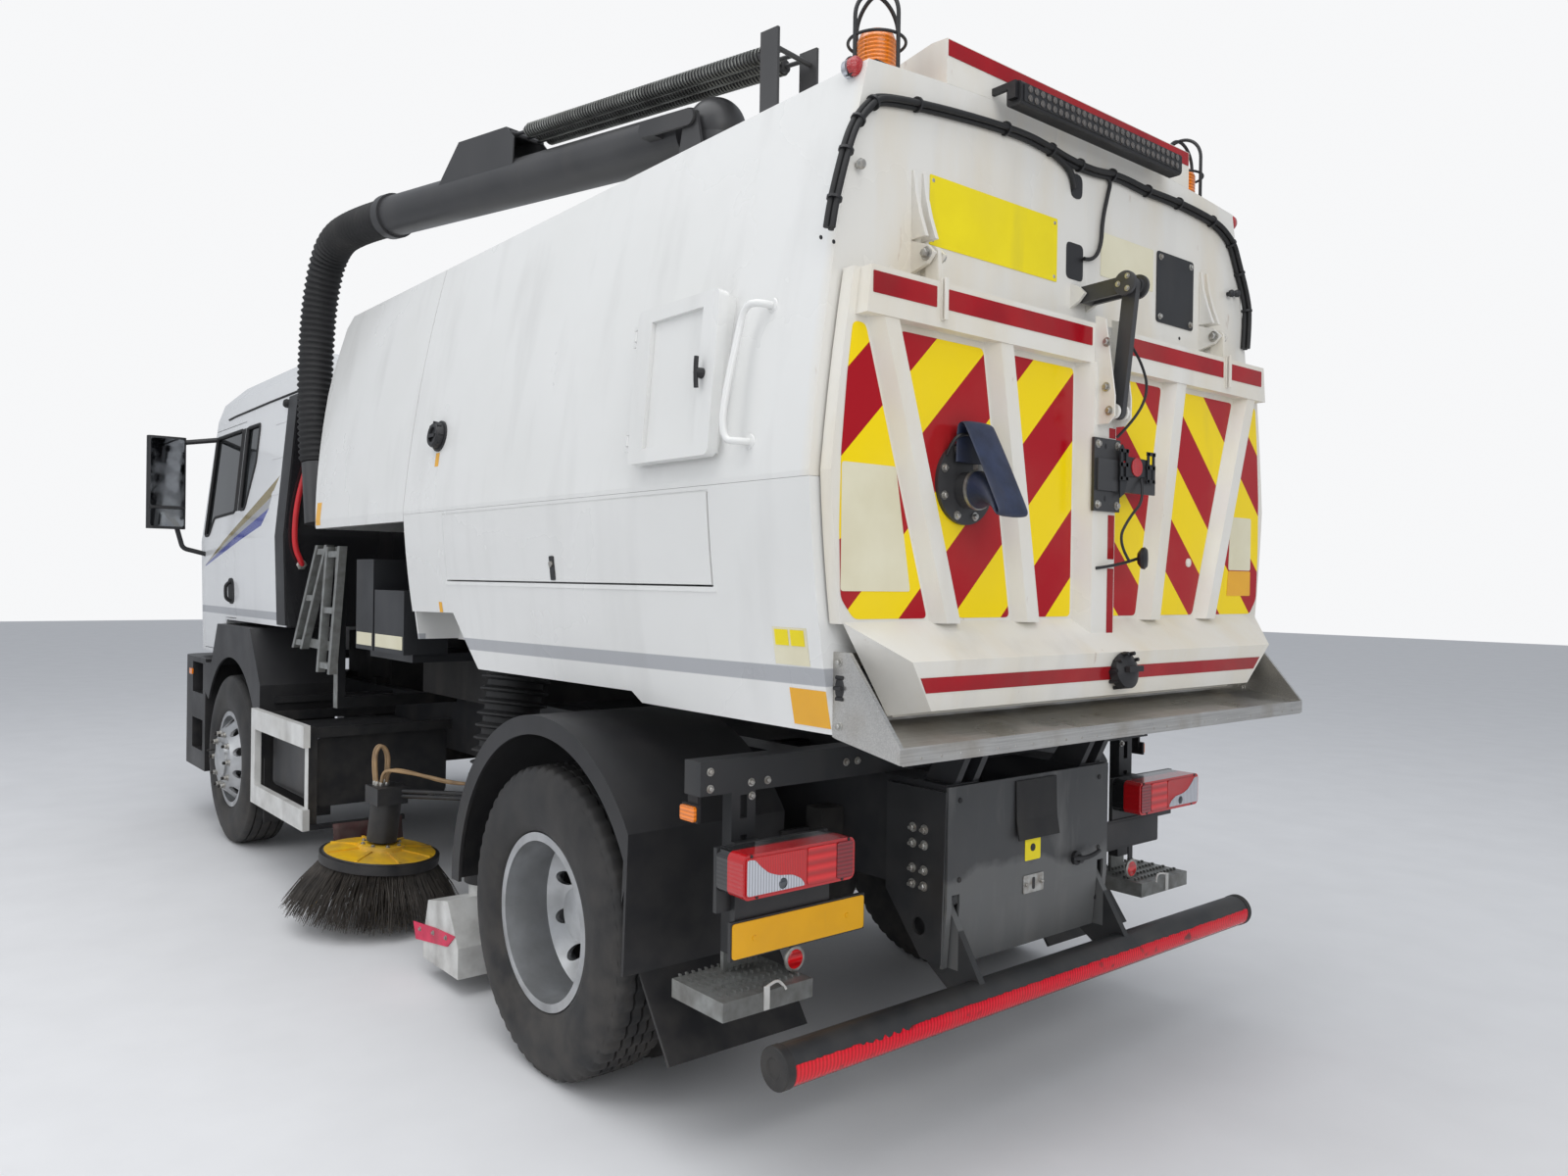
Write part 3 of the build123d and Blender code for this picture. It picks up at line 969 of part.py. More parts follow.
# Hopper front: the cowl over the auxiliary engine, open below and behind, its front rounded
COWL_CORNER = 170.0


def cowl_solid(inset):
    """The cowl's outer form, or the hollow inside it."""
    low = COWL_LOW - (1 if inset else 0)
    rear = HOP_SPLIT + 3 - (1 if inset else 0)
    nose = COWL_FRONT - inset
    body = slab("x", rear, nose, hopper_steps_closed(inset, HOP_LOW))
    side_line = [
        (rear, low), (COWL_FRONT - 136 - inset, low), (COWL_FRONT - 40 - inset, 2170), (nose, 2360),
        (nose - 20, HOP_TOP - 365), (nose - 70, HOP_TOP - 105), (nose - 190, HOP_TOP + 5), (rear, HOP_TOP + 5),
    ]
    body = body & slab("y", -WIDE, WIDE, side_line)
    half = HOP_WIDE_Y - inset + 3
    corner = COWL_CORNER - inset
    plan = [
        (rear, -half), (nose - corner, -half), (nose, -half + corner, nose - corner * 0.293, -half + corner * 0.293),
        (nose, half - corner), (nose - corner, half, nose - corner * 0.293, half - corner * 0.293), (rear, half),
    ]
    return body & slab("z", low - 1, HOP_TOP + 10, plan)


save("hopper_cowl", cowl_solid(0) - cowl_solid(COWL_WALL))

# The hopper's form, slightly swollen: what sits on the roof is cut to it
roof_cut = slab("x", HOP_REAR - 50, FRONT_EDGE, hopper_steps_closed(-SEAT_GAP))

HOOD_HALF = 645.0
hood = slab("y", -HOOD_HALF, HOOD_HALF, [
    (HOP_REAR, HOP_EDGE - 20), (HOP_REAR, HOP_EDGE + 155), (HOP_REAR + 60, HOP_EDGE + 160),
    (HOP_REAR + 700, HOP_EDGE + 75), (HOP_REAR + 740, HOP_EDGE - 20),
])

# Light bar on two brackets, beacons in their cages
BAR_LIGHT = (HOP_REAR - 100, HOP_REAR - 45)
BAR_TOP = HOP_EDGE + 67.0
light_bar = block(BAR_LIGHT, (-433, 433), (BAR_TOP - 69, BAR_TOP))
light_bar = fillet(light_bar.edges().filter_by(Axis.Y), 12)
for side, _ in SIDES:
    bracket_y = sorted((side * 433, side * 447))
    light_bar += block((HOP_REAR - 72, HOP_REAR), bracket_y, (BAR_TOP - 21, BAR_TOP - 1))
    light_bar += block((HOP_REAR - 88, HOP_REAR - 60), bracket_y, (BAR_TOP - 52, BAR_TOP - 1))

BEACON_X = HOP_REAR + 130.0
BEACON_Y = 800.0
CAGE_R = 86.0
CAGE_WIRE = 6.0
HOOP_Z = HOP_EDGE + 190.0
BEACON_FOOT = HOP_EDGE + 38.0


def hoop(angle, top_z):
    """A bent wire that stands on the roof, up one side, over and down the other."""
    way = Vector(cos(radians(angle)), sin(radians(angle)), 0)
    middle = Vector(BEACON_X, BEACON_Y, top_z)
    foot = Vector(BEACON_X, BEACON_Y, HOP_EDGE + 25)
    left, right = foot - way * CAGE_R, foot + way * CAGE_R
    over = middle + Vector(0, 0, CAGE_R)
    path = Wire([
        Edge.make_line(left, middle - way * CAGE_R),
        Edge.make_three_point_arc(middle - way * CAGE_R, over, middle + way * CAGE_R),
        Edge.make_line(middle + way * CAGE_R, right),
    ])
    return sweep(Plane(origin=left, z_dir=(0, 0, 1)) * Circle(CAGE_WIRE), path=path)


base = rod((BEACON_X, BEACON_Y, HOP_EDGE - 10), (BEACON_X, BEACON_Y, BEACON_FOOT), 70)
base += block((BEACON_X - 95, BEACON_X + 95), (BEACON_Y - 95, BEACON_Y + 95), (HOP_EDGE - 10, BEACON_FOOT - 8))
cage = (base - roof_cut) + hoop(0, HOOP_Z) + hoop(90, HOOP_Z - 5)
cage += Solid.make_torus(CAGE_R - 3, CAGE_WIRE - 1.5, Plane(origin=(BEACON_X, BEACON_Y, HOOP_Z - 55)))
dome = rod((BEACON_X, BEACON_Y, BEACON_FOOT + SEAT_GAP), (BEACON_X, BEACON_Y, BEACON_FOOT + 132), 58)
dome = fillet(dome.edges().group_by(Axis.Z)[-1], 24)
cages = both(cage)
beacons = both(dome)
save("beacon_cages", light_bar, *cages)
save("beacon_lamps", *beacons)

# Chute under the tailgate: a sloping floor with a folded lip, cheeks and screw caps
CHUTE_LIP = -LENGTH / 2
CHUTE_Y = 1040.0
CHUTE_SHEET = 5.0
chute = slab("y", -CHUTE_Y, CHUTE_Y, [
    (HOP_REAR, 1300), (HOP_REAR, 1450), (HOP_REAR - 4, 1450), (HOP_REAR - 4, 1330), (CHUTE_LIP, 1299),
    (CHUTE_LIP, 1253), (CHUTE_LIP + CHUTE_SHEET, 1253), (CHUTE_LIP + CHUTE_SHEET, 1294), (HOP_REAR - 8, 1325),
])
for side, _ in SIDES:
    cheek = slab("y", CHUTE_Y, CHUTE_Y + 12, [
        (HOP_REAR, 1300), (HOP_REAR, 1525), (HOP_REAR - 60, 1525), (CHUTE_LIP, 1300), (CHUTE_LIP, 1256),
        (HOP_REAR - 12, 1296),
    ])
    cap = rod((HOP_REAR - 4, 1002, 1430), (HOP_REAR - 40, 1002, 1430), 36)
    corner_plate = block((HOP_REAR - 4, HOP_REAR), (900, CHUTE_Y + 2), (1320, 1520))
    chute += sided(cheek + corner_plate + cap, side)
save("chute", chute)

# Tailgate: skin, beam, slanting ribs, centre post and the boxed lower flap
SKIN_BACK = GATE_X - GATE_THICK
RIBS = [
    # y at the top, y at the foot
    (945, 683), (470, 328), (-470, -328), (-945, -683),
]
RIB_TOP = 2412.0
RIB_DEPTH = 40.0


def ridge(y_top, y_low, top, low, wide, narrow, depth):
    """A rib that narrows away from the skin."""
    faces = []
    for x, half in ((SKIN_BACK, wide), (SKIN_BACK - depth, narrow)):
        faces.append(outline("x", x, [(y_top - half, top), (y_top + half, top), (y_low + half, low), (y_low - half, low)]))
    return loft(faces, ruled=True)


gate = slab("x", SKIN_BACK, GATE_X, hopper_steps_closed(30))
gate = gate & block((SKIN_BACK - 1, GATE_X + 1), (-WIDE, WIDE), (GATE_LOW, GATE_TOP))
gate += block((SKIN_BACK, GATE_X), (-880, 880), (1345, GATE_LOW + 5))
gate += slab("x", SKIN_BACK - 45, SKIN_BACK, [(-1040, 2410), (1040, 2410), (1024, GATE_TOP), (-1024, GATE_TOP)])
for y_top, y_low in RIBS:
    gate += ridge(y_top, y_low, RIB_TOP, GATE_LOW - 2, 56, 28, RIB_DEPTH)
gate += ridge(0, 0, RIB_TOP, 1540, 88, 60, 55)
flap_back = outline("x", SKIN_BACK, [(-1070, 1605), (1070, 1605), (900, 1350), (-900, 1350)])
FLAP = (AXLE_R - 1459.0, AXLE_R - 1432.0)
flap_front = Face(Wire.make_polygon([
    Vector(FLAP[0], -938, 1504), Vector(FLAP[0], 938, 1504), Vector(FLAP[1], 835, 1368), Vector(FLAP[1], -835, 1368),
]))
gate += loft([flap_back, flap_front], ruled=True)
gate += rod((FLAP[0] + 20, 0, 1440), (FLAP[0] - 22, 0, 1436), 36)
for side, _ in SIDES:
    arm = plate_link((GATE_PIVOT_Y - 7, GATE_PIVOT_Y + 7), (
        (SKIN_BACK - 12, GATE_TOP - 10), (GATE_PIVOT_X, GATE_PIVOT_Z)), 24,
        [(GATE_PIVOT_X, GATE_PIVOT_Z, 12 + PIN_FIT)])
    ear_y = sorted((side * 18, side * 30))
    ear = plate_link(ear_y, ((SKIN_BACK - 40, LINK_LOW[1]), LINK_LOW), 24)
    gate += sided(arm, side)
    gate += ear
gate += rod((LINK_LOW[0], -30, LINK_LOW[1]), (LINK_LOW[0], 30, LINK_LOW[1]), 9)
save("tailgate", gate)

# Crank and link that lift the tailgate
crank_bore = (CRANK_X, CRANK_Z, 12 + PIN_FIT)
crank = rod((CRANK_X, -30, CRANK_Z), (CRANK_X, 30, CRANK_Z), 26)
for y_span in ((-30, -17), (17, 30)):
    crank += plate_link(y_span, ((CRANK_X, CRANK_Z), CRANK_TIP), 26)
crank -= rod((CRANK_X, -31, CRANK_Z), (CRANK_X, 31, CRANK_Z), 12 + PIN_FIT)
crank += rod((CRANK_TIP[0], -30, CRANK_TIP[1]), (CRANK_TIP[0], 30, CRANK_TIP[1]), 9)
save("gate_crank", crank)
save("gate_link", plate_link((-11, 11), (CRANK_TIP, LINK_LOW), 24, [
    (CRANK_TIP[0], CRANK_TIP[1], 9 + EYE_PLAY), (LINK_LOW[0], LINK_LOW[1], 9 + PIN_FIT)]))

# The drain outlet on the tailgate: a black flange with bolts and a short spout; the flat hose folds over it
OUTLET = (610.0, 1995.0)
flange = rod((SKIN_BACK, OUTLET[0], OUTLET[1]), (SKIN_BACK - 14, OUTLET[0], OUTLET[1]), 118)
flange += rod((SKIN_BACK - 14, OUTLET[0], OUTLET[1] - 20), (SKIN_BACK - 70, OUTLET[0], OUTLET[1] - 20), 52)

# Black cross plate bolted to the centre post
cross_x = SKIN_BACK - 55
cross = block((cross_x - 10, cross_x), (-70, 70), (1945, 2175))
cross += block((cross_x - 18, cross_x - 10), (-260, 60), (2010, 2110))
save("gate_fittings", flange, cross)

# Boom: turret, springs' post, pipe with saddle, springs
boom_run = Vector(BOOM_END[0] - BOOM_X, BOOM_END[1] - BOOM_Y, 0)
BOOM_LEN = (boom_run.length ** 2 + (BOOM_END[2] - BOOM_Z) ** 2) ** 0.5
flat_plane = Plane(origin=(BOOM_X, BOOM_Y, BOOM_Z), x_dir=boom_run, z_dir=(0, 0, 1))
boom_way = Vector(BOOM_END[0] - BOOM_X, BOOM_END[1] - BOOM_Y, BOOM_END[2] - BOOM_Z)
boom_plane = Plane(origin=(BOOM_X, BOOM_Y, BOOM_Z), x_dir=boom_way, z_dir=boom_way.cross(flat_plane.y_dir))
ROOF_BASE_TOP = HOP_EDGE + 66.0
TURRET_FOOT = ROOF_BASE_TOP - BOOM_Z
base = rod((BOOM_X, BOOM_Y, HOP_EDGE - 10), (BOOM_X, BOOM_Y, ROOF_BASE_TOP), 175)
save("roof_fittings", hood - roof_cut, base - roof_cut)

FORK_Y = (119.0, 133.0)
BALL_R = 110.0
turret = rod((0, 0, TURRET_FOOT + SEAT_GAP), (0, 0, TURRET_FOOT + 40), 150)
turret += rod((0, 0, TURRET_FOOT + 30), (0, 0, 0), BALL_R - 8)
turret += Solid.make_sphere(BALL_R)
POST_X = (-400.0, -320.0)
for side, _ in SIDES:
    fork_y = sorted((side * FORK_Y[0], side * FORK_Y[1]))
    fork = slab("y", fork_y[0], fork_y[1], [
        (-75, TURRET_FOOT + 5), (75, TURRET_FOOT + 5), (30, 22), (-30, 22),
    ])
    turret += fork + block((-75, 75), sorted((side * 90, side * FORK_Y[1])), (TURRET_FOOT + 5, TURRET_FOOT + 40))
    turret -= rod((0, side * 100, 0), (0, side * 140, 0), 14 + PIN_FIT)
    post_y = sorted((side * 96, side * 108))
    turret += block((POST_X[0], -60), post_y, (TURRET_FOOT + 5, TURRET_FOOT + 40))
    turret += block(POST_X, post_y, (TURRET_FOOT + 5, 215))
save("boom_turret", flat_plane.location * turret)

SADDLE = (1180.0, 1800.0)
SPRING_Z = 185.0
pipe = rod((BALL_R + 8, 0, 0), (BOOM_LEN, 0, 0), BOOM_R)
for side, _ in SIDES:
    lug_y = sorted((side * (FORK_Y[1] + 3), side * (FORK_Y[1] + 15)))
    pipe += plate_link(lug_y, ((0, 0), (240, 0)), 30)
    pipe += block((190, 260), sorted((side * 70, side * (FORK_Y[1] + 15))), (-30, 30))
    pipe += rod((0, side * (FORK_Y[0] - 5), 0), (0, side * (FORK_Y[1] + 10), 0), 14)
    pipe += slab("y", sorted((side * 82, side * 88))[0], sorted((side * 82, side * 88))[1], [
        (SADDLE[0], 20), (SADDLE[1], 20), (SADDLE[1] - 180, 215), (SADDLE[0] + 60, 215), (SADDLE[0], 160),
    ])
pipe += block((SADDLE[0] + 60, SADDLE[1] - 180), (-88, 88), (207, 215))
pipe += rod((SADDLE[0] + 30, -84, SPRING_Z), (SADDLE[0] + 30, 84, SPRING_Z), 10)
pipe += rod((BOOM_LEN - 60, 0, 0), (BOOM_LEN, 0, 0), BOOM_R + 12)

SPRING_ROWS = (-56.0, 0.0, 56.0)
springs = rod((POST_X[1] - 40, -90, SPRING_Z), (POST_X[1] - 40, 90, SPRING_Z), 9)
for y in SPRING_ROWS:
    springs += rod((POST_X[1] - 40, y, SPRING_Z), (SADDLE[0] + 19.7, y, SPRING_Z), 8)
    springs += rod((POST_X[1] + 40, y, SPRING_Z), (SADDLE[0] - 60, y, SPRING_Z), 23)
save("boom_pipe", boom_plane.location * pipe, boom_plane.location * springs)

# The corrugated suction hose hangs from the boom behind the cab; its nozzle is stowed at its end
HOSE_STOW_Z = 2330.0
HOSE_ROUTE = [
    # x ahead of the cowl, y, share of the way down from the boom's pivot to the stowed end
    (28, 1025, -0.152), (148, 1050, 0.105), (170, 1065, 0.457), (143, 1070, 0.781), (115, 1065, 1.0),
]
HOSE_LEAD = 330.0


def cord_tube(points, radius):
    """A round tube of straight runs and tangent arcs, each arc as large as its runs allow."""
    spots = [Vector(*point) for point in points]
    radii = []
    for before, here, after in zip(spots, spots[1:], spots[2:]):
        turn = radians((here - before).get_angle(after - here))
        shorter = min((here - before).length, (after - here).length)
        radii.append(0.45 * shorter / (sin(turn / 2) / cos(turn / 2)))
    path = FilletPolyline(*spots, radius=radii)
    start = Plane(origin=spots[0], z_dir=spots[1] - spots[0])
    tube = sweep(start * Circle(radius), path=path)
    print("tube length", round(path.length), "least radius", round(min(radii)), "volume ratio",
          round(tube.volume / (path.length * 3.14159265 * radius ** 2), 4))
    return tube


boom_dir = boom_way.normalized()
hose_points = [
    tuple(Vector(*BOOM_END) + boom_dir * SEAT_GAP), tuple(Vector(*BOOM_END) + boom_dir * HOSE_LEAD),
]
hose_points += [(COWL_FRONT + x, y, BOOM_Z - share * (BOOM_Z - HOSE_STOW_Z)) for x, y, share in HOSE_ROUTE]
save("boom_hose", cord_tube(hose_points, HOSE_R))
tip = Vector(*hose_points[-1])
tip_way = (tip - Vector(*hose_points[-2])).normalized()
tip_start = tip + tip_way * SEAT_GAP
tip_end = tip + tip_way * 340
save("hose_nozzle", rod(tuple(tip_start), tuple(tip_end), HOSE_R - 15))

# Frame of the sweeping gear: a beam each side with the nozzle's guide rod and the brush arm's ears
BEAM_X = (NOZZLE_X - 50, NOZZLE_X + 50)
DUCT_R = 120.0
BEAM_END = 712.0
SLEEVE_HOLD = (455.0, 515.0)
GUIDE_Y = 640.0
GUIDE_R = 14.0
ARM_EAR_Z = ((ARM_Z - 52, ARM_Z - 36), (ARM_Z + 36, ARM_Z + 52))
gears = []
for side, _ in SIDES:
    gear = block(BEAM_X, (RAIL_OUT, BEAM_END), (RAIL_LOW, RAIL_LOW + 60))
    gear += block(BEAM_X, (BEAM_END - 20, BEAM_END), (SLEEVE_HOLD[0], RAIL_LOW + 60))
    gear += block(BEAM_X, (BEAM_END - 20, NOZZLE_Y - DUCT_R - SEAT_GAP), SLEEVE_HOLD)
    gear += rod((NOZZLE_X, GUIDE_Y, 290), (NOZZLE_X, GUIDE_Y, RAIL_LOW), GUIDE_R)
    for low, high in ARM_EAR_Z:
        gear += block((ARM_X - 40, ARM_X + 40), (RAIL_OUT, ARM_Y), (low, high))
        gear += rod((ARM_X, ARM_Y, low), (ARM_X, ARM_Y, high), 40)
    gear += block((ARM_X - 40, ARM_X + 40), (RAIL_OUT, RAIL_OUT + 40), (ARM_EAR_Z[0][0], RAIL_LOW + 60))
    gear += rod((ARM_X, ARM_Y, ARM_EAR_Z[0][0]), (ARM_X, ARM_Y, ARM_EAR_Z[1][1]), 20)
    gears.append(sided(gear, side))
save("sweep_frame", *gears)

# Suction ducts: a sleeve over the nozzle's spout, then a ribbed duct that leans in under the tank
SLEEVE_TOP = 520.0
DUCT_TOP = (NOZZLE_X + 40, 760.0, TANK_FLOOR - RUN_GAP - 3)
SPOUT_R = 100.0
DUCT_RIBS = 9
duct_way = Vector(*DUCT_TOP) - Vector(NOZZLE_X, NOZZLE_Y, SLEEVE_TOP)
duct_plane = Plane(origin=(NOZZLE_X, NOZZLE_Y, SLEEVE_TOP), z_dir=duct_way)
duct_line = [(0, 0), (DUCT_R - 12, 0), (DUCT_R - 12, 300)]
rib_pitch = (duct_way.length - 420) / DUCT_RIBS
for index in range(DUCT_RIBS):
    low = 300 + index * rib_pitch
    duct_line += [(DUCT_R, low + 8), (DUCT_R + 28, low + 16), (DUCT_R + 28, low + 24), (DUCT_R, low + rib_pitch * 0.7)]
duct_line += [(DUCT_R - 12, duct_way.length - 100), (DUCT_R - 12, duct_way.length - 12), (0, duct_way.length - 12)]
duct_face = outline("y", 0, duct_line)
ribbed = duct_plane.location * revolve(duct_face, axis=Axis.Z)
sleeve = rod((NOZZLE_X, NOZZLE_Y, 400), (NOZZLE_X, NOZZLE_Y, SLEEVE_TOP + 22), DUCT_R)
sleeve -= rod((NOZZLE_X, NOZZLE_Y, 399), (NOZZLE_X, NOZZLE_Y, SLEEVE_TOP - 30), SPOUT_R + 8)
save("suction_ducts", *both(ribbed + sleeve))

# Nozzles: a hood on a guide, with a caster wheel on a pin
NOZZLE_SPAN_X = (NOZZLE_X - 220, NOZZLE_X + 140)
NOZZLE_SPAN_Y = (690.0, 1150.0)
NOZZLE_LOW = 75.0
CASTER_X = NOZZLE_SPAN_X[1] + CASTER_R + 12
SPOUT_TOP = SLEEVE_TOP - 30 - RUN_GAP
CASTER_Y = 1035.0
CASTER_Z = CASTER_R + NOZZLE_LIFT + 2
for side, name in SIDES:
    hood_line = [
        (NOZZLE_SPAN_X[0], NOZZLE_LOW), (NOZZLE_SPAN_X[1], NOZZLE_LOW), (NOZZLE_SPAN_X[1], 150),
        (NOZZLE_X + 90, 330), (NOZZLE_X - 110, 370), (NOZZLE_SPAN_X[0], 200),
    ]
    nozzle = slab("y", NOZZLE_SPAN_Y[0], NOZZLE_SPAN_Y[1], hood_line)
    nozzle -= slab("y", NOZZLE_SPAN_Y[0] + 20, NOZZLE_SPAN_Y[1] - 20, [
        (NOZZLE_SPAN_X[0] + 20, NOZZLE_LOW - 1), (NOZZLE_SPAN_X[1] - 20, NOZZLE_LOW - 1),
        (NOZZLE_SPAN_X[1] - 20, 140), (NOZZLE_X + 80, 300), (NOZZLE_X - 100, 330), (NOZZLE_SPAN_X[0] + 20, 190),
    ])
    nozzle += rod((NOZZLE_X, NOZZLE_Y, 325), (NOZZLE_X, NOZZLE_Y, SPOUT_TOP), SPOUT_R)
    nozzle += block((NOZZLE_X - 30, NOZZLE_X + 30), (GUIDE_Y - 30, NOZZLE_SPAN_Y[0] + 60), (340, 370))
    nozzle += rod((NOZZLE_X, GUIDE_Y, 340), (NOZZLE_X, GUIDE_Y, 420), 30)
    nozzle -= rod((NOZZLE_X, GUIDE_Y, 280), (NOZZLE_X, GUIDE_Y, 500), GUIDE_R + PIN_FIT)
    for y_span in ((CASTER_Y - 42, CASTER_Y - 32), (CASTER_Y + 32, CASTER_Y + 42)):
        nozzle += slab("y", y_span[0], y_span[1], [
            (NOZZLE_SPAN_X[1] - 20, 140), (NOZZLE_SPAN_X[1] - 20, 290), (CASTER_X + 10, CASTER_Z + 22),
            (CASTER_X + 18, CASTER_Z - 16), (CASTER_X - 18, CASTER_Z - 16),
        ])
    nozzle += rod((CASTER_X, CASTER_Y - 42, CASTER_Z), (CASTER_X, CASTER_Y + 42, CASTER_Z), 10)
    save(f"nozzle_{name}", sided(nozzle, side))
    caster = turned(CASTER_X, CASTER_Z, [
        (CASTER_Y - 26, 10 + PIN_FIT), (CASTER_Y - 26, 30), (CASTER_Y - 12, 36), (CASTER_Y - 12, 62),
        (CASTER_Y - 22, 66), (CASTER_Y - 22, CASTER_R - 8), (CASTER_Y + 22, CASTER_R - 8, CASTER_Y, CASTER_R),
        (CASTER_Y + 22, 66), (CASTER_Y + 12, 62), (CASTER_Y + 12, 36), (CASTER_Y + 26, 30),
        (CASTER_Y + 26, 10 + PIN_FIT),
    ])
    save(f"nozzle_wheel_{name}", sided(caster, side))

# Side brushes: an arm with the motor, and the tilted brush below it
brush_way = Vector(-sin(radians(BRUSH_TILT)) * 0.6, -sin(radians(BRUSH_TILT)) * 0.8, cos(radians(BRUSH_TILT)))
brush_plane = Plane(origin=(BRUSH_X, BRUSH_Y, BRUSH_Z), z_dir=brush_way)
DISC_R = 280.0
SHAFT_R = 24.0
for side, name in SIDES:
    eye = rod((ARM_X, ARM_Y, ARM_EAR_Z[0][1] + RUN_GAP), (ARM_X, ARM_Y, ARM_EAR_Z[1][0] - RUN_GAP), 40)
    elbow = (BRUSH_X - 70, BRUSH_Y - 40, ARM_Z)
    arm = eye
    for drop in (-12, 12):
        arm += rod((ARM_X, ARM_Y, ARM_Z + drop), (elbow[0], elbow[1], elbow[2] + drop), 11)
    arm += block((elbow[0] - 40, elbow[0] + 130), (elbow[1] - 55, elbow[1] + 95), (ARM_Z - 50, ARM_Z + 34))
    motor = Solid.make_cylinder(72, 215, Plane(origin=brush_plane.from_local_coords(Vector(0, 0, 72)), z_dir=brush_way))
    shaft = Solid.make_cylinder(SHAFT_R, 70, Plane(origin=brush_plane.from_local_coords(Vector(0, 0, 10)), z_dir=brush_way))
    arm = arm + motor + shaft
    arm -= rod((ARM_X, ARM_Y, ARM_Z - 60), (ARM_X, ARM_Y, ARM_Z + 60), 20 + PIN_FIT)
    save(f"brush_arm_{name}", sided(arm, side))
    disc = revolve(outline("y", 0, [
        (0, -30), (DISC_R, -30), (DISC_R, 18), (DISC_R - 30, 26), (110, 40), (110, 58), (SHAFT_R + PIN_FIT, 58),
        (SHAFT_R + PIN_FIT, 8), (0, 8),
    ]), axis=Axis.Z)
    bristles = revolve(outline("y", 0, [
        (150, -30 - SEAT_GAP), (DISC_R + 8, -30 - SEAT_GAP), (430, -270), (330, -270),
    ]), axis=Axis.Z)
    brush = [sided(brush_plane.location * shape, side) for shape in (disc, bristles)]
    save(f"brush_{name}", *brush)
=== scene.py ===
# %% [markdown]
# A street sweeper truck, dressed in Blender.
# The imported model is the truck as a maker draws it: plain solids at their real places, in metres.
# This lesson leaves every solid where it is and adds what a drawing leaves out: paint, glass, tread,
# bristles, reflective film, bolts, cables and the wear of daily work.

# %% Load the model
import random
from math import cos, pi, radians, sin, sqrt

import bmesh
import bpy
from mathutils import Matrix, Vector
from mathutils.bvhtree import BVHTree


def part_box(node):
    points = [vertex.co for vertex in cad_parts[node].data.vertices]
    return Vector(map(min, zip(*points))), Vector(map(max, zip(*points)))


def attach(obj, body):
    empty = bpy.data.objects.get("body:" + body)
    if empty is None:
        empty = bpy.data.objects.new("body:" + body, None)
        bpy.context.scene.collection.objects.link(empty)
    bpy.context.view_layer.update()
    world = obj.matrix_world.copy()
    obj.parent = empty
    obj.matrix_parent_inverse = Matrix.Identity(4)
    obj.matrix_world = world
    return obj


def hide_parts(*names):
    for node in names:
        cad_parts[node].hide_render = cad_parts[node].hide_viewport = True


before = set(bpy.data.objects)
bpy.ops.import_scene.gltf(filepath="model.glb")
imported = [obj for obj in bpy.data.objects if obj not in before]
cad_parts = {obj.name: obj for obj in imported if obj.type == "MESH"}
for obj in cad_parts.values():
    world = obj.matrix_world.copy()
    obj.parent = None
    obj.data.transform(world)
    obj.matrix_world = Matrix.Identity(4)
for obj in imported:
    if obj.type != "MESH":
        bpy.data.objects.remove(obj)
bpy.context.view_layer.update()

# %% [markdown]
# The camera stands where the photographer stood: at the rear left, 1.7 m up, nearly level.
# Its direction is written as a heading, a tilt and a small roll, and three axes come from those.
# Turning the camera by its matrix avoids any guess about the order of Euler angles.

# %% Camera
CAMERA_AT = Vector((-5.5286, 3.047, 1.7079))
HEADING, TILT, ROLL = radians(-39.774), radians(-0.318), radians(-0.831)
ahead = Vector((cos(TILT) * cos(HEADING), cos(TILT) * sin(HEADING), sin(TILT)))
level = Vector((sin(HEADING), -cos(HEADING), 0))
down = ahead.cross(level)
across = level * cos(ROLL) + down * sin(ROLL)
below = down * cos(ROLL) - level * sin(ROLL)
scene = bpy.context.scene
camera = bpy.data.objects.new("photo_camera", bpy.data.cameras.new("photo_camera"))
camera.data.sensor_width = 36.0
camera.data.lens = 25.7
camera.data.clip_end = 200.0
turn = camera.matrix_world.to_3x3()
turn.col[0], turn.col[1], turn.col[2] = across, -below, -ahead
camera.matrix_world = turn.to_4x4()
camera.location = CAMERA_AT
scene.collection.objects.link(camera)
scene.camera = camera
print("camera looks along", [round(c, 3) for c in ahead])

# %% [markdown]
# The picture was taken under a bright overcast sky, so the light is one very large soft source.
# A picture of a sky could light the truck too; lamps are chosen, because each can be aimed and weighed alone.
# The world gives the sky's even light, one wide lamp overhead gives the shadow under the truck, and two
# weaker ones behind and beside it lift the rear and the left side. Rays from the camera see a pale plain ground.

# %% Studio light
scene.view_settings.view_transform = "Standard"


def add_node(tree, kind, inputs=None, **settings):
    """A shader node of a kind, with its settings made and its sockets set or joined."""
    made = tree.nodes.new("ShaderNode" + kind)
    for name, value in settings.items():
        setattr(made, name, value)
    for name, value in (inputs or {}).items():
        if isinstance(value, bpy.types.NodeSocket):
            tree.links.new(value, made.inputs[name])
        else:
            made.inputs[name].default_value = value
    return made


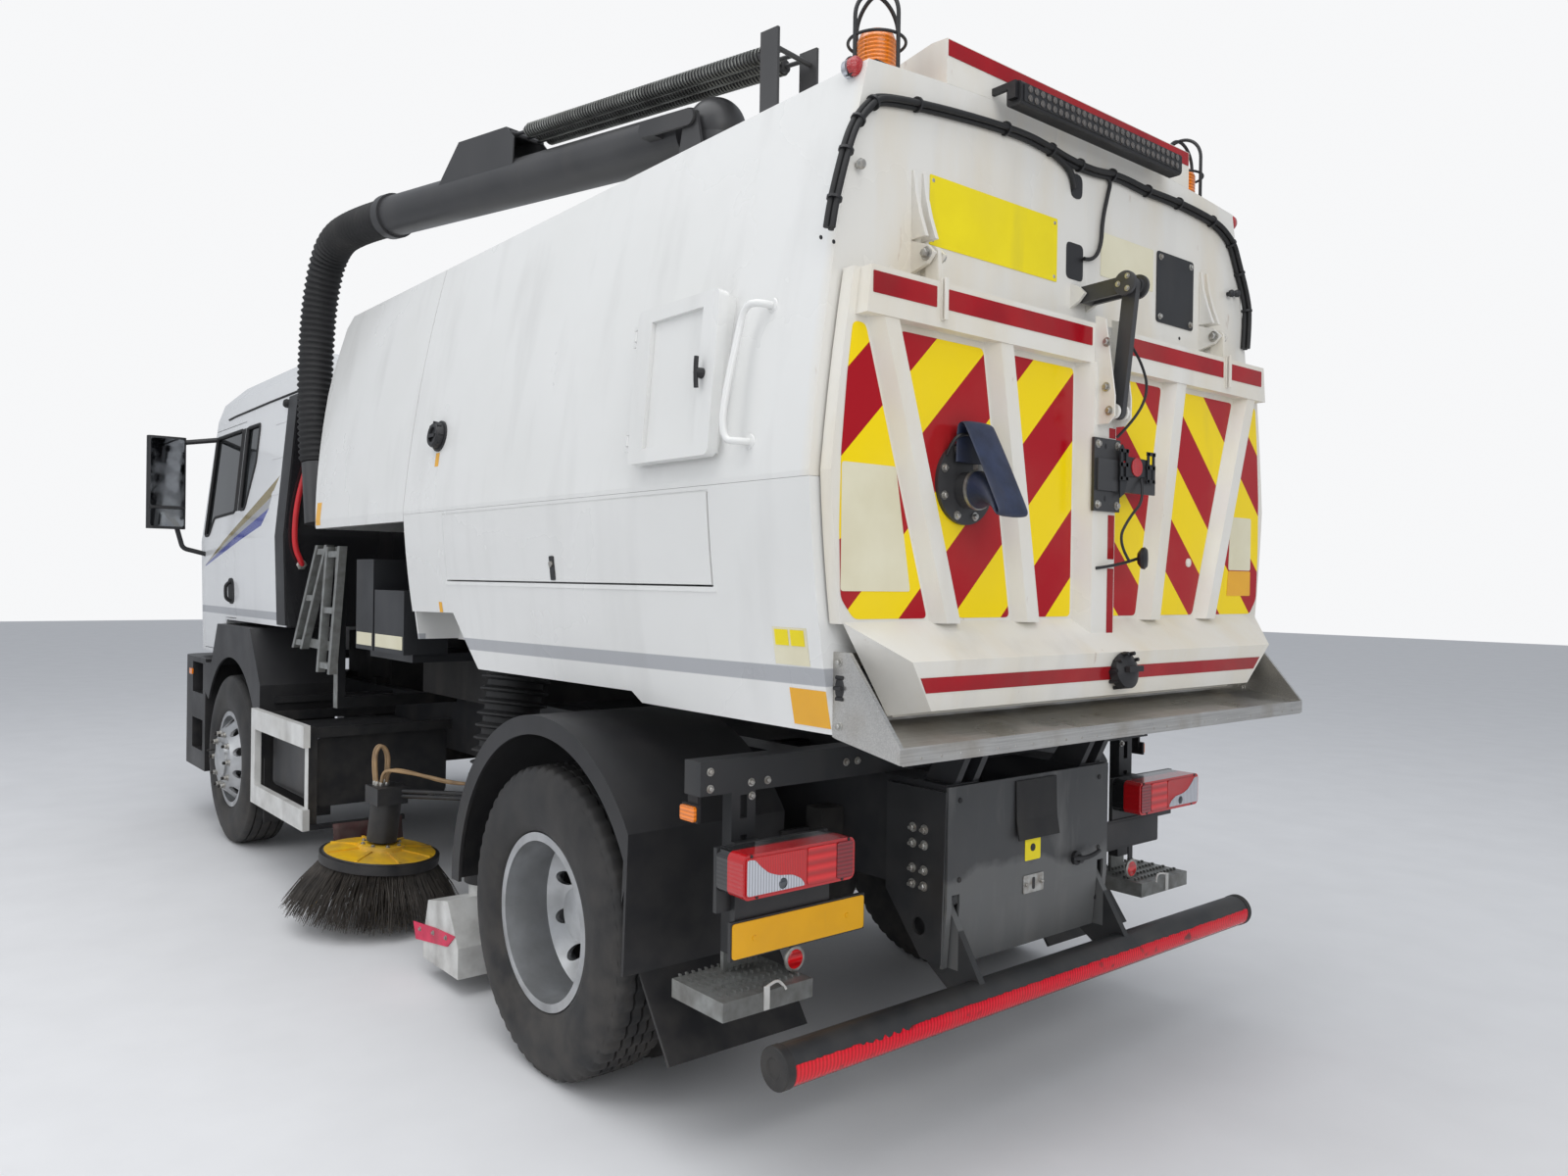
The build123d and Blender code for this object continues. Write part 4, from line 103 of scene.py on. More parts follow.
SKY = (0.86, 0.9, 0.96, 1)
PALE = (0.93, 0.935, 0.945, 1)
world = bpy.data.worlds.new("overcast")
world.use_nodes = True
scene.world = world
tree = world.node_tree
tree.nodes.clear()
rays = add_node(tree, "LightPath")
seen = add_node(tree, "Math", {0: rays.outputs["Is Camera Ray"], 1: rays.outputs["Is Transmission Ray"]},
                operation="MAXIMUM")
lit = add_node(tree, "Background", {"Color": SKY, "Strength": 0.56})
plain = add_node(tree, "Background", {"Color": PALE, "Strength": 1.0})
either = add_node(tree, "MixShader", {0: seen.outputs[0], 1: lit.outputs[0], 2: plain.outputs[0]})
add_node(tree, "OutputWorld", {"Surface": either.outputs[0]})


def soft_lamp(name, place, aim, size, power):
    """A large square lamp that looks at a point."""
    data = bpy.data.lights.new(name, "AREA")
    data.size, data.energy = size, power
    lamp = bpy.data.objects.new(name, data)
    lamp.location = place
    lamp.rotation_euler = (Vector(aim) - Vector(place)).to_track_quat("-Z", "Y").to_euler()
    scene.collection.objects.link(lamp)


soft_lamp("sky_overhead", (-2.0, 2.5, 9.0), (0, 0, 1.0), 9.0, 450)
soft_lamp("sky_behind", (-11.0, 3.5, 5.0), (-2.5, 0, 1.6), 6.0, 240)
soft_lamp("sky_left", (0.5, 10.0, 5.0), (0, 0, 1.5), 6.0, 130)

# %% [markdown]
# The truck stands on a plain pale floor that only takes its shadow.
# One large square does; a faint noise in its brightness keeps it from looking like paper.

# %% Floor
FLOOR_HALF = 40.0
floor_corners = [(x * FLOOR_HALF, y * FLOOR_HALF, 0) for x, y in ((-1, -1), (1, -1), (1, 1), (-1, 1))]
floor_mesh = bpy.data.meshes.new("studio_floor")
floor_mesh.from_pydata(floor_corners, [], [(0, 1, 2, 3)])
studio_floor = bpy.data.objects.new("studio_floor", floor_mesh)
scene.collection.objects.link(studio_floor)
floor_finish = bpy.data.materials.new("pale_floor")
floor_finish.use_nodes = True
tree = floor_finish.node_tree
place = add_node(tree, "TexCoord")
speckle = add_node(tree, "TexNoise", {"Vector": place.outputs["Object"], "Scale": 3.0, "Detail": 8.0})
tone = add_node(tree, "Mix", {0: speckle.outputs["Fac"], 6: (0.74, 0.74, 0.75, 1), 7: (0.82, 0.82, 0.83, 1)},
                data_type="RGBA")
tree.links.new(tone.outputs[2], tree.nodes["Principled BSDF"].inputs["Base Color"])
tree.nodes["Principled BSDF"].inputs["Roughness"].default_value = 0.85
floor_mesh.materials.append(floor_finish)
print("floor", 2 * FLOOR_HALF, "m square")

# %% [markdown]
# Every finish here is made from a few ingredients: a colour that wanders a little, grime that gathers
# in patches, road dust that thickens towards the ground, and a fine relief.
# One function mixes them, so that white paint, rubber and cast iron differ only in their numbers.
# The pattern is laid by the truck's own coordinates, so it doesn't slide when the view changes.

# %% Finishes: the shared recipe
def calc(tree, operation, first, second=0.0, clamp=False):
    """One sum in a shader, with its result kept within 0 to 1 if asked."""
    return add_node(tree, "Math", {0: first, 1: second}, operation=operation, use_clamp=clamp).outputs[0]


def fade(tree, value, start, end, low=0.0, high=1.0):
    """A value read off between two marks, and held level outside them."""
    made = add_node(tree, "MapRange", {"Value": value, "From Min": start, "From Max": end,
                                                 "To Min": low, "To Max": high})
    return made.outputs["Result"]


def blend(tree, share, first, second):
    """Two colours mixed by a share."""
    return add_node(tree, "Mix", {0: share, 6: first, 7: second}, data_type="RGBA").outputs[2]


def cloud(tree, where, size, detail=5.0, stretch=None):
    """Soft noise whose patches are about so many metres across."""
    if stretch:
        where = add_node(tree, "Mapping", {"Vector": where, "Scale": stretch}).outputs[0]
    return add_node(tree, "TexNoise", {"Vector": where, "Scale": 1 / size, "Detail": detail}).outputs["Fac"]


def split(tree, where):
    """The three coordinates of a place: along, across and up."""
    return tuple(add_node(tree, "SeparateXYZ", {0: where}).outputs)


def feed(surface, socket, value):
    """Joins a value to a socket of a finish's shader."""
    surface.id_data.links.new(value, surface.inputs[socket])


def emboss(surface, height, strength, distance):
    """Relief that follows a pattern."""
    bump = add_node(surface.id_data, "Bump", {"Height": height, "Strength": strength, "Distance": distance})
    feed(surface, "Normal", bump.outputs[0])


def start_finish(name, roughness, metallic=0.0, **shader):
    """A new material; returns it with its tree, its shader and the truck's coordinates."""
    made = bpy.data.materials.new(name)
    made.use_nodes = True
    tree = made.node_tree
    surface = tree.nodes["Principled BSDF"]
    surface.inputs["Roughness"].default_value = roughness
    surface.inputs["Metallic"].default_value = metallic
    for socket, value in shader.items():
        surface.inputs[socket.replace("_", " ")].default_value = value
    where = add_node(tree, "TexCoord").outputs["Object"]
    return made, tree, surface, where


print("shader helpers ready")

# %% [markdown]
# Wear comes in layers, as on a real truck: first the paint and its slow change of tone, then streaks of grime
# that run down, then dust thrown up from the road, which also dulls the shine.

# %% Finishes: worn paint, rubber and iron
DUST = (0.135, 0.12, 0.104, 1)
RUST = (0.3, 0.13, 0.045, 1)
SPLASH_TOP, SPLASH_FULL = 1.25, 0.15


def worn(name, colour, roughness, metallic=0.0, second=None, patch=0.35, grime=0.25, dust=0.5, grain=0.0015,
         relief=0.12, paint_over=None, **shader):
    """A weathered finish: wandering colour, grime in patches, dust near the road and a fine relief."""
    made, tree, surface, where = start_finish(name, roughness, metallic, **shader)
    second = second or tuple(c * 0.82 for c in colour)
    patches = cloud(tree, where, patch)
    tone = blend(tree, fade(tree, patches, 0.35, 0.7), (*colour, 1), (*second, 1))
    if paint_over:
        tone = paint_over(tree, where, tone)
    streaks = cloud(tree, where, 0.16, 7.0, (1.0, 1.0, 0.16))
    dirt = calc(tree, "MULTIPLY", fade(tree, streaks, 0.52, 0.78), grime, clamp=True)
    tone = blend(tree, dirt, tone, DUST)
    low = fade(tree, split(tree, where)[2], SPLASH_TOP, SPLASH_FULL)
    thrown = calc(tree, "MULTIPLY", low, fade(tree, cloud(tree, where, 0.09, 8.0), 0.35, 0.65))
    splash = calc(tree, "MULTIPLY", thrown, dust, clamp=True)
    feed(surface, "Base Color", blend(tree, splash, tone, DUST))
    rough = fade(tree, patches, 0.3, 0.75, max(0.02, roughness - 0.06), min(1.0, roughness + 0.12))
    feed(surface, "Roughness", calc(tree, "ADD", rough, calc(tree, "MULTIPLY", splash, 0.3), clamp=True))
    emboss(surface, cloud(tree, where, grain, 3.0), relief, grain * 0.5)
    return made


black_plastic = worn("black_plastic", (0.014, 0.014, 0.016), 0.45, grime=0.08, dust=0.18, grain=0.002, relief=0.25)
dark_paint = worn("dark_frame_paint", (0.016, 0.017, 0.02), 0.42, grime=0.12, dust=0.25, relief=0.1)
boom_paint = worn("boom_satin_black", (0.035, 0.035, 0.037), 0.38, second=(0.05, 0.05, 0.052), grime=0.12, relief=0.15)
rubber = worn("rubber", (0.014, 0.014, 0.015), 0.62, grime=0.1, dust=0.28, grain=0.003, relief=0.35)
cast_iron = worn("cast_iron", (0.022, 0.021, 0.021), 0.62, 0.4, grime=0.25, dust=0.45, grain=0.004, relief=0.5)
silver = worn("wheel_silver", (0.56, 0.57, 0.58), 0.34, 0.85, second=(0.44, 0.45, 0.46), patch=0.12, grime=0.3,
              dust=0.3)
zinc = worn("zinc_bolts", (0.55, 0.55, 0.53), 0.4, 0.9, second=(0.36, 0.33, 0.29), patch=0.02, grime=0.3, dust=0.3)
yellow_paint = worn("brush_yellow", (0.93, 0.56, 0.01), 0.42, second=(0.8, 0.42, 0.01), patch=0.08, grime=0.5,
                    dust=0.35)
seat_cloth = worn("seat_cloth", (0.045, 0.05, 0.06), 0.9, grime=0.05, dust=0.0, grain=0.002, relief=0.6,
                  Sheen_Weight=0.3)
print("finishes", len(bpy.data.materials))

# %% [markdown]
# White paint is the truck's main finish. The cab and the body carry printed bands. An image could hold them,
# but it would need unwrapped sides, so a function paints them over the white by place before the grime goes
# on: a pale grey band along the side, and on the cab a fan of gold, grey and blue that runs from one point
# ahead of the door to three open ends behind it. Black covers the cab's rear wall and the grille's hollow.

# %% Finishes: white paint with printed bands
FAN_START, FAN_BLUNT = (3.1, 1.762), 0.004
FAN = [
    # far end of the upper edge, far end of the lower edge (x, z), colour
    ((1.442, 2.285), (1.57, 2.175), (0.26, 0.2, 0.07, 1)),
    ((1.562, 2.168), (1.6, 2.108), (0.36, 0.36, 0.37, 1)),
    ((1.598, 2.1), (1.72, 2.008), (0.035, 0.05, 0.32, 1)),
]
BAND_GREY = (0.4, 0.41, 0.43, 1)
BAND_SLOPE, BAND_AT_ORIGIN, BAND_HALF, BODY_SIDE = -0.0113, 1.4187, 0.024, 1.04


def over(tree, value, mark):
    """1 where a value is over a mark."""
    return calc(tree, "GREATER_THAN", value, mark)


def under(tree, value, mark):
    """1 where a value is under a mark."""
    return calc(tree, "LESS_THAN", value, mark)


def both(tree, first, *others):
    """1 where every mask is 1."""
    for other in others:
        first = calc(tree, "MULTIPLY", first, other)
    return first


def inside(tree, value, low, high, soft=0.0015):
    """1 where a value lies between two marks."""
    return both(tree, fade(tree, value, low - soft, low + soft), fade(tree, value, high + soft, high - soft))


def side_band(tree, where, tone):
    """The grey band low on the body's sides, which drops a little towards the front."""
    x, y, z = split(tree, where)
    middle = calc(tree, "ADD", calc(tree, "MULTIPLY", x, BAND_SLOPE), BAND_AT_ORIGIN)
    off = calc(tree, "SUBTRACT", z, middle)
    wide = over(tree, calc(tree, "ABSOLUTE", y), BODY_SIDE)
    return blend(tree, both(tree, inside(tree, off, -BAND_HALF, BAND_HALF), wide), tone, BAND_GREY)


print("band falls", round(1000 * BAND_SLOPE, 1), "mm a metre")

# %% [markdown]
# A wedge of the cab's fan is all that lies between two straight lines from its start and behind the line
# that joins their far ends. Comparing a place with those three lines masks it, with edges sharp at any distance.

# %% Finishes: the cab's print
CAB_SIDE, CAB_REAR, CAB_EAVES, CAB_NOSE = 1.02, 1.235, 2.775, 3.3
CAB_BAND_Z = (1.438, 1.486)
GRILLE_Z, GRILLE_HALF = (1.266, 1.816), 0.79
CAB_BLACK = (0.018, 0.018, 0.02, 1)


def cab_print(tree, where, tone):
    """The fan and the grey band on the cab's sides, and the black of its rear wall and of the grille's hollow."""
    x, y, z = split(tree, where)
    off_middle = calc(tree, "ABSOLUTE", y)
    wide = over(tree, off_middle, CAB_SIDE)
    past_start = under(tree, x, FAN_START[0])
    share = calc(tree, "SUBTRACT", FAN_START[0], x)
    for (x1, z1), (x2, z2), colour in FAN:
        rise_top = (z1 - FAN_START[1]) / (FAN_START[0] - x1)
        rise_low = (z2 - FAN_START[1]) / (FAN_START[0] - x2)
        top = calc(tree, "ADD", calc(tree, "MULTIPLY", share, rise_top), FAN_START[1] + FAN_BLUNT)
        low = calc(tree, "ADD", calc(tree, "MULTIPLY", share, rise_low), FAN_START[1] - FAN_BLUNT)
        # the open end is the straight line between the two far ends
        lean = (x2 - x1) / (z2 - z1)
        end = calc(tree, "ADD", calc(tree, "MULTIPLY", calc(tree, "SUBTRACT", z, z1), lean), x1)
        mask = both(tree, under(tree, z, top), over(tree, z, low),
                    over(tree, x, end), past_start, wide)
        tone = blend(tree, mask, tone, colour)
    tone = blend(tree, both(tree, inside(tree, z, *CAB_BAND_Z), wide), tone, BAND_GREY)
    rear_wall = both(tree, under(tree, x, CAB_REAR), under(tree, z, CAB_EAVES))
    behind_grille = both(tree, over(tree, x, CAB_NOSE), inside(tree, z, *GRILLE_Z),
                         under(tree, off_middle, GRILLE_HALF))
    return blend(tree, calc(tree, "MAXIMUM", rear_wall, behind_grille), tone, CAB_BLACK)


print("wedges in the fan", len(FAN))

# %% [markdown]
# Four whites differ a little: the cab is glossy and clean, the body duller, and the tank and the tailgate
# carry cream water stains with a trace of rust, which a stretched noise draws as runs.

# %% Finishes: four whites
WHITE = (0.8, 0.8, 0.785)
white_body = worn("body_white", WHITE, 0.26, second=(0.75, 0.75, 0.73), patch=0.8, grime=0.1, dust=0.18, relief=0.05,
                  paint_over=side_band, Coat_Weight=0.35, Coat_Roughness=0.12)
white_cab = worn("cab_white", (0.8, 0.805, 0.81), 0.22, second=(0.76, 0.765, 0.77), patch=0.8, grime=0.06, dust=0.15,
                 relief=0.04, paint_over=cab_print, Coat_Weight=0.5, Coat_Roughness=0.08)


def rust_runs(tree, where, tone):
    """Cream water stains, with a trace of rust where water leaves an edge."""
    stain = fade(tree, cloud(tree, where, 0.22, 6.0, (1.0, 1.0, 0.3)), 0.48, 0.72, 0.0, 0.5)
    tone = blend(tree, stain, tone, (0.72, 0.62, 0.45, 1))
    spot = fade(tree, cloud(tree, where, 0.05, 9.0, (1.0, 1.0, 0.35)), 0.7, 0.8, 0.0, 0.6)
    return blend(tree, spot, tone, RUST)


white_gate = worn("tailgate_white", (0.79, 0.77, 0.72), 0.33, second=(0.76, 0.72, 0.63), patch=0.4, grime=0.16,
                  dust=0.2, relief=0.08, paint_over=rust_runs, Coat_Weight=0.2, Coat_Roughness=0.2)


def rear_stain(tree, where, tone):
    """The tank's rear wall is stained as the tailgate is; its sides keep the clean white."""
    along = split(tree, where)[0]
    return blend(tree, fade(tree, along, -3.3, -3.335), tone, rust_runs(tree, where, (0.77, 0.75, 0.7, 1)))


white_tank = worn("tank_white", WHITE, 0.27, second=(0.75, 0.75, 0.73), patch=0.8, grime=0.12, dust=0.1, relief=0.05,
                  paint_over=rear_stain, Coat_Weight=0.3, Coat_Roughness=0.12)
print("whites", [f.name for f in (white_body, white_cab, white_gate, white_tank)])

# %% [markdown]
# Stainless steel is brushed along one direction, so its noise is stretched fiftyfold. Window glass is dark and
# smooth; the lamps are tinted plastic over a pressed pattern, and a wave texture presses it, because its ribs
# stay straight and evenly spaced.

# %% Finishes: metal sheet, glass and lenses
def brushed_steel(name):
    """Stainless sheet with long scratches and faint stains."""
    made, tree, surface, where = start_finish(name, 0.3, 1.0)
    lines = cloud(tree, where, 0.004, 4.0, (1.0, 0.02, 1.0))
    stain = cloud(tree, where, 0.18, 6.0)
    tone = blend(tree, fade(tree, lines, 0.35, 0.65), (0.5, 0.49, 0.47, 1), (0.62, 0.61, 0.585, 1))
    stained = fade(tree, stain, 0.5, 0.75, 0.0, 0.7)
    feed(surface, "Base Color", blend(tree, stained, tone, (0.33, 0.29, 0.24, 1)))
    feed(surface, "Roughness", fade(tree, stain, 0.35, 0.7, 0.26, 0.5))
    emboss(surface, lines, 0.15, 0.001)
    return made


def dark_glass(name, tint, clear=0.25):
    """Window glass: partly clear, with a trace of dirt that dulls its reflections."""
    made, tree, surface, where = start_finish(name, 0.04, Transmission_Weight=clear, IOR=1.42)
    haze = fade(tree, cloud(tree, where, 0.3), 0.45, 0.75)
    dusty = tuple(c * 1.5 + 0.01 for c in tint)
    feed(surface, "Base Color", blend(tree, haze, (*tint, 1), (*dusty, 1)))
    feed(surface, "Roughness", fade(tree, haze, 0.0, 1.0, 0.03, 0.12))
    return made


WAVE_SCALE = 0.314  # of a wave texture whose ribs stand one metre apart


def ribbing(tree, where, pitch, axis="Z", bend=0.0):
    """Pressed ribs at a pitch, stacked along an axis."""
    return add_node(tree, "TexWave", {"Vector": where, "Scale": WAVE_SCALE / pitch, "Distortion": bend},
                    bands_direction=axis).outputs["Fac"]


def lens(name, colour, pitch, axis="Z", glow=0.0):
    """Moulded lamp plastic with pressed ribs at a pitch."""
    made, tree, surface, where = start_finish(name, 0.12, Coat_Weight=0.6, Coat_Roughness=0.05)
    ribs = ribbing(tree, where, pitch, axis)
    deep = tuple(c * 0.55 for c in colour)
    feed(surface, "Base Color", blend(tree, ribs, (*deep, 1), (*colour, 1)))
    emboss(surface, ribs, 0.5, 0.002)
    if glow:
        surface.inputs["Emission Color"].default_value = (*colour, 1)
        surface.inputs["Emission Strength"].default_value = glow
    return made


stainless = brushed_steel("brushed_stainless")
cab_window = dark_glass("cab_window_glass", (0.01, 0.012, 0.013))
amber_lens = lens("amber_lens", (0.95, 0.24, 0.01), 0.012, glow=0.12)
red_lens = lens("red_lens", (0.62, 0.01, 0.015), 0.008, "Y")
pale_lens = lens("pale_lens", (0.62, 0.64, 0.7), 0.01, "Y")
print("special finishes", stainless.name, cab_window.name, amber_lens.name)

# %% [markdown]
# Two solids hold more than one finish. The rear carrier is one welded black frame, but its apron is a grey plate
# that a hose has washed paler below; and the lamps are black boxes with a red face behind and a clear one in
# front. Each is painted by place.

# %% Finishes: by place
def washed_apron(tree, where, tone):
    """Grey on the apron's plate, paler under a wandering water line."""
    x, y, z = split(tree, where)
    line = calc(tree, "ADD", z, fade(tree, cloud(tree, where, 0.3), 0.3, 0.7, -0.05, 0.05))
    shade = blend(tree, fade(tree, line, 0.8, 0.775), (0.045, 0.047, 0.05, 1), (0.115, 0.118, 0.118, 1))
    streak = fade(tree, cloud(tree, where, 0.09, 7.0, (1.0, 1.0, 0.25)), 0.5, 0.75, 0.0, 0.6)
    shade = blend(tree, streak, shade, (0.17, 0.17, 0.165, 1))
    plate = both(tree, inside(tree, x, -3.215, -3.162), over(tree, z, 0.505),
                 under(tree, calc(tree, "ABSOLUTE", y), 0.43))
    return blend(tree, plate, tone, shade)


carrier_paint = worn("carrier_paint", (0.017, 0.018, 0.02), 0.42, second=(0.03, 0.031, 0.033), grime=0.15, dust=0.18,
                     paint_over=washed_apron)
lamp_body, tree, surface, where = start_finish("lamp_bodies", 0.15, Coat_Weight=0.5, Coat_Roughness=0.05)
along = split(tree, where)[0]
rear_face = fade(tree, along, -3.046, -3.044)
red_behind = blend(tree, rear_face, (0.5, 0.008, 0.012, 1), (0.015, 0.015, 0.016, 1))
clear_ahead = blend(tree, over(tree, along, 0.0), red_behind, (0.6, 0.63, 0.66, 1))
feed(surface, "Base Color", clear_ahead)
emboss(surface, ribbing(tree, where, 0.012), 0.3, 0.002)
RAIL_WHITE = (0.74, 0.74, 0.72)
RAIL_WEAR = {"second": (0.62, 0.61, 0.58), "patch": 0.25, "grime": 0.35, "dust": 0.35}
side_white = worn("rail_white", RAIL_WHITE, 0.34, **RAIL_WEAR)


def dark_inside(limit):
    """Dark on the parts nearer the truck's middle than a given distance, in front of its middle."""
    def paint(tree, where, tone):
        x, y, _ = split(tree, where)
        inner = under(tree, calc(tree, "ABSOLUTE", y), limit)
        ahead = over(tree, x, 0.0)
        return blend(tree, both(tree, inner, ahead), tone, (0.017, 0.018, 0.02, 1))
    return paint


guard_rails = worn("guard_rails", RAIL_WHITE, 0.34, paint_over=dark_inside(1.204), **RAIL_WEAR)
ladder_metal = worn("ladder_metal", (0.33, 0.34, 0.33), 0.46, 0.7, second=(0.22, 0.22, 0.21), patch=0.05, grime=0.45,
                    dust=0.4, relief=0.3, paint_over=dark_inside(1.0595))
print("finishes by place", carrier_paint.name, lamp_body.name)

# %% [markdown]
# The mirror is a silvered plate. A perfect reflector would look like a hole in the truck, so its colour
# clouds over a little and its roughness follows a film of dirt.

# %% Finishes: mirror
mirror_glass, tree, surface, where = start_finish("mirror_glass", 0.03, 1.0)
cloudy = fade(tree, cloud(tree, where, 0.4), 0.3, 0.7)
feed(surface, "Base Color", blend(tree, cloudy, (0.16, 0.17, 0.18, 1), (0.1, 0.105, 0.115, 1)))
feed(surface, "Roughness", fade(tree, cloud(tree, where, 0.12, 7.0), 0.45, 0.7, 0.03, 0.2))
print("mirror roughness follows its dirt")

# %% [markdown]
# The solids of the model keep their shapes and only change their finish.
# A table says which finish each one wears. The finish is set on the object's own slots, so the mesh
# and its data stay as packed.

# %% Dress the model's solids
DRESS = {
    white_cab: ["cab_shell", "door_left", "door_right"],
    white_body: ["side_panels", "locker_door_left", "locker_door_right"],
    white_tank: ["hopper_tank", "hopper_cowl", "hatch_door"],
    white_gate: ["tailgate", "roof_fittings"],
    stainless: ["chute"],
    boom_paint: ["boom_turret", "boom_pipe", "gate_crank", "gate_link", "gate_fittings", "hose_nozzle"],
    dark_paint: ["chassis_frame", "side_boxes", "sweep_frame", "brush_arm_left", "brush_arm_right"],
    carrier_paint: ["rear_carrier"],
    guard_rails: ["side_guards"],
    ladder_metal: ["steps"],
    side_white: ["nozzle_left", "nozzle_right"],
    cast_iron: ["front_axle", "rear_axle", "engine_blocks", "knuckle_left", "knuckle_right"],
    black_plastic: ["wings", "mirror_left", "mirror_right", "front_bumper", "cab_trim", "beacon_cages"],
    silver: ["rim_front_left", "rim_front_right", "rims_rear_left", "rims_rear_right"],
    rubber: ["suction_ducts", "nozzle_wheel_left", "nozzle_wheel_right"],
    seat_cloth: ["cab_interior"],
    cab_window: ["cab_glass", "door_glass_left", "door_glass_right"],
    amber_lens: ["beacon_lamps"],
    yellow_paint: ["brush_left", "brush_right"],
    lamp_body: ["lamps"],
}


def wear(node, finish):
    """Puts a finish on all slots of a solid."""
    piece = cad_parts[node]
    if not piece.material_slots:
        piece.data.materials.append(finish)
    for holder in piece.material_slots:
        holder.link = "OBJECT"
        holder.material = finish


for finish, nodes in DRESS.items():
    for node in nodes:
        wear(node, finish)
print("dressed", sum(len(nodes) for nodes in DRESS.values()), "of", len(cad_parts), "solids")

# %% [markdown]
# Everything added from here on is mesh made in code. A piece is built in one bmesh, in the truck's own
# coordinates, then rides on the body that carries it. These helpers add plates, boxes, turned rings, round bars,
# bolts and tubes. Curve objects and arrays could make some of them, but one bmesh a piece leaves one plain mesh
# to carry about.

# %% Mesh helpers
made_pieces = []


def finish_piece(name, bm, body, finishes, smooth=40, bevel=0.0, stands_for=()):
    """Turns a bmesh into a piece of the truck."""
    bmesh.ops.recalc_face_normals(bm, faces=bm.faces)
    mesh = bpy.data.meshes.new(name)
    bm.to_mesh(mesh)
    bm.free()
    piece = bpy.data.objects.new(name, mesh)
    scene.collection.objects.link(piece)
    for finish in finishes if isinstance(finishes, (list, tuple)) else [finishes]:
        mesh.materials.append(finish)
    if bevel:
        edge = piece.modifiers.new("edge", "BEVEL")
        edge.width, edge.segments, edge.limit_method = bevel, 2, "ANGLE"
        edge.angle_limit = radians(35)
    if smooth:
        mesh.polygons.foreach_set("use_smooth", [True] * len(mesh.polygons))
        mesh.set_sharp_from_angle(angle=radians(smooth))
    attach(piece, body)
    if stands_for:
        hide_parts(*stands_for)
    made_pieces.append(piece)
    return piece


def last(count):
    """The names of the pieces made last."""
    return [p.name for p in made_pieces[-count:]]


print("pieces so far", len(last(1)))

# %% [markdown]
# Flat and turned shapes come first. A plate is its outline drawn twice and joined; a turned ring is a profile
# walked round an axis, which also gives bars, nuts and bolts, with six steps round for a hexagon.

# %% Mesh helpers: plates, turned shapes and bolts
def add_plate(bm, corners, thick, index=0):
    """A flat plate: its corners, and the way and distance that it is thick."""
    thick = Vector(thick)
    front = [bm.verts.new(Vector(c)) for c in corners]
    back = [bm.verts.new(Vector(c) + thick) for c in corners]
    faces = [bm.faces.new(front), bm.faces.new(back[::-1])]
    for i, j in zip(range(len(front)), list(range(1, len(front))) + [0]):
        faces.append(bm.faces.new((front[i], back[i], back[j], front[j])))
    for face in faces:
        face.material_index = index


def rect(a0, a1, b0, b1):
    """The four corners of a rectangle."""
    return [(a0, b0), (a1, b0), (a1, b1), (a0, b1)]


def add_box(bm, low, high, index=0):
    """A box between two corners."""
    (x0, y0, z0), (x1, y1, z1) = low, high
    add_plate(bm, [(x, y, z0) for x, y in rect(x0, x1, y0, y1)], (0, 0, z1 - z0), index)


def turns(count):
    """The angles of equal steps round a circle."""
    return [2 * pi * k / count for k in range(count)]


def side_axes(way):
    """Two directions square to a way and to each other."""
    way = way.normalized()
    first = way.cross(Vector((0, 0, 1)) if abs(way.z) < 0.9 else Vector((1, 0, 0))).normalized()
    return first, way.cross(first)


def add_turned(bm, start, way, rows, around=24, index=0):
    """A turned solid: rows of (distance along the way, radius) from a start point."""
    start, way = Vector(start), Vector(way).normalized()
    first, second = side_axes(way)
    rings = []
    for along, radius in rows:
        middle = start + way * along
        if radius <= 0:
            rings.append([bm.verts.new(middle)])
        else:
            rings.append([bm.verts.new(middle + (first * cos(a) + second * sin(a)) * radius) for a in turns(around)])
    for low, high in zip(rings, rings[1:]):
        for k in range(around):
            n = (k + 1) % around
            corners = [low[k % len(low)], low[n % len(low)], high[n % len(high)], high[k % len(high)]]
            corners = list(dict.fromkeys(corners))
            if len(corners) > 2:
                bm.faces.new(corners).material_index = index


def add_bar(bm, start, end, radius, around=12, index=0):
    """A round bar with flat ends."""
    start, end = Vector(start), Vector(end)
    length = (end - start).length
    add_turned(bm, start, end - start, [(0, 0), (0, radius), (length, radius), (length, 0)], around, index)


def add_bolt(bm, at, way, size=0.009, index=0):
    """A washer with a six-sided head."""
    at, way = Vector(at), Vector(way).normalized()
    washer, sunk = size * 0.25, -0.001
    add_turned(bm, at, way, [(sunk, 0), (sunk, size * 1.5), (washer, size * 1.5), (washer, 0)], 16, index)
    head = [(0, 0), (0, size), (size * 0.8, size), (size, size * 0.8), (size, 0)]
    add_turned(bm, at + way * size * 0.25, way, head, 6, index)


print("a bolt's head has", len(turns(6)), "sides")

# %% [markdown]
# Cables, hoses and handles follow lines. A curve object smooths the few points that were measured; its points
# are then read back and a ring is set square to the line at each, so the radius may change on the way.

# %% Mesh helpers: lines and tubes
def smooth_line(points, steps=8):
    """Points of a smooth line that passes near the given ones."""
    data = bpy.data.curves.new("line", "CURVE")
    data.dimensions = "3D"
    spline = data.splines.new("NURBS")
    spline.points.add(len(points) - 1)
    for point, place in zip(spline.points, points):
        point.co = (*place, 1)
    spline.order_u, spline.use_endpoint_u = 3, True
    spline.resolution_u = steps
    holder = bpy.data.objects.new("line", data)
    mesh = bpy.data.meshes.new_from_object(holder)
    line = [v.co.copy() for v in mesh.vertices]
    bpy.data.objects.remove(holder)
    bpy.data.meshes.remove(mesh)
    return line


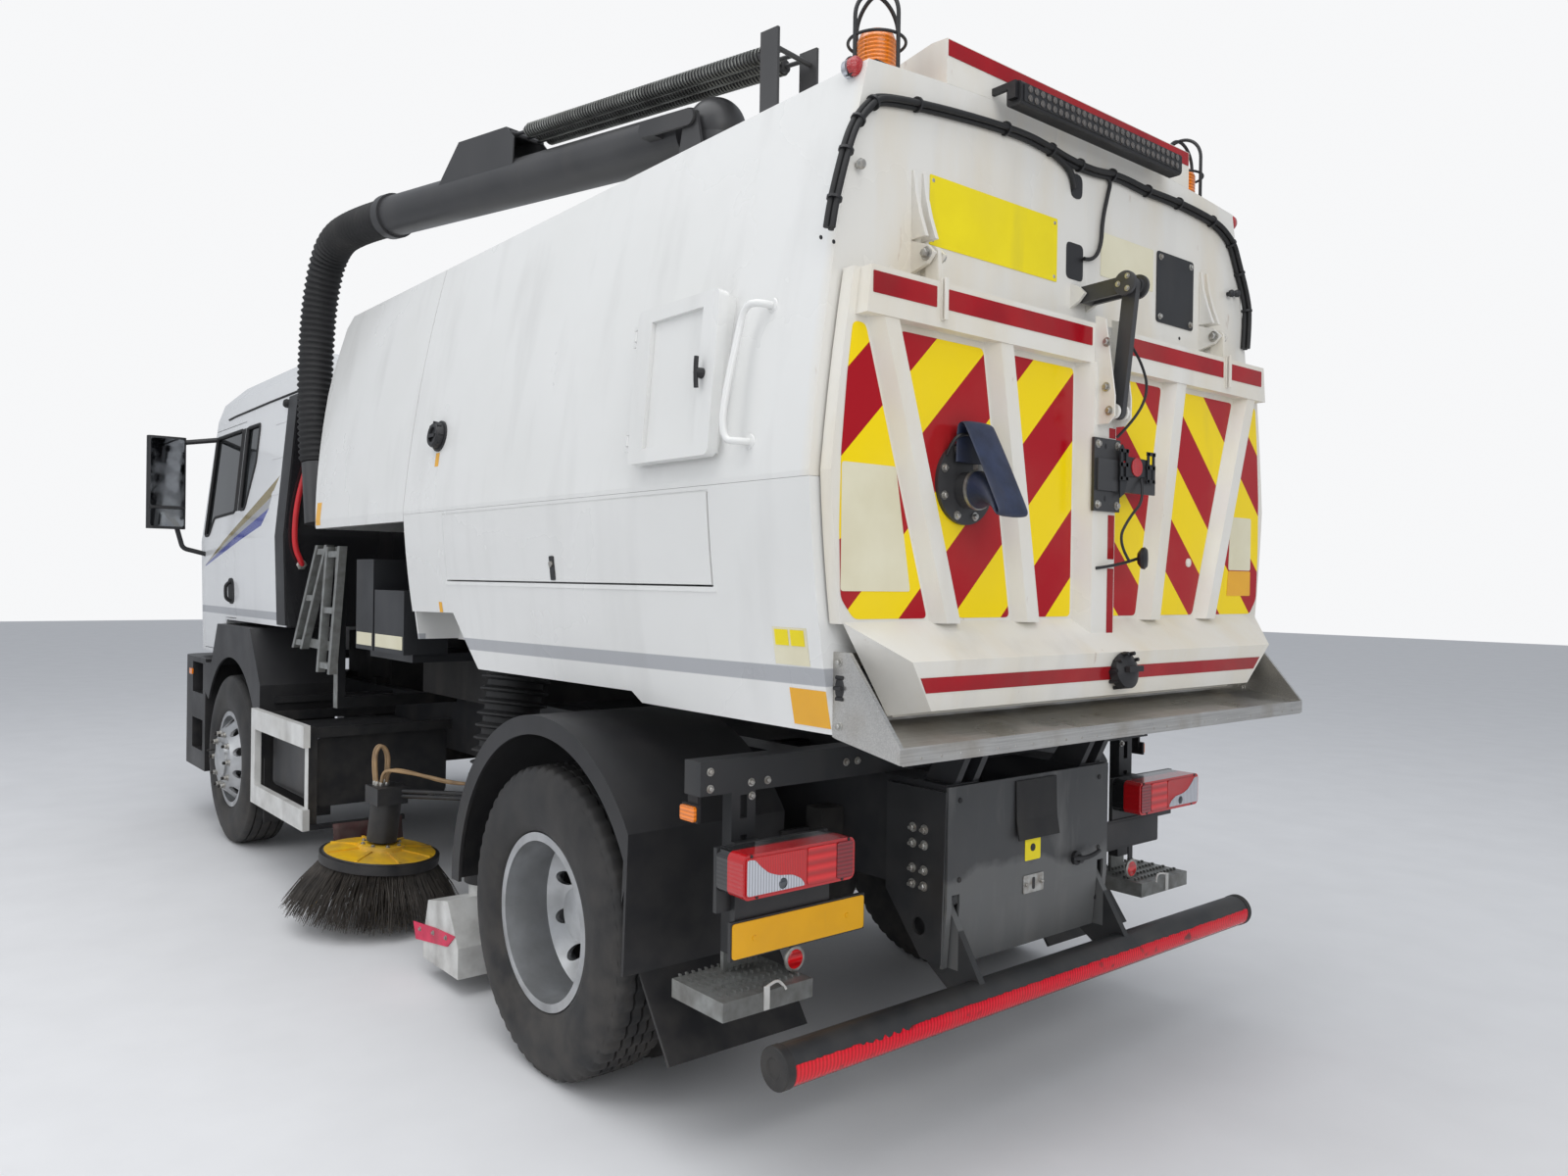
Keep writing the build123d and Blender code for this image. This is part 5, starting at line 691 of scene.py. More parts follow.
def heading(line, k):
    """The direction of a line at one of its points."""
    return (line[min(k + 1, len(line) - 1)] - line[max(k - 1, 0)]).normalized()


def add_skin(bm, rings, index=0):
    """Faces that join each ring of points to the next."""
    for low, high in zip(rings, rings[1:]):
        for n in range(len(low)):
            m = (n + 1) % len(low)
            bm.faces.new((low[n], low[m], high[m], high[n])).material_index = index


def close_tube(bm, rings, index=0):
    """The skin of a tube and its two ends."""
    add_skin(bm, rings, index)
    bm.faces.new(rings[0]).material_index = index
    bm.faces.new(rings[-1][::-1]).material_index = index


def add_tube(bm, line, radius, around=10, index=0):
    """A tube along a line; its radius may change with the distance run."""
    run, rings = 0.0, []
    first, _ = side_axes(line[1] - line[0])
    for k, middle in enumerate(line):
        way = heading(line, k)
        first = (first - way * first.dot(way)).normalized()
        second = way.cross(first)
        run += (middle - line[k - 1]).length if k else 0.0
        size = radius(run) if callable(radius) else radius
        rings.append([bm.verts.new(middle + (first * cos(a) + second * sin(a)) * size) for a in turns(around)])
    close_tube(bm, rings, index)


print("a smooth line of three points has", len(smooth_line([(0, 0, 0), (1, 0, 0), (1, 1, 0)])), "points")

# %% [markdown]
# The suction hose hangs from the boom behind the cab. It is a black corrugated duct, 190 mm across, with a
# steel spiral in it, so it bends in one smooth sweep under its own weight and never kinks.
# Copies of one ring along a curve would pinch where it bends, so the whole hose is one tube with its radius
# waved: a smooth curve through the same route as the solid hose, pushed out at each rib.

# %% Boom hose
BOOM_FOOT = Vector((-2.16, 0.6, 3.38))
BOOM_END = Vector((0.19, 0.945, 3.545))
HOSE_R = 0.095
HOSE_LEAD = 0.33
RIB_PITCH = 0.034
boom_way = (BOOM_END - BOOM_FOOT).normalized()
hose_route = [
    BOOM_END, BOOM_END + boom_way * HOSE_LEAD, Vector((0.84, 1.025, 3.54)), Vector((0.96, 1.05, 3.27)),
    Vector((0.982, 1.065, 2.9)), Vector((0.955, 1.07, 2.56)), Vector((0.927, 1.065, 2.33)),
]
coarse = smooth_line(hose_route, 60)


def even_line(line, step):
    """The same line with its points a fixed step apart."""
    points, left = [line[0].copy()], step
    for here, there in zip(line, line[1:]):
        gap = (there - here).length
        while gap >= left:
            here = here + (there - here) * (left / gap)
            points.append(here.copy())
            gap, left = (there - here).length, step
        left -= gap
    return points


hose_line = even_line(coarse, RIB_PITCH / 6)
bm = bmesh.new()
add_tube(bm, hose_line, lambda run: HOSE_R - 0.006 + 0.006 * cos(2 * pi * run / RIB_PITCH), around=40)
finish_piece("suction_hose", bm, "boom", rubber, stands_for=("boom_hose",), smooth=60)
print("hose length", round((len(hose_line) - 1) * RIB_PITCH / 6, 3), "m, ribs", int(len(hose_line) / 6))

# %% [markdown]
# Truck tyres are 275/70 R22.5. The steered tyres have plain ribs; the driven twins have cross-cut blocks.
# A tyre is turned from its section, and each tread block is made by pushing the ring's points in at the
# grooves, so the outline shows real gaps. The sidewall keeps one raised rim-guard ring.

# %% Tyres
AXLE_F, AXLE_R, AXLE_Z = 2.19, -2.06, 0.531
TYRE_R = 0.531
WHEEL_Y_F, WHEEL_Y_R, TWIN_STEP = 1.074, 1.107, 0.32
TYRE_STATIONS = [
    # across the tyre from its middle, radius: bead, sidewall, shoulder
    (0.104, 0.2855), (0.106, 0.304), (0.12, 0.309), (0.131, 0.335), (0.1355, 0.372), (0.137, 0.376), (0.1385, 0.392),
    (0.1395, 0.402), (0.138, 0.43), (0.133, 0.462), (0.125, 0.488), (0.1165, 0.502), (0.1155, 0.509), (0.112, 0.518),
    (0.106, 0.5235),
]
GROOVES = {"ribs": (0.026, 0.076), "blocks": (0.018, 0.058)}
GROOVE_DEEP, GROOVE_HALF = 0.012, 0.0045
TYRE_AROUND = 168


def tread_stations(pattern):
    """The crown from the middle outwards: flat ribs with straight-sided grooves between them."""
    rows, crown = [(0.0, TYRE_R)], lambda y: TYRE_R - 0.28 * y * y
    for middle in GROOVES[pattern]:
        for shift, deep in ((-GROOVE_HALF, 0), (-GROOVE_HALF + 0.0015, 1), (GROOVE_HALF - 0.0015, 1),
                            (GROOVE_HALF, 0)):
            rows.append((middle + shift, crown(middle + shift) - deep * GROOVE_DEEP))
    return rows + [(0.1, crown(0.1) - 0.0005)]


BLOCK_CUT, BLOCKS_FROM_R, BLOCK_SLANT = 0.009, 0.505, 0.35
SHOULDER_CUT, SHOULDER = 0.004, (0.085, 0.108)


def add_tyre(bm, x, y_middle, side, pattern):
    """One tyre as a ring of stations, with cross cuts in the tread."""
    blocks = pattern == "blocks"
    half = tread_stations(pattern) + TYRE_STATIONS[::-1]
    rings = []
    for y, radius in [(-y, r) for y, r in half[:0:-1]] + half:
        if blocks:
            cut = BLOCK_CUT if radius > BLOCKS_FROM_R else 0.0
        else:
            cut = SHOULDER_CUT if SHOULDER[0] < abs(y) < SHOULDER[1] else 0.0
        slant = BLOCK_SLANT * abs(y) / 0.1 if blocks else 0
        ring = []
        for k in range(TYRE_AROUND):
            reach = radius - (0.0 if k % 3 else cut)
            angle = 2 * pi * (k + slant) / TYRE_AROUND
            ring.append(bm.verts.new((x + reach * cos(angle), y_middle + side * y, AXLE_Z + reach * sin(angle))))
        rings.append(ring)
    add_skin(bm, rings + rings[:1])


def ring_marks(tree, where, tone):
    """Brown dust that clings to the sidewall in rings."""
    return blend(tree, fade(tree, cloud(tree, where, 0.25, 8.0), 0.45, 0.72, 0.0, 0.5), tone,
                        (0.04, 0.037, 0.034, 1))


SIDES = ((1, "left"), (-1, "right"))
tyre_rubber = worn("tyre_rubber", (0.015, 0.015, 0.016), 0.62, grime=0.18, dust=0.3, grain=0.0025, relief=0.4,
                   paint_over=ring_marks)
for side, name in SIDES:
    bm = bmesh.new()
    add_tyre(bm, AXLE_F, side * WHEEL_Y_F, side, "ribs")
    finish_piece(f"steer_tyre_{name}", bm, f"wheel_front_{name}", tyre_rubber, 50,
                 stands_for=(f"tyre_front_{name}",))
    bm = bmesh.new()
    for step in (0.0, TWIN_STEP):
        add_tyre(bm, AXLE_R, side * (WHEEL_Y_R - step), side, "blocks")
    finish_piece(f"drive_tyres_{name}", bm, f"wheels_rear_{name}", tyre_rubber, 50,
                 stands_for=(f"tyres_rear_{name}",))
print("tyres of", TYRE_AROUND, "steps round")

# %% [markdown]
# A sweeping brush is a disc with a ring of tufts, each a pinch of flat wires and plastic strands set at a
# slant so that they splay as they wear. Drawn one by one they cast the right ragged edge on the ground.
# Each strand is a thin three-sided spike, bent a little along its length by a fixed random seed.

# %% Brush bristles
BRUSH_AT = {1: Vector((-0.01, 1.03, 0.33)), -1: Vector((-0.01, -1.03, 0.33))}
BRUSH_LEAN = radians(6.0)
STRANDS, ROWS, ROW_STEP, TIP_ROW_STEP, STRAND_SIDES = 1700, 4, 0.026, 0.032, 3
ROOT_R, ROOT_DOWN, TIP_R, TIP_DOWN = 0.185, 0.028, 0.315, 0.266
FINE_WIRE, THICK_STRAND, FINE_SHARE = 0.0022, 0.0034, 0.8
dice = random.Random(7)


def brush_frame(side):
    """The brush's own axes: along its shaft and two across it."""
    way = Vector((-sin(BRUSH_LEAN) * 0.6, -sin(BRUSH_LEAN) * 0.8 * side, cos(BRUSH_LEAN))).normalized()
    first, second = side_axes(way)
    return BRUSH_AT[side], way, first, second


bristle = worn("bristle_strands", (0.032, 0.024, 0.018), 0.6, second=(0.014, 0.012, 0.011), patch=0.03, grime=0.5,
               dust=0.35)
worn_strand = worn("worn_marker_strand", (0.85, 0.5, 0.02), 0.5, grime=0.2, dust=0.2)
for side, name in SIDES:
    centre, way, first, second = brush_frame(side)
    bm = bmesh.new()
    for strand in range(STRANDS):
        row = strand % ROWS
        angle = 2 * pi * (strand / STRANDS * ROWS + row * 0.02) + dice.gauss(0, 0.012)
        out = first * cos(angle) + second * sin(angle)
        round_way = second * cos(angle) - first * sin(angle)
        root = centre + out * (ROOT_R + ROW_STEP * row + dice.gauss(0, 0.003)) - way * ROOT_DOWN
        tip_r = TIP_R + TIP_ROW_STEP * row + dice.gauss(0, 0.012)
        hang = TIP_DOWN - abs(dice.gauss(0, 0.01))
        tip = centre + out * tip_r - way * hang + round_way * dice.gauss(0.01, 0.02)
        middle = (root + tip) / 2 + out * 0.012 + round_way * dice.gauss(0, 0.006)
        thick = FINE_WIRE if dice.random() < FINE_SHARE else THICK_STRAND
        rings = []
        for spot, share in ((root, 1.0), (middle, 0.9), (tip, 0.45)):
            rings.append([bm.verts.new(spot + (out * cos(2.1 * n) + round_way * sin(2.1 * n)) * thick * share)
                          for n in range(STRAND_SIDES)])
        add_skin(bm, rings, int(strand % 340 < 2))
        bm.faces.new(rings[-1])
    # the disc: a domed yellow top, a black rim band and a flat hub
    rows = [(-0.03, 0.15), (-0.03, 0.28), (-0.012, 0.283), (0.016, 0.283), (0.0165, 0.268), (0.022, 0.262),
            (0.03, 0.2), (0.036, 0.112), (0.056, 0.108), (0.058, 0.1), (0.058, 0.03)]
    add_turned(bm, centre, way, rows[:6], 72, 2)
    add_turned(bm, centre, way, rows[5:], 72, 3)
    for angle in turns(8):
        out, round_way = first * cos(angle) + second * sin(angle), second * cos(angle) - first * sin(angle)
        start, end = centre + out * 0.11 + way * 0.034, centre + out * 0.258 + way * 0.02
        corners = [start - round_way * 0.01, start + round_way * 0.01, end + round_way * 0.006,
                   end - round_way * 0.006]
        add_plate(bm, corners, way * 0.01, 3)
        add_bolt(bm, centre + out * 0.09 + way * 0.057, way, 0.008, 4)
    finish_piece(f"brush_{name}_bristles", bm, f"brush_{name}",
                 [bristle, worn_strand, black_plastic, yellow_paint, zinc], 35,
                 stands_for=(f"brush_{name}",))
print("strands in each brush", STRANDS)

# %% [markdown]
# The tailgate wears retro-reflective film, cut to each field between the ribs. Red and yellow stripes run
# at 45 degrees up to the middle on both sides, so that traffic sees arrows that point to a side to pass on.
# The film is a real thin sheet here, and its stripes are painted by place: height plus distance from the
# middle is the same all along a stripe. Its face is glossy over a fine grid of glass beads.

# %% Tailgate film
SKIN_BACK = -3.392
STRIPE = 0.2145
STRIPE_LEFT, STRIPE_RIGHT = 3.334, 3.068
FILM_RED, FILM_YELLOW = (0.4, 0.002, 0.01), (0.95, 0.7, 0.002)
PROUD = 0.0003  # how far a film or a fitting stands off the face that carries it
BEAD_SCALE = 330.0


def reflective_film(name, pattern):
    """Glossy film over a bead grid; the pattern gives its colour by place."""
    made, tree, surface, where = start_finish(name, 0.3, Coat_Weight=0.08, Coat_Roughness=0.12, Specular_IOR_Level=0.2)
    faded = fade(tree, cloud(tree, where, 0.5, 6.0), 0.42, 0.75, 0.0, 0.07)
    tone = blend(tree, faded, pattern(tree, where), (0.55, 0.42, 0.3, 1))
    wet = fade(tree, cloud(tree, where, 0.12, 8.0, (1.0, 1.0, 0.2)), 0.6, 0.8, 0.0, 0.18)
    feed(surface, "Base Color", blend(tree, wet, tone, DUST))
    feed(surface, "Roughness", fade(tree, wet, 0.0, 0.35, 0.16, 0.5))
    beads = add_node(tree, "TexVoronoi", {"Vector": where, "Scale": BEAD_SCALE})
    emboss(surface, beads.outputs["Distance"], 0.12, 0.0006)
    return made


def plain_film(name, first, second, patch=0.2):
    """Film of one colour that has faded in patches."""
    return reflective_film(name, lambda tree, where: blend(
        tree, fade(tree, cloud(tree, where, patch), 0.3, 0.7), (*first, 1), (*second, 1)))


def stripes(tree, where):
    """Red and yellow by the sum of height and distance from the middle."""
    _, y, z = split(tree, where)
    total = calc(tree, "ADD", z, calc(tree, "ABSOLUTE", y))
    left = over(tree, y, 0.0)
    start = calc(tree, "ADD", calc(tree, "MULTIPLY", left, STRIPE_LEFT - STRIPE_RIGHT + STRIPE), STRIPE_RIGHT - STRIPE)
    share = calc(tree, "FRACT", calc(tree, "DIVIDE", calc(tree, "SUBTRACT", start, total), 2 * STRIPE))
    return blend(tree, over(tree, share, 0.5), (*FILM_RED, 1), (*FILM_YELLOW, 1))


chevron_film = reflective_film("chevron_film", stripes)
red_film = plain_film("red_film", FILM_RED, (0.28, 0.006, 0.012))
print("films", chevron_film.name, red_film.name)

# %% [markdown]
# Each field of film is cut to the ribs beside it, with a finger's gap and rounded corners, because square
# corners of film lift first. The ribs lean, so a field's edges are worked out from the ribs' ends.

# %% Tailgate film: the fields between the ribs
RIB_HALF, MIDDLE_RIB_HALF, FILM_EDGE = 0.056, 0.088, 0.009
RIB_TOP, RIB_FOOT = 2.412, 1.598
FIELD_TOP, FIELD_LOW = 2.392, 1.612


def rib_y(top, low, z):
    """Middle of a rib at a height, from its ends."""
    return top + (low - top) * (RIB_TOP - z) / (RIB_TOP - RIB_FOOT)


def field(inner, outer):
    """A field between two ribs (y at the top, y at the foot), or out to the gate's edge."""
    corners = []
    gap = (MIDDLE_RIB_HALF if inner == (0, 0) else RIB_HALF) + FILM_EDGE
    for z in (FIELD_TOP, FIELD_LOW):
        corners.append((rib_y(*inner, z) + gap, z))
    if outer:
        corners += [(rib_y(*outer, z) - RIB_HALF - FILM_EDGE, z) for z in (FIELD_LOW, FIELD_TOP)]
    else:
        corners += [(1.03, FIELD_LOW), (1.078, 1.668), (1.086, 1.85), (1.083, 2.05), (1.066, 2.25), (1.048, FIELD_TOP)]
    return corners


def round_corners(corners, radius, steps=4):
    """A flat outline with each corner rounded by a short bend."""
    out = []
    count = len(corners)
    for k, corner in enumerate(corners):
        here = Vector(corner)
        before, after = Vector(corners[k - 1]), Vector(corners[(k + 1) % count])
        reach = min(radius, (before - here).length * 0.45, (after - here).length * 0.45)
        start, end = here + (before - here).normalized() * reach, here + (after - here).normalized() * reach
        for n in range(steps + 1):
            t = n / steps
            out.append(tuple(start * (1 - t) ** 2 + here * 2 * t * (1 - t) + end * t ** 2))
    return out


def add_sheet(bm, at_x, corners, thick=0.0012, index=0):
    """A flat sheet on a face that looks backward."""
    add_plate(bm, [(at_x, y, z) for y, z in corners], (-thick, 0, 0), index)


def add_label(bm, at_x, y0, y1, z0, z1, index=0, thick=0.0012, corner=0.006):
    """A rectangle with round corners on a face that looks backward."""
    add_sheet(bm, at_x, round_corners(rect(y0, y1, z0, z1), corner), thick, index)


RIBS = [(0, 0), (0.47, 0.328), (0.945, 0.683), None]
bm = bmesh.new()
for side in (1, -1):
    for inner, outer in zip(RIBS, RIBS[1:]):
        corners = round_corners(field(inner, outer), 0.018)
        add_sheet(bm, SKIN_BACK - PROUD, [(side * y, z) for y, z in corners], 0.0014)
finish_piece("chevron_panels", bm, "gate", chevron_film, smooth=None)

print("film fields", 2 * (len(RIBS) - 1), "stripe width", round(STRIPE / sqrt(2), 3), "m")

# %% [markdown]
# Red tape marks the beam, in lengths between the arms and the bracket, the flap, a few short upright pieces
# and the hood's edge. The flap slants, so its tape is laid by a function that gives places on the slant.

# %% Tailgate tape
BEAM_FACE = SKIN_BACK - 0.045
bm = bmesh.new()
for y0, y1 in ((1.02, 0.778), (0.732, 0.062), (-0.105, -0.732), (-0.778, -1.006)):
    add_label(bm, BEAM_FACE - PROUD, y0, y1, 2.463, 2.52, corner=0.003)
FLAP_TOP, FLAP_FOOT = Vector((-3.519, 0, 1.504)), Vector((-3.492, 0, 1.368))


def on_flap(y, z, proud=0.0004):
    """A place on the flap's slanting front."""
    share = (FLAP_TOP.z - z) / (FLAP_TOP.z - FLAP_FOOT.z)
    return (FLAP_TOP.x + (FLAP_FOOT.x - FLAP_TOP.x) * share - proud, y, z)


flap_tape = [(0.898, 1.46), (-0.884, 1.46), (-0.856, 1.418), (0.868, 1.418)]
add_plate(bm, [on_flap(y, z) for y, z in flap_tape], (-0.0012, 0, 0.0002))
for z0, z1 in ((1.552, 1.765), (1.795, 1.935), (2.18, 2.212)):
    add_sheet(bm, SKIN_BACK - 0.0553, rect(-0.022, -0.056, z0, z1), 0.001)
finish_piece("red_tape", bm, "gate", red_film, smooth=None)
HOP_REAR = -3.34
bm = bmesh.new()
add_sheet(bm, HOP_REAR - 0.0004, rect(0.64, -0.64, 3.226, 3.272))
finish_piece("hood_tape", bm, "hopper", red_film, smooth=None)
print("tapes", last(2))

# %% [markdown]
# Each wheel is held by ten nuts on a circle of 335 mm, with washers that leave a clean ring in the dust. The
# steered wheels' nuts stand on a face near the tyre's outside; the driven twins' nuts sit deep in the dish. A
# rubber-cased valve reaches out through one hand hole. Nuts, washers and studs are one mesh for each wheel, so
# that they turn with it.

# %% Wheel nuts
NUT_RING, NUT_SIZE, NUTS = 0.1675, 0.0155, 10
for side, name in SIDES:
    for x, face, body in ((AXLE_F, WHEEL_Y_F + 0.16, "wheel_front"), (AXLE_R, WHEEL_Y_R - 0.146, "wheels_rear")):
        bm = bmesh.new()
        out = Vector((0, side, 0))
        for angle in turns(NUTS):
            at = Vector((x + NUT_RING * cos(angle), side * face, AXLE_Z + NUT_RING * sin(angle)))
            washer = [(0.0005, 0), (0.0005, NUT_SIZE * 1.35), (0.005, NUT_SIZE * 1.3), (0.005, 0)]
            add_turned(bm, at, out, washer, 20)
            nut = [(0, 0), (0, NUT_SIZE), (0.016, NUT_SIZE), (0.019, NUT_SIZE * 0.8), (0.019, 0)]
            add_turned(bm, at + out * 0.005, out, nut, 6)
            stud = [(0, 0), (0, 0.01), (0.014, 0.01), (0.016, 0.008), (0.016, 0)]
            add_turned(bm, at + out * 0.024, out, stud, 12, 1)
        valve = Vector((x + 0.262, side * (face - 0.05), AXLE_Z + 0.03))
        valve_tip = valve + Vector((-0.025, side * 0.075, 0))
        add_bar(bm, valve, valve_tip, 0.0045, 10, 2)
        add_turned(bm, valve_tip, out, [(0, 0), (0, 0.007), (0.012, 0.007), (0.014, 0)], 10, 2)
        finish_piece(f"{body}_{name}_nuts", bm, f"{body}_{name}", [zinc, cast_iron, rubber], 30)
print("nuts", NUTS * 4)

# %% [markdown]
# The tailgate also carries a drain with a flat blue hose folded back on itself. A lay-flat hose is round where
# it is clamped and goes flat within a hand's width, so one tube with a changing section makes it. The folds
# turn about lines that run across the truck, so the tube's broad side is kept along them.

# %% Tailgate drain and its hose
BACK = Vector((-1, 0, 0))
blue_hose = worn("layflat_blue", (0.018, 0.03, 0.075), 0.5, second=(0.012, 0.018, 0.04), patch=0.06, grime=0.35,
                 dust=0.1, grain=0.003, relief=0.5)
cream_film = plain_film("cream_film", (0.8, 0.76, 0.58), (0.72, 0.67, 0.48))
amber_film = plain_film("amber_film", (0.9, 0.46, 0.03), (0.8, 0.4, 0.03))
yellow_film = plain_film("yellow_film", (0.92, 0.76, 0.01), (0.84, 0.68, 0.01))
OUTLET_Y, OUTLET_Z = 0.61, 1.995
bm = bmesh.new()
flange_face = SKIN_BACK - 0.0142
FLANGE_BOLTS, BOLT_RING = 8, 0.1
for k in range(FLANGE_BOLTS):
    angle = 2 * pi * (k + 0.5) / FLANGE_BOLTS
    at = (flange_face, OUTLET_Y + BOLT_RING * cos(angle), OUTLET_Z + BOLT_RING * sin(angle))
    add_bolt(bm, at, BACK, 0.0085)
half_loop = [(flange_face, 0.085, 0.075), (-3.426, 0.08, 0.12), (-3.438, 0.045, 0.136)]
loop = [(x, OUTLET_Y + y, OUTLET_Z + z) for x, y, z in half_loop]
loop += [(x, OUTLET_Y - y, OUTLET_Z + z) for x, y, z in half_loop[::-1]]
add_tube(bm, smooth_line(loop, 6), 0.0055, 8, 1)
clamp_at = Vector((SKIN_BACK - 0.052, OUTLET_Y, OUTLET_Z - 0.02))
add_turned(bm, clamp_at, BACK, [(0, 0.0525), (0, 0.0575), (0.01, 0.0575), (0.01, 0.0525)], 40)
add_box(bm, clamp_at + Vector((-0.013, -0.012, 0.056)), clamp_at + Vector((0.003, 0.012, 0.07)))
hose_points = [(x, OUTLET_Y, z) for x, z in (
    (-3.445, 1.975), (-3.48, 1.973), (-3.515, 1.96), (-3.545, 1.932), (-3.561, 1.907), (-3.57, 1.898), (-3.577, 1.907),
    (-3.57, 1.925), (-3.51, 2.045), (-3.455, 2.148), (-3.445, 2.161), (-3.431, 2.16), (-3.424, 2.146), (-3.422, 2.1),
    (-3.422, 2.052))]


def add_flat_tube(bm, points, radius, round_run, run_out, around=28, index=0):
    """A lay-flat hose: round at its start, then flat, folded about lines that run across the truck."""
    line, broad = smooth_line(points, 9), Vector((0, 1, 0))
    rings, run = [], 0.0
    for k, middle in enumerate(line):
        normal = broad.cross(heading(line, k))
        run += (middle - line[k - 1]).length if k else 0.0
        share = min(1.0, max(0.0, (run - round_run) / run_out))
        thin, wide = radius * (1 - 0.87 * share), radius * (1 + 0.18 * share)
        rings.append([bm.verts.new(middle + normal * thin * cos(a) + broad * wide * sin(a)) for a in turns(around)])
    close_tube(bm, rings, index)


ROUND_RUN, FLATTEN_RUN = 0.015, 0.125
add_flat_tube(bm, hose_points, 0.0535, ROUND_RUN, FLATTEN_RUN, index=2)
finish_piece("drain_hose", bm, "gate", [zinc, black_plastic, blue_hose], 50)

print("hose is flat after", ROUND_RUN + FLATTEN_RUN, "m")

# %% [markdown]
# In the gate's middle a white bracket with bolted cheeks carries the link, and below it a black plate holds the
# camera, its leads and two red lamps. They are plates and short tubes, set out from the gate's own skin.

# %% Tailgate brackets
bm = bmesh.new()
for side in (1, -1):
    # two cheeks with their bolts, and two hinge plates on the beam
    cheek = [(BEAM_FACE, 2.215), (BEAM_FACE, 2.56), (-3.475, 2.545), (-3.512, 2.3), (-3.512, 2.238), (-3.49, 2.215)]
    add_plate(bm, [(x, side * 0.0405, z) for x, z in cheek], (0, side * 0.006, 0))
    for x, z in ((-3.492, 2.255), (-3.48, 2.33), (-3.48, 2.47)):
        add_bolt(bm, (x, side * 0.0467, z), (0, side, 0), 0.01, 1)
    for x in (-3.437, -3.449):
        add_box(bm, (x - 0.0045, side * 0.755 - 0.0075, 2.43), (x, side * 0.755 + 0.0075, 2.545))
finish_piece("gate_bracket", bm, "gate", [white_gate, zinc], 40, 0.001)

bm = bmesh.new()
plate_x = SKIN_BACK - 0.0655
for y, z in ((0.052, 1.965), (-0.052, 1.965), (0.052, 2.155), (-0.052, 2.155)):
    add_bolt(bm, (plate_x, y, z), BACK, 0.009, 1)
taper = [(-0.05, 2.15), (-0.062, 2.162), (-0.09, 2.125), (-0.205, 2.122), (-0.205, 2.066), (-0.095, 2.062),
         (-0.075, 2.005), (-0.05, 1.99)]
add_sheet(bm, plate_x - 0.0105, taper, 0.004)
for y in (-0.08, -0.232):
    for rail_y in (y, y + 0.03):
        add_sheet(bm, plate_x - 0.0155, rect(rail_y - 0.006, rail_y + 0.006, 2.048, 2.146), 0.004)
    for z in (2.052, 2.097, 2.142):
        add_sheet(bm, plate_x - 0.0165, rect(y - 0.01, y + 0.04, z - 0.006, z + 0.006), 0.003)
# The slots are black sheets: painted shade where the plate's openings are.
for y, z in ((0.04, 2.1), (0.01, 2.15), (0.01, 2.06), (0.01, 1.985)):
    slot = [(y + 0.004 * cos(0.63 * n), z + 0.009 * sin(0.63 * n)) for n in range(10)]
    add_sheet(bm, plate_x - PROUD, slot, 0.0006, 3)
add_turned(bm, (plate_x - 0.0145, -0.14, 2.094), BACK, [(0, 0), (0, 0.03), (0.003, 0.03), (0.004, 0)], 28, 2)
add_turned(bm, (plate_x - 0.01, -0.075, 2.1), BACK, [(0, 0), (0, 0.02), (0.004, 0.02), (0.005, 0)], 24, 2)
camera_lead = [(plate_x - 0.012, -0.17, 2.06), (plate_x - 0.04, -0.15, 1.99), (plate_x - 0.03, -0.08, 1.93),
               (plate_x - 0.02, -0.03, 1.85), (plate_x - 0.045, -0.065, 1.785)]
loop_lead = [(-3.47, -0.03, 2.18), (-3.52, -0.06, 2.24), (-3.53, -0.11, 2.33), (-3.5, -0.12, 2.42),
             (-3.46, -0.1, 2.5), (-3.44, -0.075, 2.56)]
for lead in (camera_lead, loop_lead):
    add_tube(bm, smooth_line(lead), 0.0045, 8, 3)
camera_eye = [(0, 0), (0, 0.018), (0.012, 0.034), (0.022, 0.036), (0.03, 0.028), (0.033, 0)]
add_turned(bm, (plate_x - 0.03, -0.13, 1.8), (-1, -0.5, 0), camera_eye, 24, 3)
short_lead = [(SKIN_BACK - 0.055, 0.04, 1.765), (plate_x - 0.02, -0.04, 1.775), (plate_x - 0.03, -0.125, 1.798)]
add_tube(bm, smooth_line(short_lead, 6), 0.005, 8, 3)

# the round knob on the flap: a dished cap, a bar across it and ten grips
KNOB_Y, KNOB_Z, KNOB_GRIPS, GRIP_RING = -0.01, 1.443, 10, 0.055
knob_at = Vector(on_flap(KNOB_Y, KNOB_Z, 0.0))
knob = [(0, 0.03), (0, 0.056), (0.03, 0.058), (0.036, 0.05), (0.046, 0.03), (0.05, 0.022), (0.05, 0)]
add_turned(bm, knob_at, (-1, 0, 0.2), knob, 30, 3)
knob_front = knob_at + Vector((-0.052, 0, 0.011))
add_box(bm, knob_front - Vector((0.01, 0.038, 0.009)), knob_front + Vector((0.006, 0.038, 0.009)), 3)
for angle in turns(KNOB_GRIPS):
    grip = Vector(on_flap(KNOB_Y + GRIP_RING * cos(angle), KNOB_Z + GRIP_RING * sin(angle), 0.002))
    add_bar(bm, grip, grip + Vector((-0.03, 0, 0.006)), 0.006, 8, 3)
finish_piece("camera_bracket", bm, "gate", [dark_paint, zinc, red_lens, black_plastic], 40)

print("brackets", last(2))

# %% [markdown]
# Blank warning panels lie over the film, a button and the crank's bolted hubs finish the gate. The hubs ride on
# the crank and not on the gate, because the crank turns by its own angle.

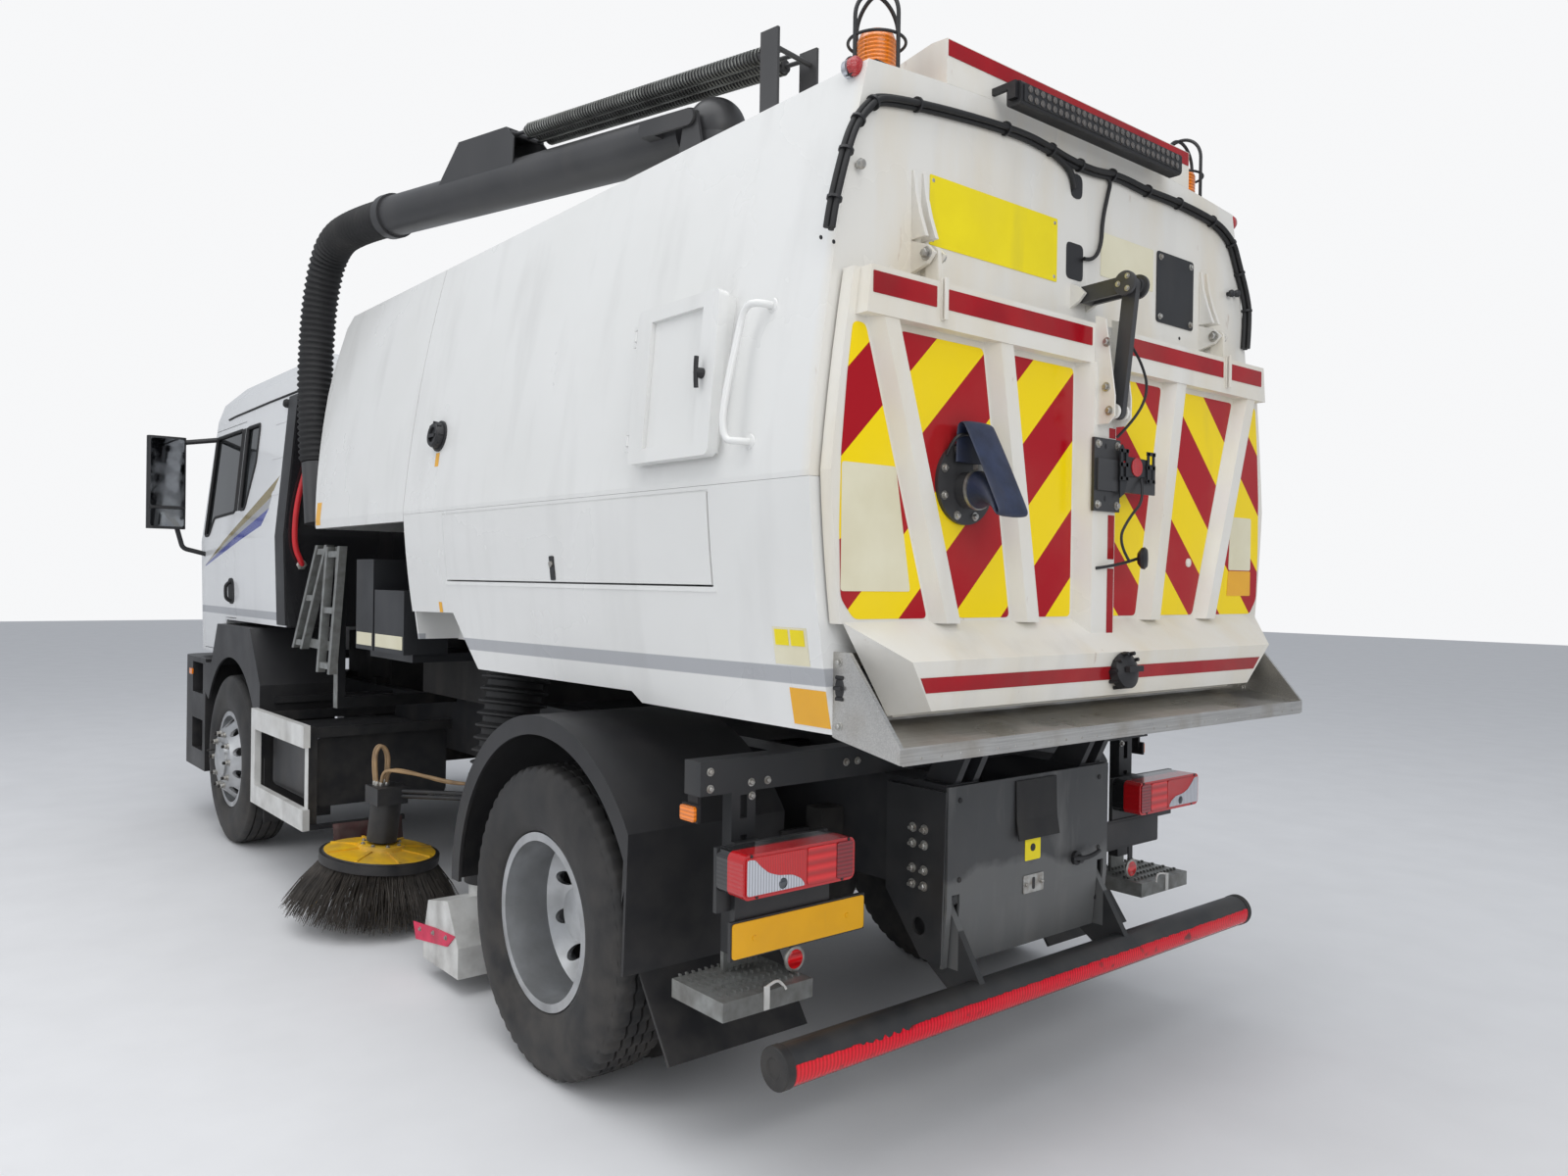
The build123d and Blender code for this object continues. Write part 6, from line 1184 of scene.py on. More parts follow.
# %% Tailgate panels and hubs
bm = bmesh.new()
film_x = SKIN_BACK - 0.002
for corners, bend, index in (
        ([(0.822, 1.686), (1.08, 1.686), (1.082, 2.023), (0.884, 2.023)], 0.01, 0),
        ([(-0.868, 1.775), (-1.028, 1.775), (-1.028, 1.972), (-0.878, 1.972)], 0.01, 0),
        ([(-0.858, 1.68), (-1.028, 1.68), (-1.028, 1.772), (-0.868, 1.772)], 0.006, 1)):
    add_sheet(bm, film_x, round_corners(corners, bend), 0.001, index)
finish_piece("gate_labels", bm, "gate", [cream_film, amber_film], None)
bm = bmesh.new()
add_turned(bm, (film_x, -0.591, 1.796), BACK, [(0, 0), (0, 0.016), (0.004, 0.015), (0.007, 0.009), (0.008, 0)], 20)
finish_piece("gate_button", bm, "gate", white_gate, 40)
CRANK_TIP = Vector((-3.535, 0, 2.645))
bm = bmesh.new()
for side in (1, -1):
    out = Vector((0, side, 0))
    add_turned(bm, CRANK_TIP + out * 0.03, out, [(0, 0), (0, 0.038), (0.01, 0.038), (0.012, 0.034), (0.012, 0)], 30)
    for angle in turns(3):
        add_bolt(bm, CRANK_TIP + out * 0.042 + Vector((0.022 * cos(angle), 0, 0.022 * sin(angle))), out, 0.006, 1)
finish_piece("crank_hubs", bm, "crank", [boom_paint, zinc], 35)
print("panels and hubs", last(3))

# %% [markdown]
# The wall above the tailgate carries what the lamps need. Three cables in a bundle climb the left edge, cross
# under the light bar and come down on the right; each is a tube along one smooth line, and ties hold them. Beside
# them are a blank yellow sign, a bolted cover, a slot for the gate's ram and folded fins over the hinges. A route
# is two numbers a point in the wall's own plane, and the three cables are one route moved sideways and lifted.

# %% Upper rear wall
BUNDLE = [
    # y, z
    (1.1, 2.63), (1.091, 2.687), (1.061, 2.796), (1.031, 2.89), (0.999, 2.947), (0.956, 2.995), (0.913, 3.023),
    (0.64, 3.06), (0.328, 3.084), (0.184, 3.073), (0.091, 3.061), (-0.054, 3.058), (-0.18, 3.077), (-0.354, 3.066),
    (-0.48, 3.071), (-0.673, 3.067), (-0.829, 3.052), (-0.928, 3.005), (-0.963, 2.945), (-1.035, 2.821),
    (-1.054, 2.747), (-1.041, 2.624),
]
CABLE_R = 0.0085


def wall_line(points, shift=0.0, lift=CABLE_R + 0.001, steps=8):
    """A smooth line that lies on the rear wall, moved along it and lifted off it."""
    line = smooth_line([(HOP_REAR, y, z) for y, z in points], steps)
    out = []
    for k, here in enumerate(line):
        out.append(here + heading(line, k).cross(BACK) * shift + BACK * lift)
    return out


bm = bmesh.new()
for shift, lift in ((-CABLE_R, 0.0095), (CABLE_R, 0.0095), (0.0, 0.0245)):
    add_tube(bm, wall_line(BUNDLE, shift, lift), CABLE_R, 10)
middle_line = wall_line(BUNDLE, 0.0, 0.013)
for k in range(6, len(middle_line) - 3, 11):
    run = (middle_line[k + 1] - middle_line[k]).normalized()
    add_turned(bm, middle_line[k] - run * 0.004, run, [(0, 0), (0, 0.0215), (0.008, 0.0215), (0.008, 0)], 14, 1)
add_tube(bm, wall_line([(0.215, 3.072), (0.17, 3.064), (0.1, 3.045), (0.058, 3.02), (0.047, 2.979)], 0, 0.012), 0.01,
         10)
add_tube(bm, wall_line([(-0.12, 3.06), (-0.155, 3.058), (-0.135, 3.0), (-0.108, 2.912), (-0.104, 2.83), (-0.062, 2.77),
                        (-0.01, 2.768)], 0, 0.01), 0.0065, 8)
finish_piece("rear_cables", bm, "hopper", [rubber, black_plastic], 50)

bm = bmesh.new()
add_label(bm, HOP_REAR - PROUD, 0.121, 0.71, 2.67, 2.869, 0, 0.0016, 0.004)
add_label(bm, HOP_REAR - PROUD, -0.425, -0.115, 2.735, 2.88, 1, 0.001, 0.004)
for y, z in rect(0.135, 0.696, 2.685, 2.854):
    add_turned(bm, (HOP_REAR - 0.0019, y, z), BACK, [(0, 0), (0, 0.006), (0.002, 0.0045), (0.003, 0)], 12, 2)
finish_piece("wall_signs", bm, "hopper", [yellow_film, cream_film, zinc], 30)

bm = bmesh.new()
# This thin black sheet is the slot for the gate's ram: painted shade where the opening is.
add_label(bm, HOP_REAR - 0.0002, -0.018, 0.072, 2.694, 2.812, 0, 0.0008, 0.02)
add_label(bm, HOP_REAR - 0.0002, -0.006, 0.054, 2.956, 3.035, 0, 0.003, 0.028)
add_label(bm, HOP_REAR - 0.0002, -0.683, -0.446, 2.637, 2.885, 1, 0.0035, 0.014)
for y, z in rect(-0.466, -0.663, 2.657, 2.865):
    add_bolt(bm, (HOP_REAR - 0.0037, y, z), BACK, 0.0075, 2)
buffer = [(0, 0), (0, 0.008), (0.01, 0.008), (0.012, 0.0135), (0.02, 0.0145), (0.027, 0.01), (0.029, 0)]
for y, z, index in ((-0.926, 2.815, 1), (-0.967, 2.822, 1), (0.994, 2.822, 2)):
    add_turned(bm, (HOP_REAR, y, z), BACK, buffer, 18, index)
for y, z in ((1.118, 2.605), (1.073, 2.603), (-0.6, 2.6)):
    add_turned(bm, (HOP_REAR - 0.0002, y, z), BACK, [(0, 0), (0, 0.006), (0.001, 0.006), (0.001, 0)], 14)
finish_piece("wall_covers", bm, "hopper", [black_plastic, dark_paint, zinc], 35, 0.0005)

bm = bmesh.new()
FIN = [(HOP_REAR, 2.668), (HOP_REAR, 2.862), (-3.347, 2.862), (-3.356, 2.795), (-3.372, 2.735), (-3.396, 2.668)]
for side in (1, -1):
    for y, bolt_y, way in ((0.728, 0.7275, -1), (0.768, 0.7825, 1)):
        add_plate(bm, [(x, side * y, z) for x, z in FIN], (0, side * 0.014, 0))
        add_bolt(bm, (-3.4, side * bolt_y, 2.617), (0, way * side, 0), 0.013, 1)
finish_piece("hinge_fins", bm, "hopper", [white_tank, zinc], 40, 0.0015)
print("cables", len(BUNDLE), "route points, wall pieces", last(4))

# %% [markdown]
# Two rotating beacons stand in wire cages on the rear corners. The lens is a ribbed amber dome with a flat top
# edge, turned from its profile. A warning bar with small square cells hangs under the hood, and short stalks
# at the corners hold round marker lamps.

# %% Beacons and light bar
BEACON_X, BEACON_Y, BEACON_FOOT = -3.21, 0.8, 3.158
RIBS_ON_DOME, DOME_PITCH = 8, 0.011
dome = [(0.0005, 0), (0.0005, 0.0575), (0.012, 0.0575)]
for k in range(RIBS_ON_DOME):
    low = 0.014 + k * DOME_PITCH
    dome += [(low, 0.0545), (low + 0.0035, 0.0565), (low + 0.0075, 0.0565), (low + DOME_PITCH, 0.0545)]
dome += [(0.106, 0.053), (0.116, 0.049), (0.124, 0.04), (0.129, 0.022), (0.13, 0)]
bm = bmesh.new()
for side in (1, -1):
    add_turned(bm, (BEACON_X, side * BEACON_Y, BEACON_FOOT), (0, 0, 1), dome, 48)
finish_piece("beacon_domes", bm, "hopper", amber_lens, 50, stands_for=("beacon_lamps",))

bm = bmesh.new()
BAR_FACE, BAR_LOW, BAR_HIGH, BAR_HALF = -3.44, 3.118, 3.187, 0.433
add_label(bm, BAR_FACE - PROUD, -BAR_HALF + 0.01, BAR_HALF - 0.01, BAR_LOW + 0.008, BAR_HIGH - 0.008, 0, 0.003)
CELLS, CELL_ROWS, CELL_MARGIN = 28, 2, 0.022
cell = [(0, 0), (0, 0.0105), (0.0015, 0.0105), (0.003, 0.007), (0.0036, 0)]
for k in range(CELLS):
    y = -BAR_HALF + CELL_MARGIN + 2 * (BAR_HALF - CELL_MARGIN) * (k + 0.5) / CELLS
    for row in range(CELL_ROWS):
        add_turned(bm, (BAR_FACE - 0.0034, y, BAR_LOW + 0.021 + row * 0.027), BACK, cell, 12, 1)
bar_lens = lens("bar_lens", (0.1, 0.085, 0.075), 0.006, "Y")
finish_piece("light_bar_cells", bm, "hopper", [black_plastic, bar_lens], 35)

bm = bmesh.new()
marker_red = lens("marker_red", (0.55, 0.01, 0.015), 0.004)
MARKER_X = -3.29
marker = [(0, 0), (0, 0.026), (0.016, 0.025), (0.024, 0.017), (0.027, 0)]
for y0, y1, z in ((0.905, 0.968, 3.108), (-0.905, -1.015, 3.112)):
    add_bar(bm, (MARKER_X, y0, z - 0.012), (MARKER_X, y1, z), 0.007, 12)
    add_turned(bm, (MARKER_X, y1, z), (0, y1 - y0, 0), [(-0.012, 0), (-0.012, 0.02), (0.014, 0.026), (0.016, 0)], 24)
    for x_way, index in ((-1, 1), (1, 2)):
        add_turned(bm, (MARKER_X + x_way * 0.004, y1, z), (x_way, 0, 0), marker, 24, index)
finish_piece("corner_markers", bm, "hopper", [black_plastic, marker_red, pale_lens], 40)
print("beacon ribs", RIBS_ON_DOME, "bar cells", CELLS * CELL_ROWS)

# %% [markdown]
# A tail lamp has three chambers behind one pressed lens: a ribbed red field, a smooth one whose brighter red is a
# painted highlight, and an inner one whose dark red is painted shade, with a pale window that sweeps down across the
# outer part.
# Each chamber is a thin moulded panel on the lamp's face. The number plate stays blank.

# %% Tail lamps and plates
LAMP_FACE = -3.115
lamp_ribs = lens("tail_lamp_red", (0.72, 0.006, 0.01), 0.006, "Y")
# The smooth middle chamber's brighter red is a painted highlight, and the inner chamber's dark red is painted shade.
lamp_smooth_painted_lit = lens("tail_lamp_painted_lit", (0.8, 0.008, 0.012), 0.03)
lamp_painted_shade = lens("tail_lamp_painted_shade", (0.3, 0.006, 0.016), 0.012)
plate_yellow = plain_film("plate_yellow", (0.93, 0.47, 0.008), (0.85, 0.42, 0.01), 0.15)
WINDOW = [(1.158, 0.842), (1.158, 0.943), (1.131, 0.941), (1.112, 0.921), (1.082, 0.898), (1.047, 0.886),
          (0.995, 0.88), (0.962, 0.864), (0.946, 0.842)]
bm = bmesh.new()
for side in (1, -1):
    for y0, y1, index in ((0.94, 1.16, 0), (0.826, 0.937, 1), (0.76, 0.823, 2)):
        add_label(bm, LAMP_FACE - PROUD, side * y0, side * y1, 0.839, 0.946, index, 0.004, 0.01)
    window = [(side * y, z) for y, z in round_corners(WINDOW, 0.008, 2)]
    add_sheet(bm, LAMP_FACE - 0.0045, window, 0.0015, 3)
    add_turned(bm, (LAMP_FACE - 0.006, side * 1.03, 0.861), BACK, [(0, 0), (0, 0.016), (0.002, 0.013), (0.003, 0)], 20,
               4)
    for y, z in ((0.775, 0.95), (1.14, 0.95), (1.12, 0.836), (0.8, 0.836)):
        add_bar(bm, (LAMP_FACE + 0.01, side * y, z), (LAMP_FACE - 0.002, side * y, z), 0.0055, 10, 5)
finish_piece("tail_lamp_lenses", bm, "chassis",
             [lamp_ribs, lamp_smooth_painted_lit, lamp_painted_shade, pale_lens, mirror_glass, black_plastic], 35, 0.0008)

bm = bmesh.new()
PLATE_FACE, LAMP_BAR_FACE, REFLECTOR_Y, REFLECTOR_Z = -3.028, -2.995, 0.88, 0.585
add_label(bm, PLATE_FACE - PROUD, 0.628, 1.138, 0.64, 0.741, 0, 0.003, 0.01)
for y in (0.7, 1.06):
    add_turned(bm, (PLATE_FACE - 0.0033, y, 0.69), BACK, [(0, 0), (0, 0.008), (0.003, 0.007), (0.004, 0)], 14)
add_label(bm, LAMP_BAR_FACE - PROUD, -1.065, -0.69, 0.676, 0.792, 1, 0.0045, 0.008)
add_label(bm, LAMP_BAR_FACE - 0.0049, -1.055, -0.7, 0.686, 0.782, 2)
ring = [(0, 0), (0, 0.038), (0.006, 0.038), (0.008, 0.034), (0.008, 0.029)]
for y in (REFLECTOR_Y, -REFLECTOR_Y):
    add_box(bm, (LAMP_BAR_FACE, y - 0.014, 0.545), (LAMP_BAR_FACE + 0.005, y + 0.014, 0.79), 1)
    add_turned(bm, (LAMP_BAR_FACE - 0.0002, y, REFLECTOR_Z), BACK, ring, 32, 3)
    add_turned(bm, (LAMP_BAR_FACE - 0.0072, y, REFLECTOR_Z), BACK, [(0, 0), (0, 0.03), (0.003, 0.027), (0.004, 0)], 32,
               4)
finish_piece("rear_plates", bm, "chassis", [plate_yellow, black_plastic, dark_paint, zinc, lamp_smooth_painted_lit],
             35)
print("lamp chambers", 6, "blank plates", 2)

# %% [markdown]
# The bar under the rear keeps cars from sliding under the truck. Its lower rear side wears red prismatic tape,
# laid in lengths and torn along its upper edge, so its edge is cut tooth by tooth with a fixed seed.
# The torn tape is an open grid of points wrapped round the bar, thickened by a modifier.

# %% Rear bar tape
GUARD_BAR_AT, GUARD_BAR_R, GUARD_BAR_HALF = Vector((-3.283, 0, 0.435)), 0.057, 1.18


def prism_ribs(tree, where):
    """Bright red with the tape's fine upright prisms."""
    ribs = ribbing(tree, where, 0.013, "Y", 0.6)
    scuff = fade(tree, cloud(tree, where, 0.05, 9.0), 0.62, 0.72, 0.0, 0.8)
    tone = blend(tree, ribs, (0.5, 0.003, 0.012, 1), (0.82, 0.008, 0.03, 1))
    return blend(tree, scuff, tone, (0.05, 0.02, 0.02, 1))


def add_grid(bm, rows, index=0):
    """Faces between open rows of points."""
    for low, high in zip(rows, rows[1:]):
        for n in range(len(low) - 1):
            bm.faces.new((low[n], low[n + 1], high[n + 1], high[n])).material_index = index


def thicken(piece, thick):
    """Gives an open sheet its thickness."""
    piece.modifiers.new("thickness", "SOLIDIFY").thickness = thick


prism_tape = reflective_film("prism_tape", prism_ribs)
bm = bmesh.new()
TAPE_STEPS, TAPE_ROWS, TAPE_MARGIN = 196, 5, 0.012
TAPE_TOP, TAPE_FOOT, TORN_AT = radians(-22.0), radians(43.0), (0.72, 0.92)
reach = GUARD_BAR_R + 0.001
rows = []
for k in range(TAPE_STEPS + 1):
    y = -GUARD_BAR_HALF + TAPE_MARGIN + 2 * (GUARD_BAR_HALF - TAPE_MARGIN) * k / TAPE_STEPS
    torn = radians(4.0 * dice.random() + (9.0 if TORN_AT[0] < y < TORN_AT[1] and k % 3 else 0.0))
    top = TAPE_TOP + torn
    angles = [top + (TAPE_FOOT - top) * n / TAPE_ROWS for n in range(TAPE_ROWS + 1)]
    rows.append([bm.verts.new((GUARD_BAR_AT.x - reach * cos(a), y, GUARD_BAR_AT.z - reach * sin(a))) for a in angles])
add_grid(bm, rows)
thicken(finish_piece("bar_tape", bm, "chassis", prism_tape, 60), 0.0008)
print("tape teeth", TAPE_STEPS)

# %% [markdown]
# Rubber caps close the bar's tube. The apron above it carries a hanging rubber flap, a latch with its handle,
# small panels and rows of bolts, all set out from the apron's face.

# %% Bar caps and apron fittings
bm = bmesh.new()
end_cap = [(0, GUARD_BAR_R + 0.0004), (0, GUARD_BAR_R + 0.0016), (0.026, GUARD_BAR_R + 0.0016),
           (0.03, GUARD_BAR_R - 0.002), (0.03, 0.03), (0.027, 0.026), (0.027, 0)]
for side in (1, -1):
    add_turned(bm, (GUARD_BAR_AT.x, side * (GUARD_BAR_HALF - 0.02), GUARD_BAR_AT.z), (0, side, 0), end_cap, 48)
APRON_X = -3.192
flap_line = [(APRON_X - 0.0015, 1.062), (APRON_X - 0.003, 1.0), (APRON_X - 0.006, 0.93), (APRON_X - 0.018, 0.868)]
for (x0, z0), (x1, z1) in zip(flap_line, flap_line[1:]):
    add_plate(bm, [(x0, -0.115, z0), (x0, 0.1, z0), (x1, 0.1, z1), (x1, -0.115, z1)], (-0.005, 0, 0))
add_label(bm, APRON_X - PROUD, -0.038, 0.044, 0.79, 0.862, 1, 0.0012, 0.006)
add_turned(bm, (APRON_X - 0.0015, 0.003, 0.832), BACK, [(0, 0), (0, 0.013), (0.0012, 0.013), (0.0012, 0)], 20, 2)
add_label(bm, APRON_X - PROUD, -0.055, 0.052, 0.682, 0.742, 3, 0.003, 0.006)
# The narrow black sheet in the middle of the zinc plate is painted shade in the plate's hole.
add_label(bm, APRON_X - 0.0035, -0.008, 0.006, 0.692, 0.732, 2, 0.0008, 0.006)
for y in (-0.044, 0.04):
    add_bolt(bm, (APRON_X - 0.0032, y, 0.712), BACK, 0.006, 3)
latch_hub = [(0, 0), (0, 0.024), (0.012, 0.024), (0.016, 0.014), (0.03, 0.014), (0.032, 0)]
add_turned(bm, (APRON_X, -0.235, 0.762), BACK, latch_hub, 24, 2)
latch_handle = [(APRON_X - 0.026, -0.185, 0.77), (APRON_X - 0.03, -0.235, 0.764), (APRON_X - 0.034, -0.3, 0.768),
                (APRON_X - 0.03, -0.335, 0.778)]
add_tube(bm, smooth_line(latch_handle, 6), 0.008, 10, 2)
rivet = [(0, 0), (0, 0.009), (0.003, 0.008), (0.004, 0)]
for side in (1, -1):
    for z in (0.93, 0.88, 0.8, 0.75):
        for x in (-3.1, -3.05):
            add_bolt(bm, (x, side * 0.4318, z), (0, side, 0), 0.0105, 3)
            add_bar(bm, (x, side * 0.44, z), (x, side * 0.452, z), 0.006, 10, 3)
    for set_in, z in ((0, 1.03), (0, 0.78), (0.01, 0.6)):
        add_turned(bm, (APRON_X - PROUD + set_in, side * 0.37, z), BACK, rivet, 12)
finish_piece("apron_fittings", bm, "chassis", [rubber, yellow_film, black_plastic, zinc], 35)
print("apron face at", APRON_X)

# %% [markdown]
# Small fittings finish the rear corner: bolts in the carrier bar, an amber side marker on a bracket under its end
# and a white strap on the step. The stainless chute has a row of dimples along its lip, two ribbed screw caps and
# two small red lamps.

# %% Rear corner and chute
CARRIER_FACE = -2.89
bm = bmesh.new()
for side in (1, -1):
    for y, z in ((0.968, 1.105), (0.905, 1.105), (1.12, 1.15), (1.12, 1.1), (0.58, 1.13), (0.53, 1.13),
                 (0.965, 1.064)):
        add_bolt(bm, (CARRIER_FACE - PROUD, side * y, z), BACK, 0.0085)
    add_box(bm, (-2.862, side * 1.138 - 0.006, 1.03), (-2.812, side * 1.138 + 0.006, 1.082), 1)
    add_box(bm, (-2.876, side * 1.148 - 0.006, 1.0), (-2.796, side * 1.148 + 0.006, 1.052), 1)
    marker_face = round_corners(rect(-2.872, -2.8, 1.004, 1.048), 0.008)
    add_plate(bm, [(x, side * 1.1543, z) for x, z in marker_face], (0, side * 0.01, 0), 2)
    add_box(bm, (-3.0645, side * 1.036 - 0.01, 0.488), (-3.0605, side * 1.036 + 0.01, 0.556), 3)
    strap = [(-3.0615, side * 1.036, 0.552), (-3.055, side * 1.0, 0.562), (-3.052, side * 0.975, 0.552),
             (-3.06, side * 0.962, 0.53)]
    add_tube(bm, smooth_line(strap, 6), 0.0045, 8, 3)
finish_piece("carrier_fittings", bm, "chassis", [zinc, black_plastic, amber_lens, side_white],
             35, 0.0006)

bm = bmesh.new()
LIP_X, LIP_Z, DIMPLES, DIMPLE_PITCH = -3.59, 1.268, 27, 0.075
dimple = [(0, 0), (0, 0.0045), (0.0015, 0.0035), (0.0018, 0)]
for k in range(DIMPLES):
    add_turned(bm, (LIP_X + 0.0005, -0.975 + DIMPLE_PITCH * k, LIP_Z), BACK, dimple, 10, 1)
screw_cap = [(0, 0.0362), (0.002, 0.046), (0.008, 0.056), (0.03, 0.056), (0.038, 0.05), (0.04, 0.044), (0.037, 0.04),
             (0.037, 0)]
for side in (1, -1):
    cap_at = Vector((-3.346, side * 1.002, 1.43))
    add_turned(bm, cap_at, BACK, screw_cap, 40)
    for angle in turns(12):
        grip = cap_at + Vector((-0.006, 0.0565 * cos(angle), 0.0565 * sin(angle)))
        add_bar(bm, grip, grip + BACK * 0.028, 0.0058, 8)
    add_box(bm, cap_at + Vector((-0.052, -0.036, -0.009)), cap_at + Vector((-0.036, 0.036, 0.009)))
    for x, z in ((-3.362, 1.498), (-3.366, 1.33)):
        for y, way in ((1.0525, side), (1.0395, -side)):
            add_bolt(bm, (x, side * y, z), (0, way, 0), 0.008, 1)
for y in (0.404, -0.459):
    add_box(bm, (-3.358, y - 0.052, 1.342), (-3.3442, y + 0.052, 1.376))
    add_label(bm, -3.3583, y - 0.045, y + 0.045, 1.347, 1.371, 2, 0.008, 0.01)
finish_piece("chute_fittings", bm, "hopper", [black_plastic, zinc, lamp_ribs], 35, 0.0005)
print("chute dimples", DIMPLES)

# %% [markdown]
# Small fittings must touch the wall that carries them. A ray sent at a solid finds that place, and the way
# the wall faces there, so a fitting is set down on the real surface with no guess of its slope.

# %% Seats by ray
solid_trees = {}


def touch(node, start, way):
    """The first place on a solid that a ray meets, and the outward direction there."""
    if node not in solid_trees:
        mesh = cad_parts[node].data
        solid_trees[node] = BVHTree.FromPolygons([v.co for v in mesh.vertices],
                                                 [tuple(p.vertices) for p in mesh.polygons])
    at, normal, _, _ = solid_trees[node].ray_cast(Vector(start), Vector(way))
    return at, normal


def on_side(node, x, z, side=1):
    """A place on a side wall, by its distance along the truck and its height."""
    return touch(node, (x, side * 2.2, z), (0, -side, 0))


def side_patch(bm, node, corners, side=1, proud=0.0004, thick=0.0012, index=0):
    """A thin sheet that follows a side wall at each of its corners."""
    spots, outward = [], Vector()
    for x, z in corners:
        at, normal = on_side(node, x, z, side)
        spots.append(at + normal * proud)
        outward += normal
    add_plate(bm, spots, outward.normalized() * thick, index)


def side_label(bm, node, low, high, side=1, index=0, proud=0.0004, thick=0.001, row=0.012):
    """A film laid on a bowed side wall in narrow rows, so that it follows the bow."""
    count = max(1, round((high[1] - low[1]) / row))
    for k in range(count):
        z0, z1 = (low[1] + (high[1] - low[1]) * (k + n) / count for n in (0, 1))
        side_patch(bm, node, [(low[0], z0), (high[0], z0), (high[0], z1), (low[0], z1)], side, proud, thick, index)


print("seat on the tank's side", [round(c, 3) for c in on_side("hopper_tank", -0.886, 2.31)[0]])

# %% [markdown]
# The body's sides carry a filler cap, a door latch, a grab handle bent from tube, and a few blank stickers. A
# sticker as one flat plate would sink into the bowed side, so it is laid in narrow rows, each seated by its own
# rays.

# %% Side fittings
STICKERS = [
    # the solid, two corners (x, z), finish
    ("hopper_tank", (-0.904, 2.18), (-0.868, 2.238), 1), ("side_panels", (-0.908, 1.556), (-0.876, 1.6), 1),
    ("hopper_cowl", (0.598, 1.972), (0.668, 2.092), 1), ("side_panels", (-3.288, 1.483), (-3.145, 1.585), 2),
    ("side_panels", (-3.338, 1.32), (-3.19, 1.42), 1),
]
filler_cap = [(0, 0), (0, 0.067), (0.008, 0.067), (0.01, 0.056), (0.032, 0.054), (0.04, 0.048), (0.04, 0.034),
              (0.03, 0.03), (0.03, 0)]
bm = bmesh.new()
for side in (1, -1):
    at, out = on_side("hopper_tank", -0.886, 2.31, side)
    add_turned(bm, at, out, filler_cap, 36)
    for angle in turns(8):
        grip = at + out * 0.012 + Vector((0.0535 * cos(angle), 0, 0.0535 * sin(angle)))
        add_bar(bm, grip, grip + out * 0.02, 0.006, 8)
    add_box(bm, at + Vector((-0.032, side * 0.026, -0.007)), at + Vector((0.032, side * 0.044, 0.007)))
for side, name in SIDES:
    latch = bmesh.new()
    side_patch(latch, f"locker_door_{name}", round_corners(rect(-1.946, -1.914, 1.702, 1.788), 0.006), side, PROUD,
               0.004)
    at, out = on_side(f"locker_door_{name}", -1.93, 1.76, side)
    add_bar(latch, at + out * 0.003, at + out * 0.011, 0.011, 20, 1)
    finish_piece(f"locker_latch_{name}", latch, f"locker_{name}", [black_plastic, zinc], 40, 0.0006)
    for node, low, high, index in STICKERS:
        side_label(bm, node, low, high, side, index)
    for x0 in (-3.277, -3.211):
        side_label(bm, "side_panels", (x0, 1.536), (x0 + 0.056, 1.579), side, 3, 0.0016)
finish_piece("side_cap_and_stickers", bm, "hopper", [black_plastic, amber_film, cream_film, yellow_film],
             35)

bm = bmesh.new()
for side in (1, -1):
    for x0, x1 in ((-0.385, -0.035), (0.014, 0.226)):
        at, _ = on_side("side_boxes", (x0 + x1) / 2, 1.4, side)
        add_plate(bm, [(x, at.y + side * 0.0004, z) for x, z in rect(x0, x1, 1.362, 1.425)], (0, side * 0.0012, 0))
finish_piece("box_tapes", bm, "chassis", cream_film, 35)

bm = bmesh.new()
for side in (1, -1):
    top, _ = on_side("hopper_tank", -3.11, 2.474, side)
    foot, _ = on_side("hopper_tank", -3.079, 2.095, side)
    off = Vector((0, side * 0.046, 0))
    line = [top - off * 0.2, top + off * 0.9 + Vector((0.004, 0, 0.004)), top + off * 1.15 + Vector((0.06, 0, 0.004)),
            top + off * 1.25 + Vector((0.078, 0, -0.06)), foot + off * 1.25 + Vector((0.058, 0, 0.08)),
            foot + off * 1.15 + Vector((0.05, 0, 0.004)), foot + off * 0.9 + Vector((0.004, 0, -0.002)),
            foot - off * 0.2]
    add_tube(bm, smooth_line(line), 0.0105, 14)
    for at in (top, foot):
        add_turned(bm, at, (0, side, 0), [(0, 0), (0, 0.022), (0.004, 0.02), (0.005, 0.012), (0.005, 0)], 20)
finish_piece("grab_handles", bm, "hopper", white_tank, 50)

bm = bmesh.new()
at, out = on_side("hatch_door", -2.89, 2.305)
add_turned(bm, at, out, [(0, 0), (0, 0.016), (0.016, 0.014), (0.024, 0.01), (0.026, 0)], 20)
half_grip = Vector((0, 0, 0.045))
add_tube(bm, smooth_line([at + out * 0.02 - half_grip, at + out * 0.024, at + out * 0.02 + half_grip], 6), 0.007, 10)
finish_piece("hatch_latch", bm, "hatch", black_plastic, 40)
print("side pieces", last(5))

# %% [markdown]
# The window openings of the cab are closed with rubber seals, and the pillar between the door's window and the
# quarter window is black. Each seal is one closed tube along the opening's rim.
# The wall's half width follows from the height, since the cab leans in above its waist. Knowing that sum,
# the seals need no rays, and both sides come out alike.

# %% Cab seals, handles and mirrors
WAIST_Z, ROOF_Z = 1.93, 2.77
CAB_HALF_AT = [(1.172, 1.125), (WAIST_Z, 1.15), (ROOF_Z, 1.075)]
SCREEN_LEAN, SCREEN_BOW, CORNER_WIDE = 0.12, 0.0823, 0.124


def cab_y(z):
    """Half the cab's width at a height."""
    for (z0, y0), (z1, y1) in zip(CAB_HALF_AT, CAB_HALF_AT[1:]):
        if z <= z1:
            break
    return y0 + (y1 - y0) * (z - z0) / (z1 - z0)


def add_loop(bm, points, radius, index=0):
    """A closed tube along a rim."""
    add_tube(bm, [Vector(p) for p in points] + [Vector(points[0])], radius, 8, index)


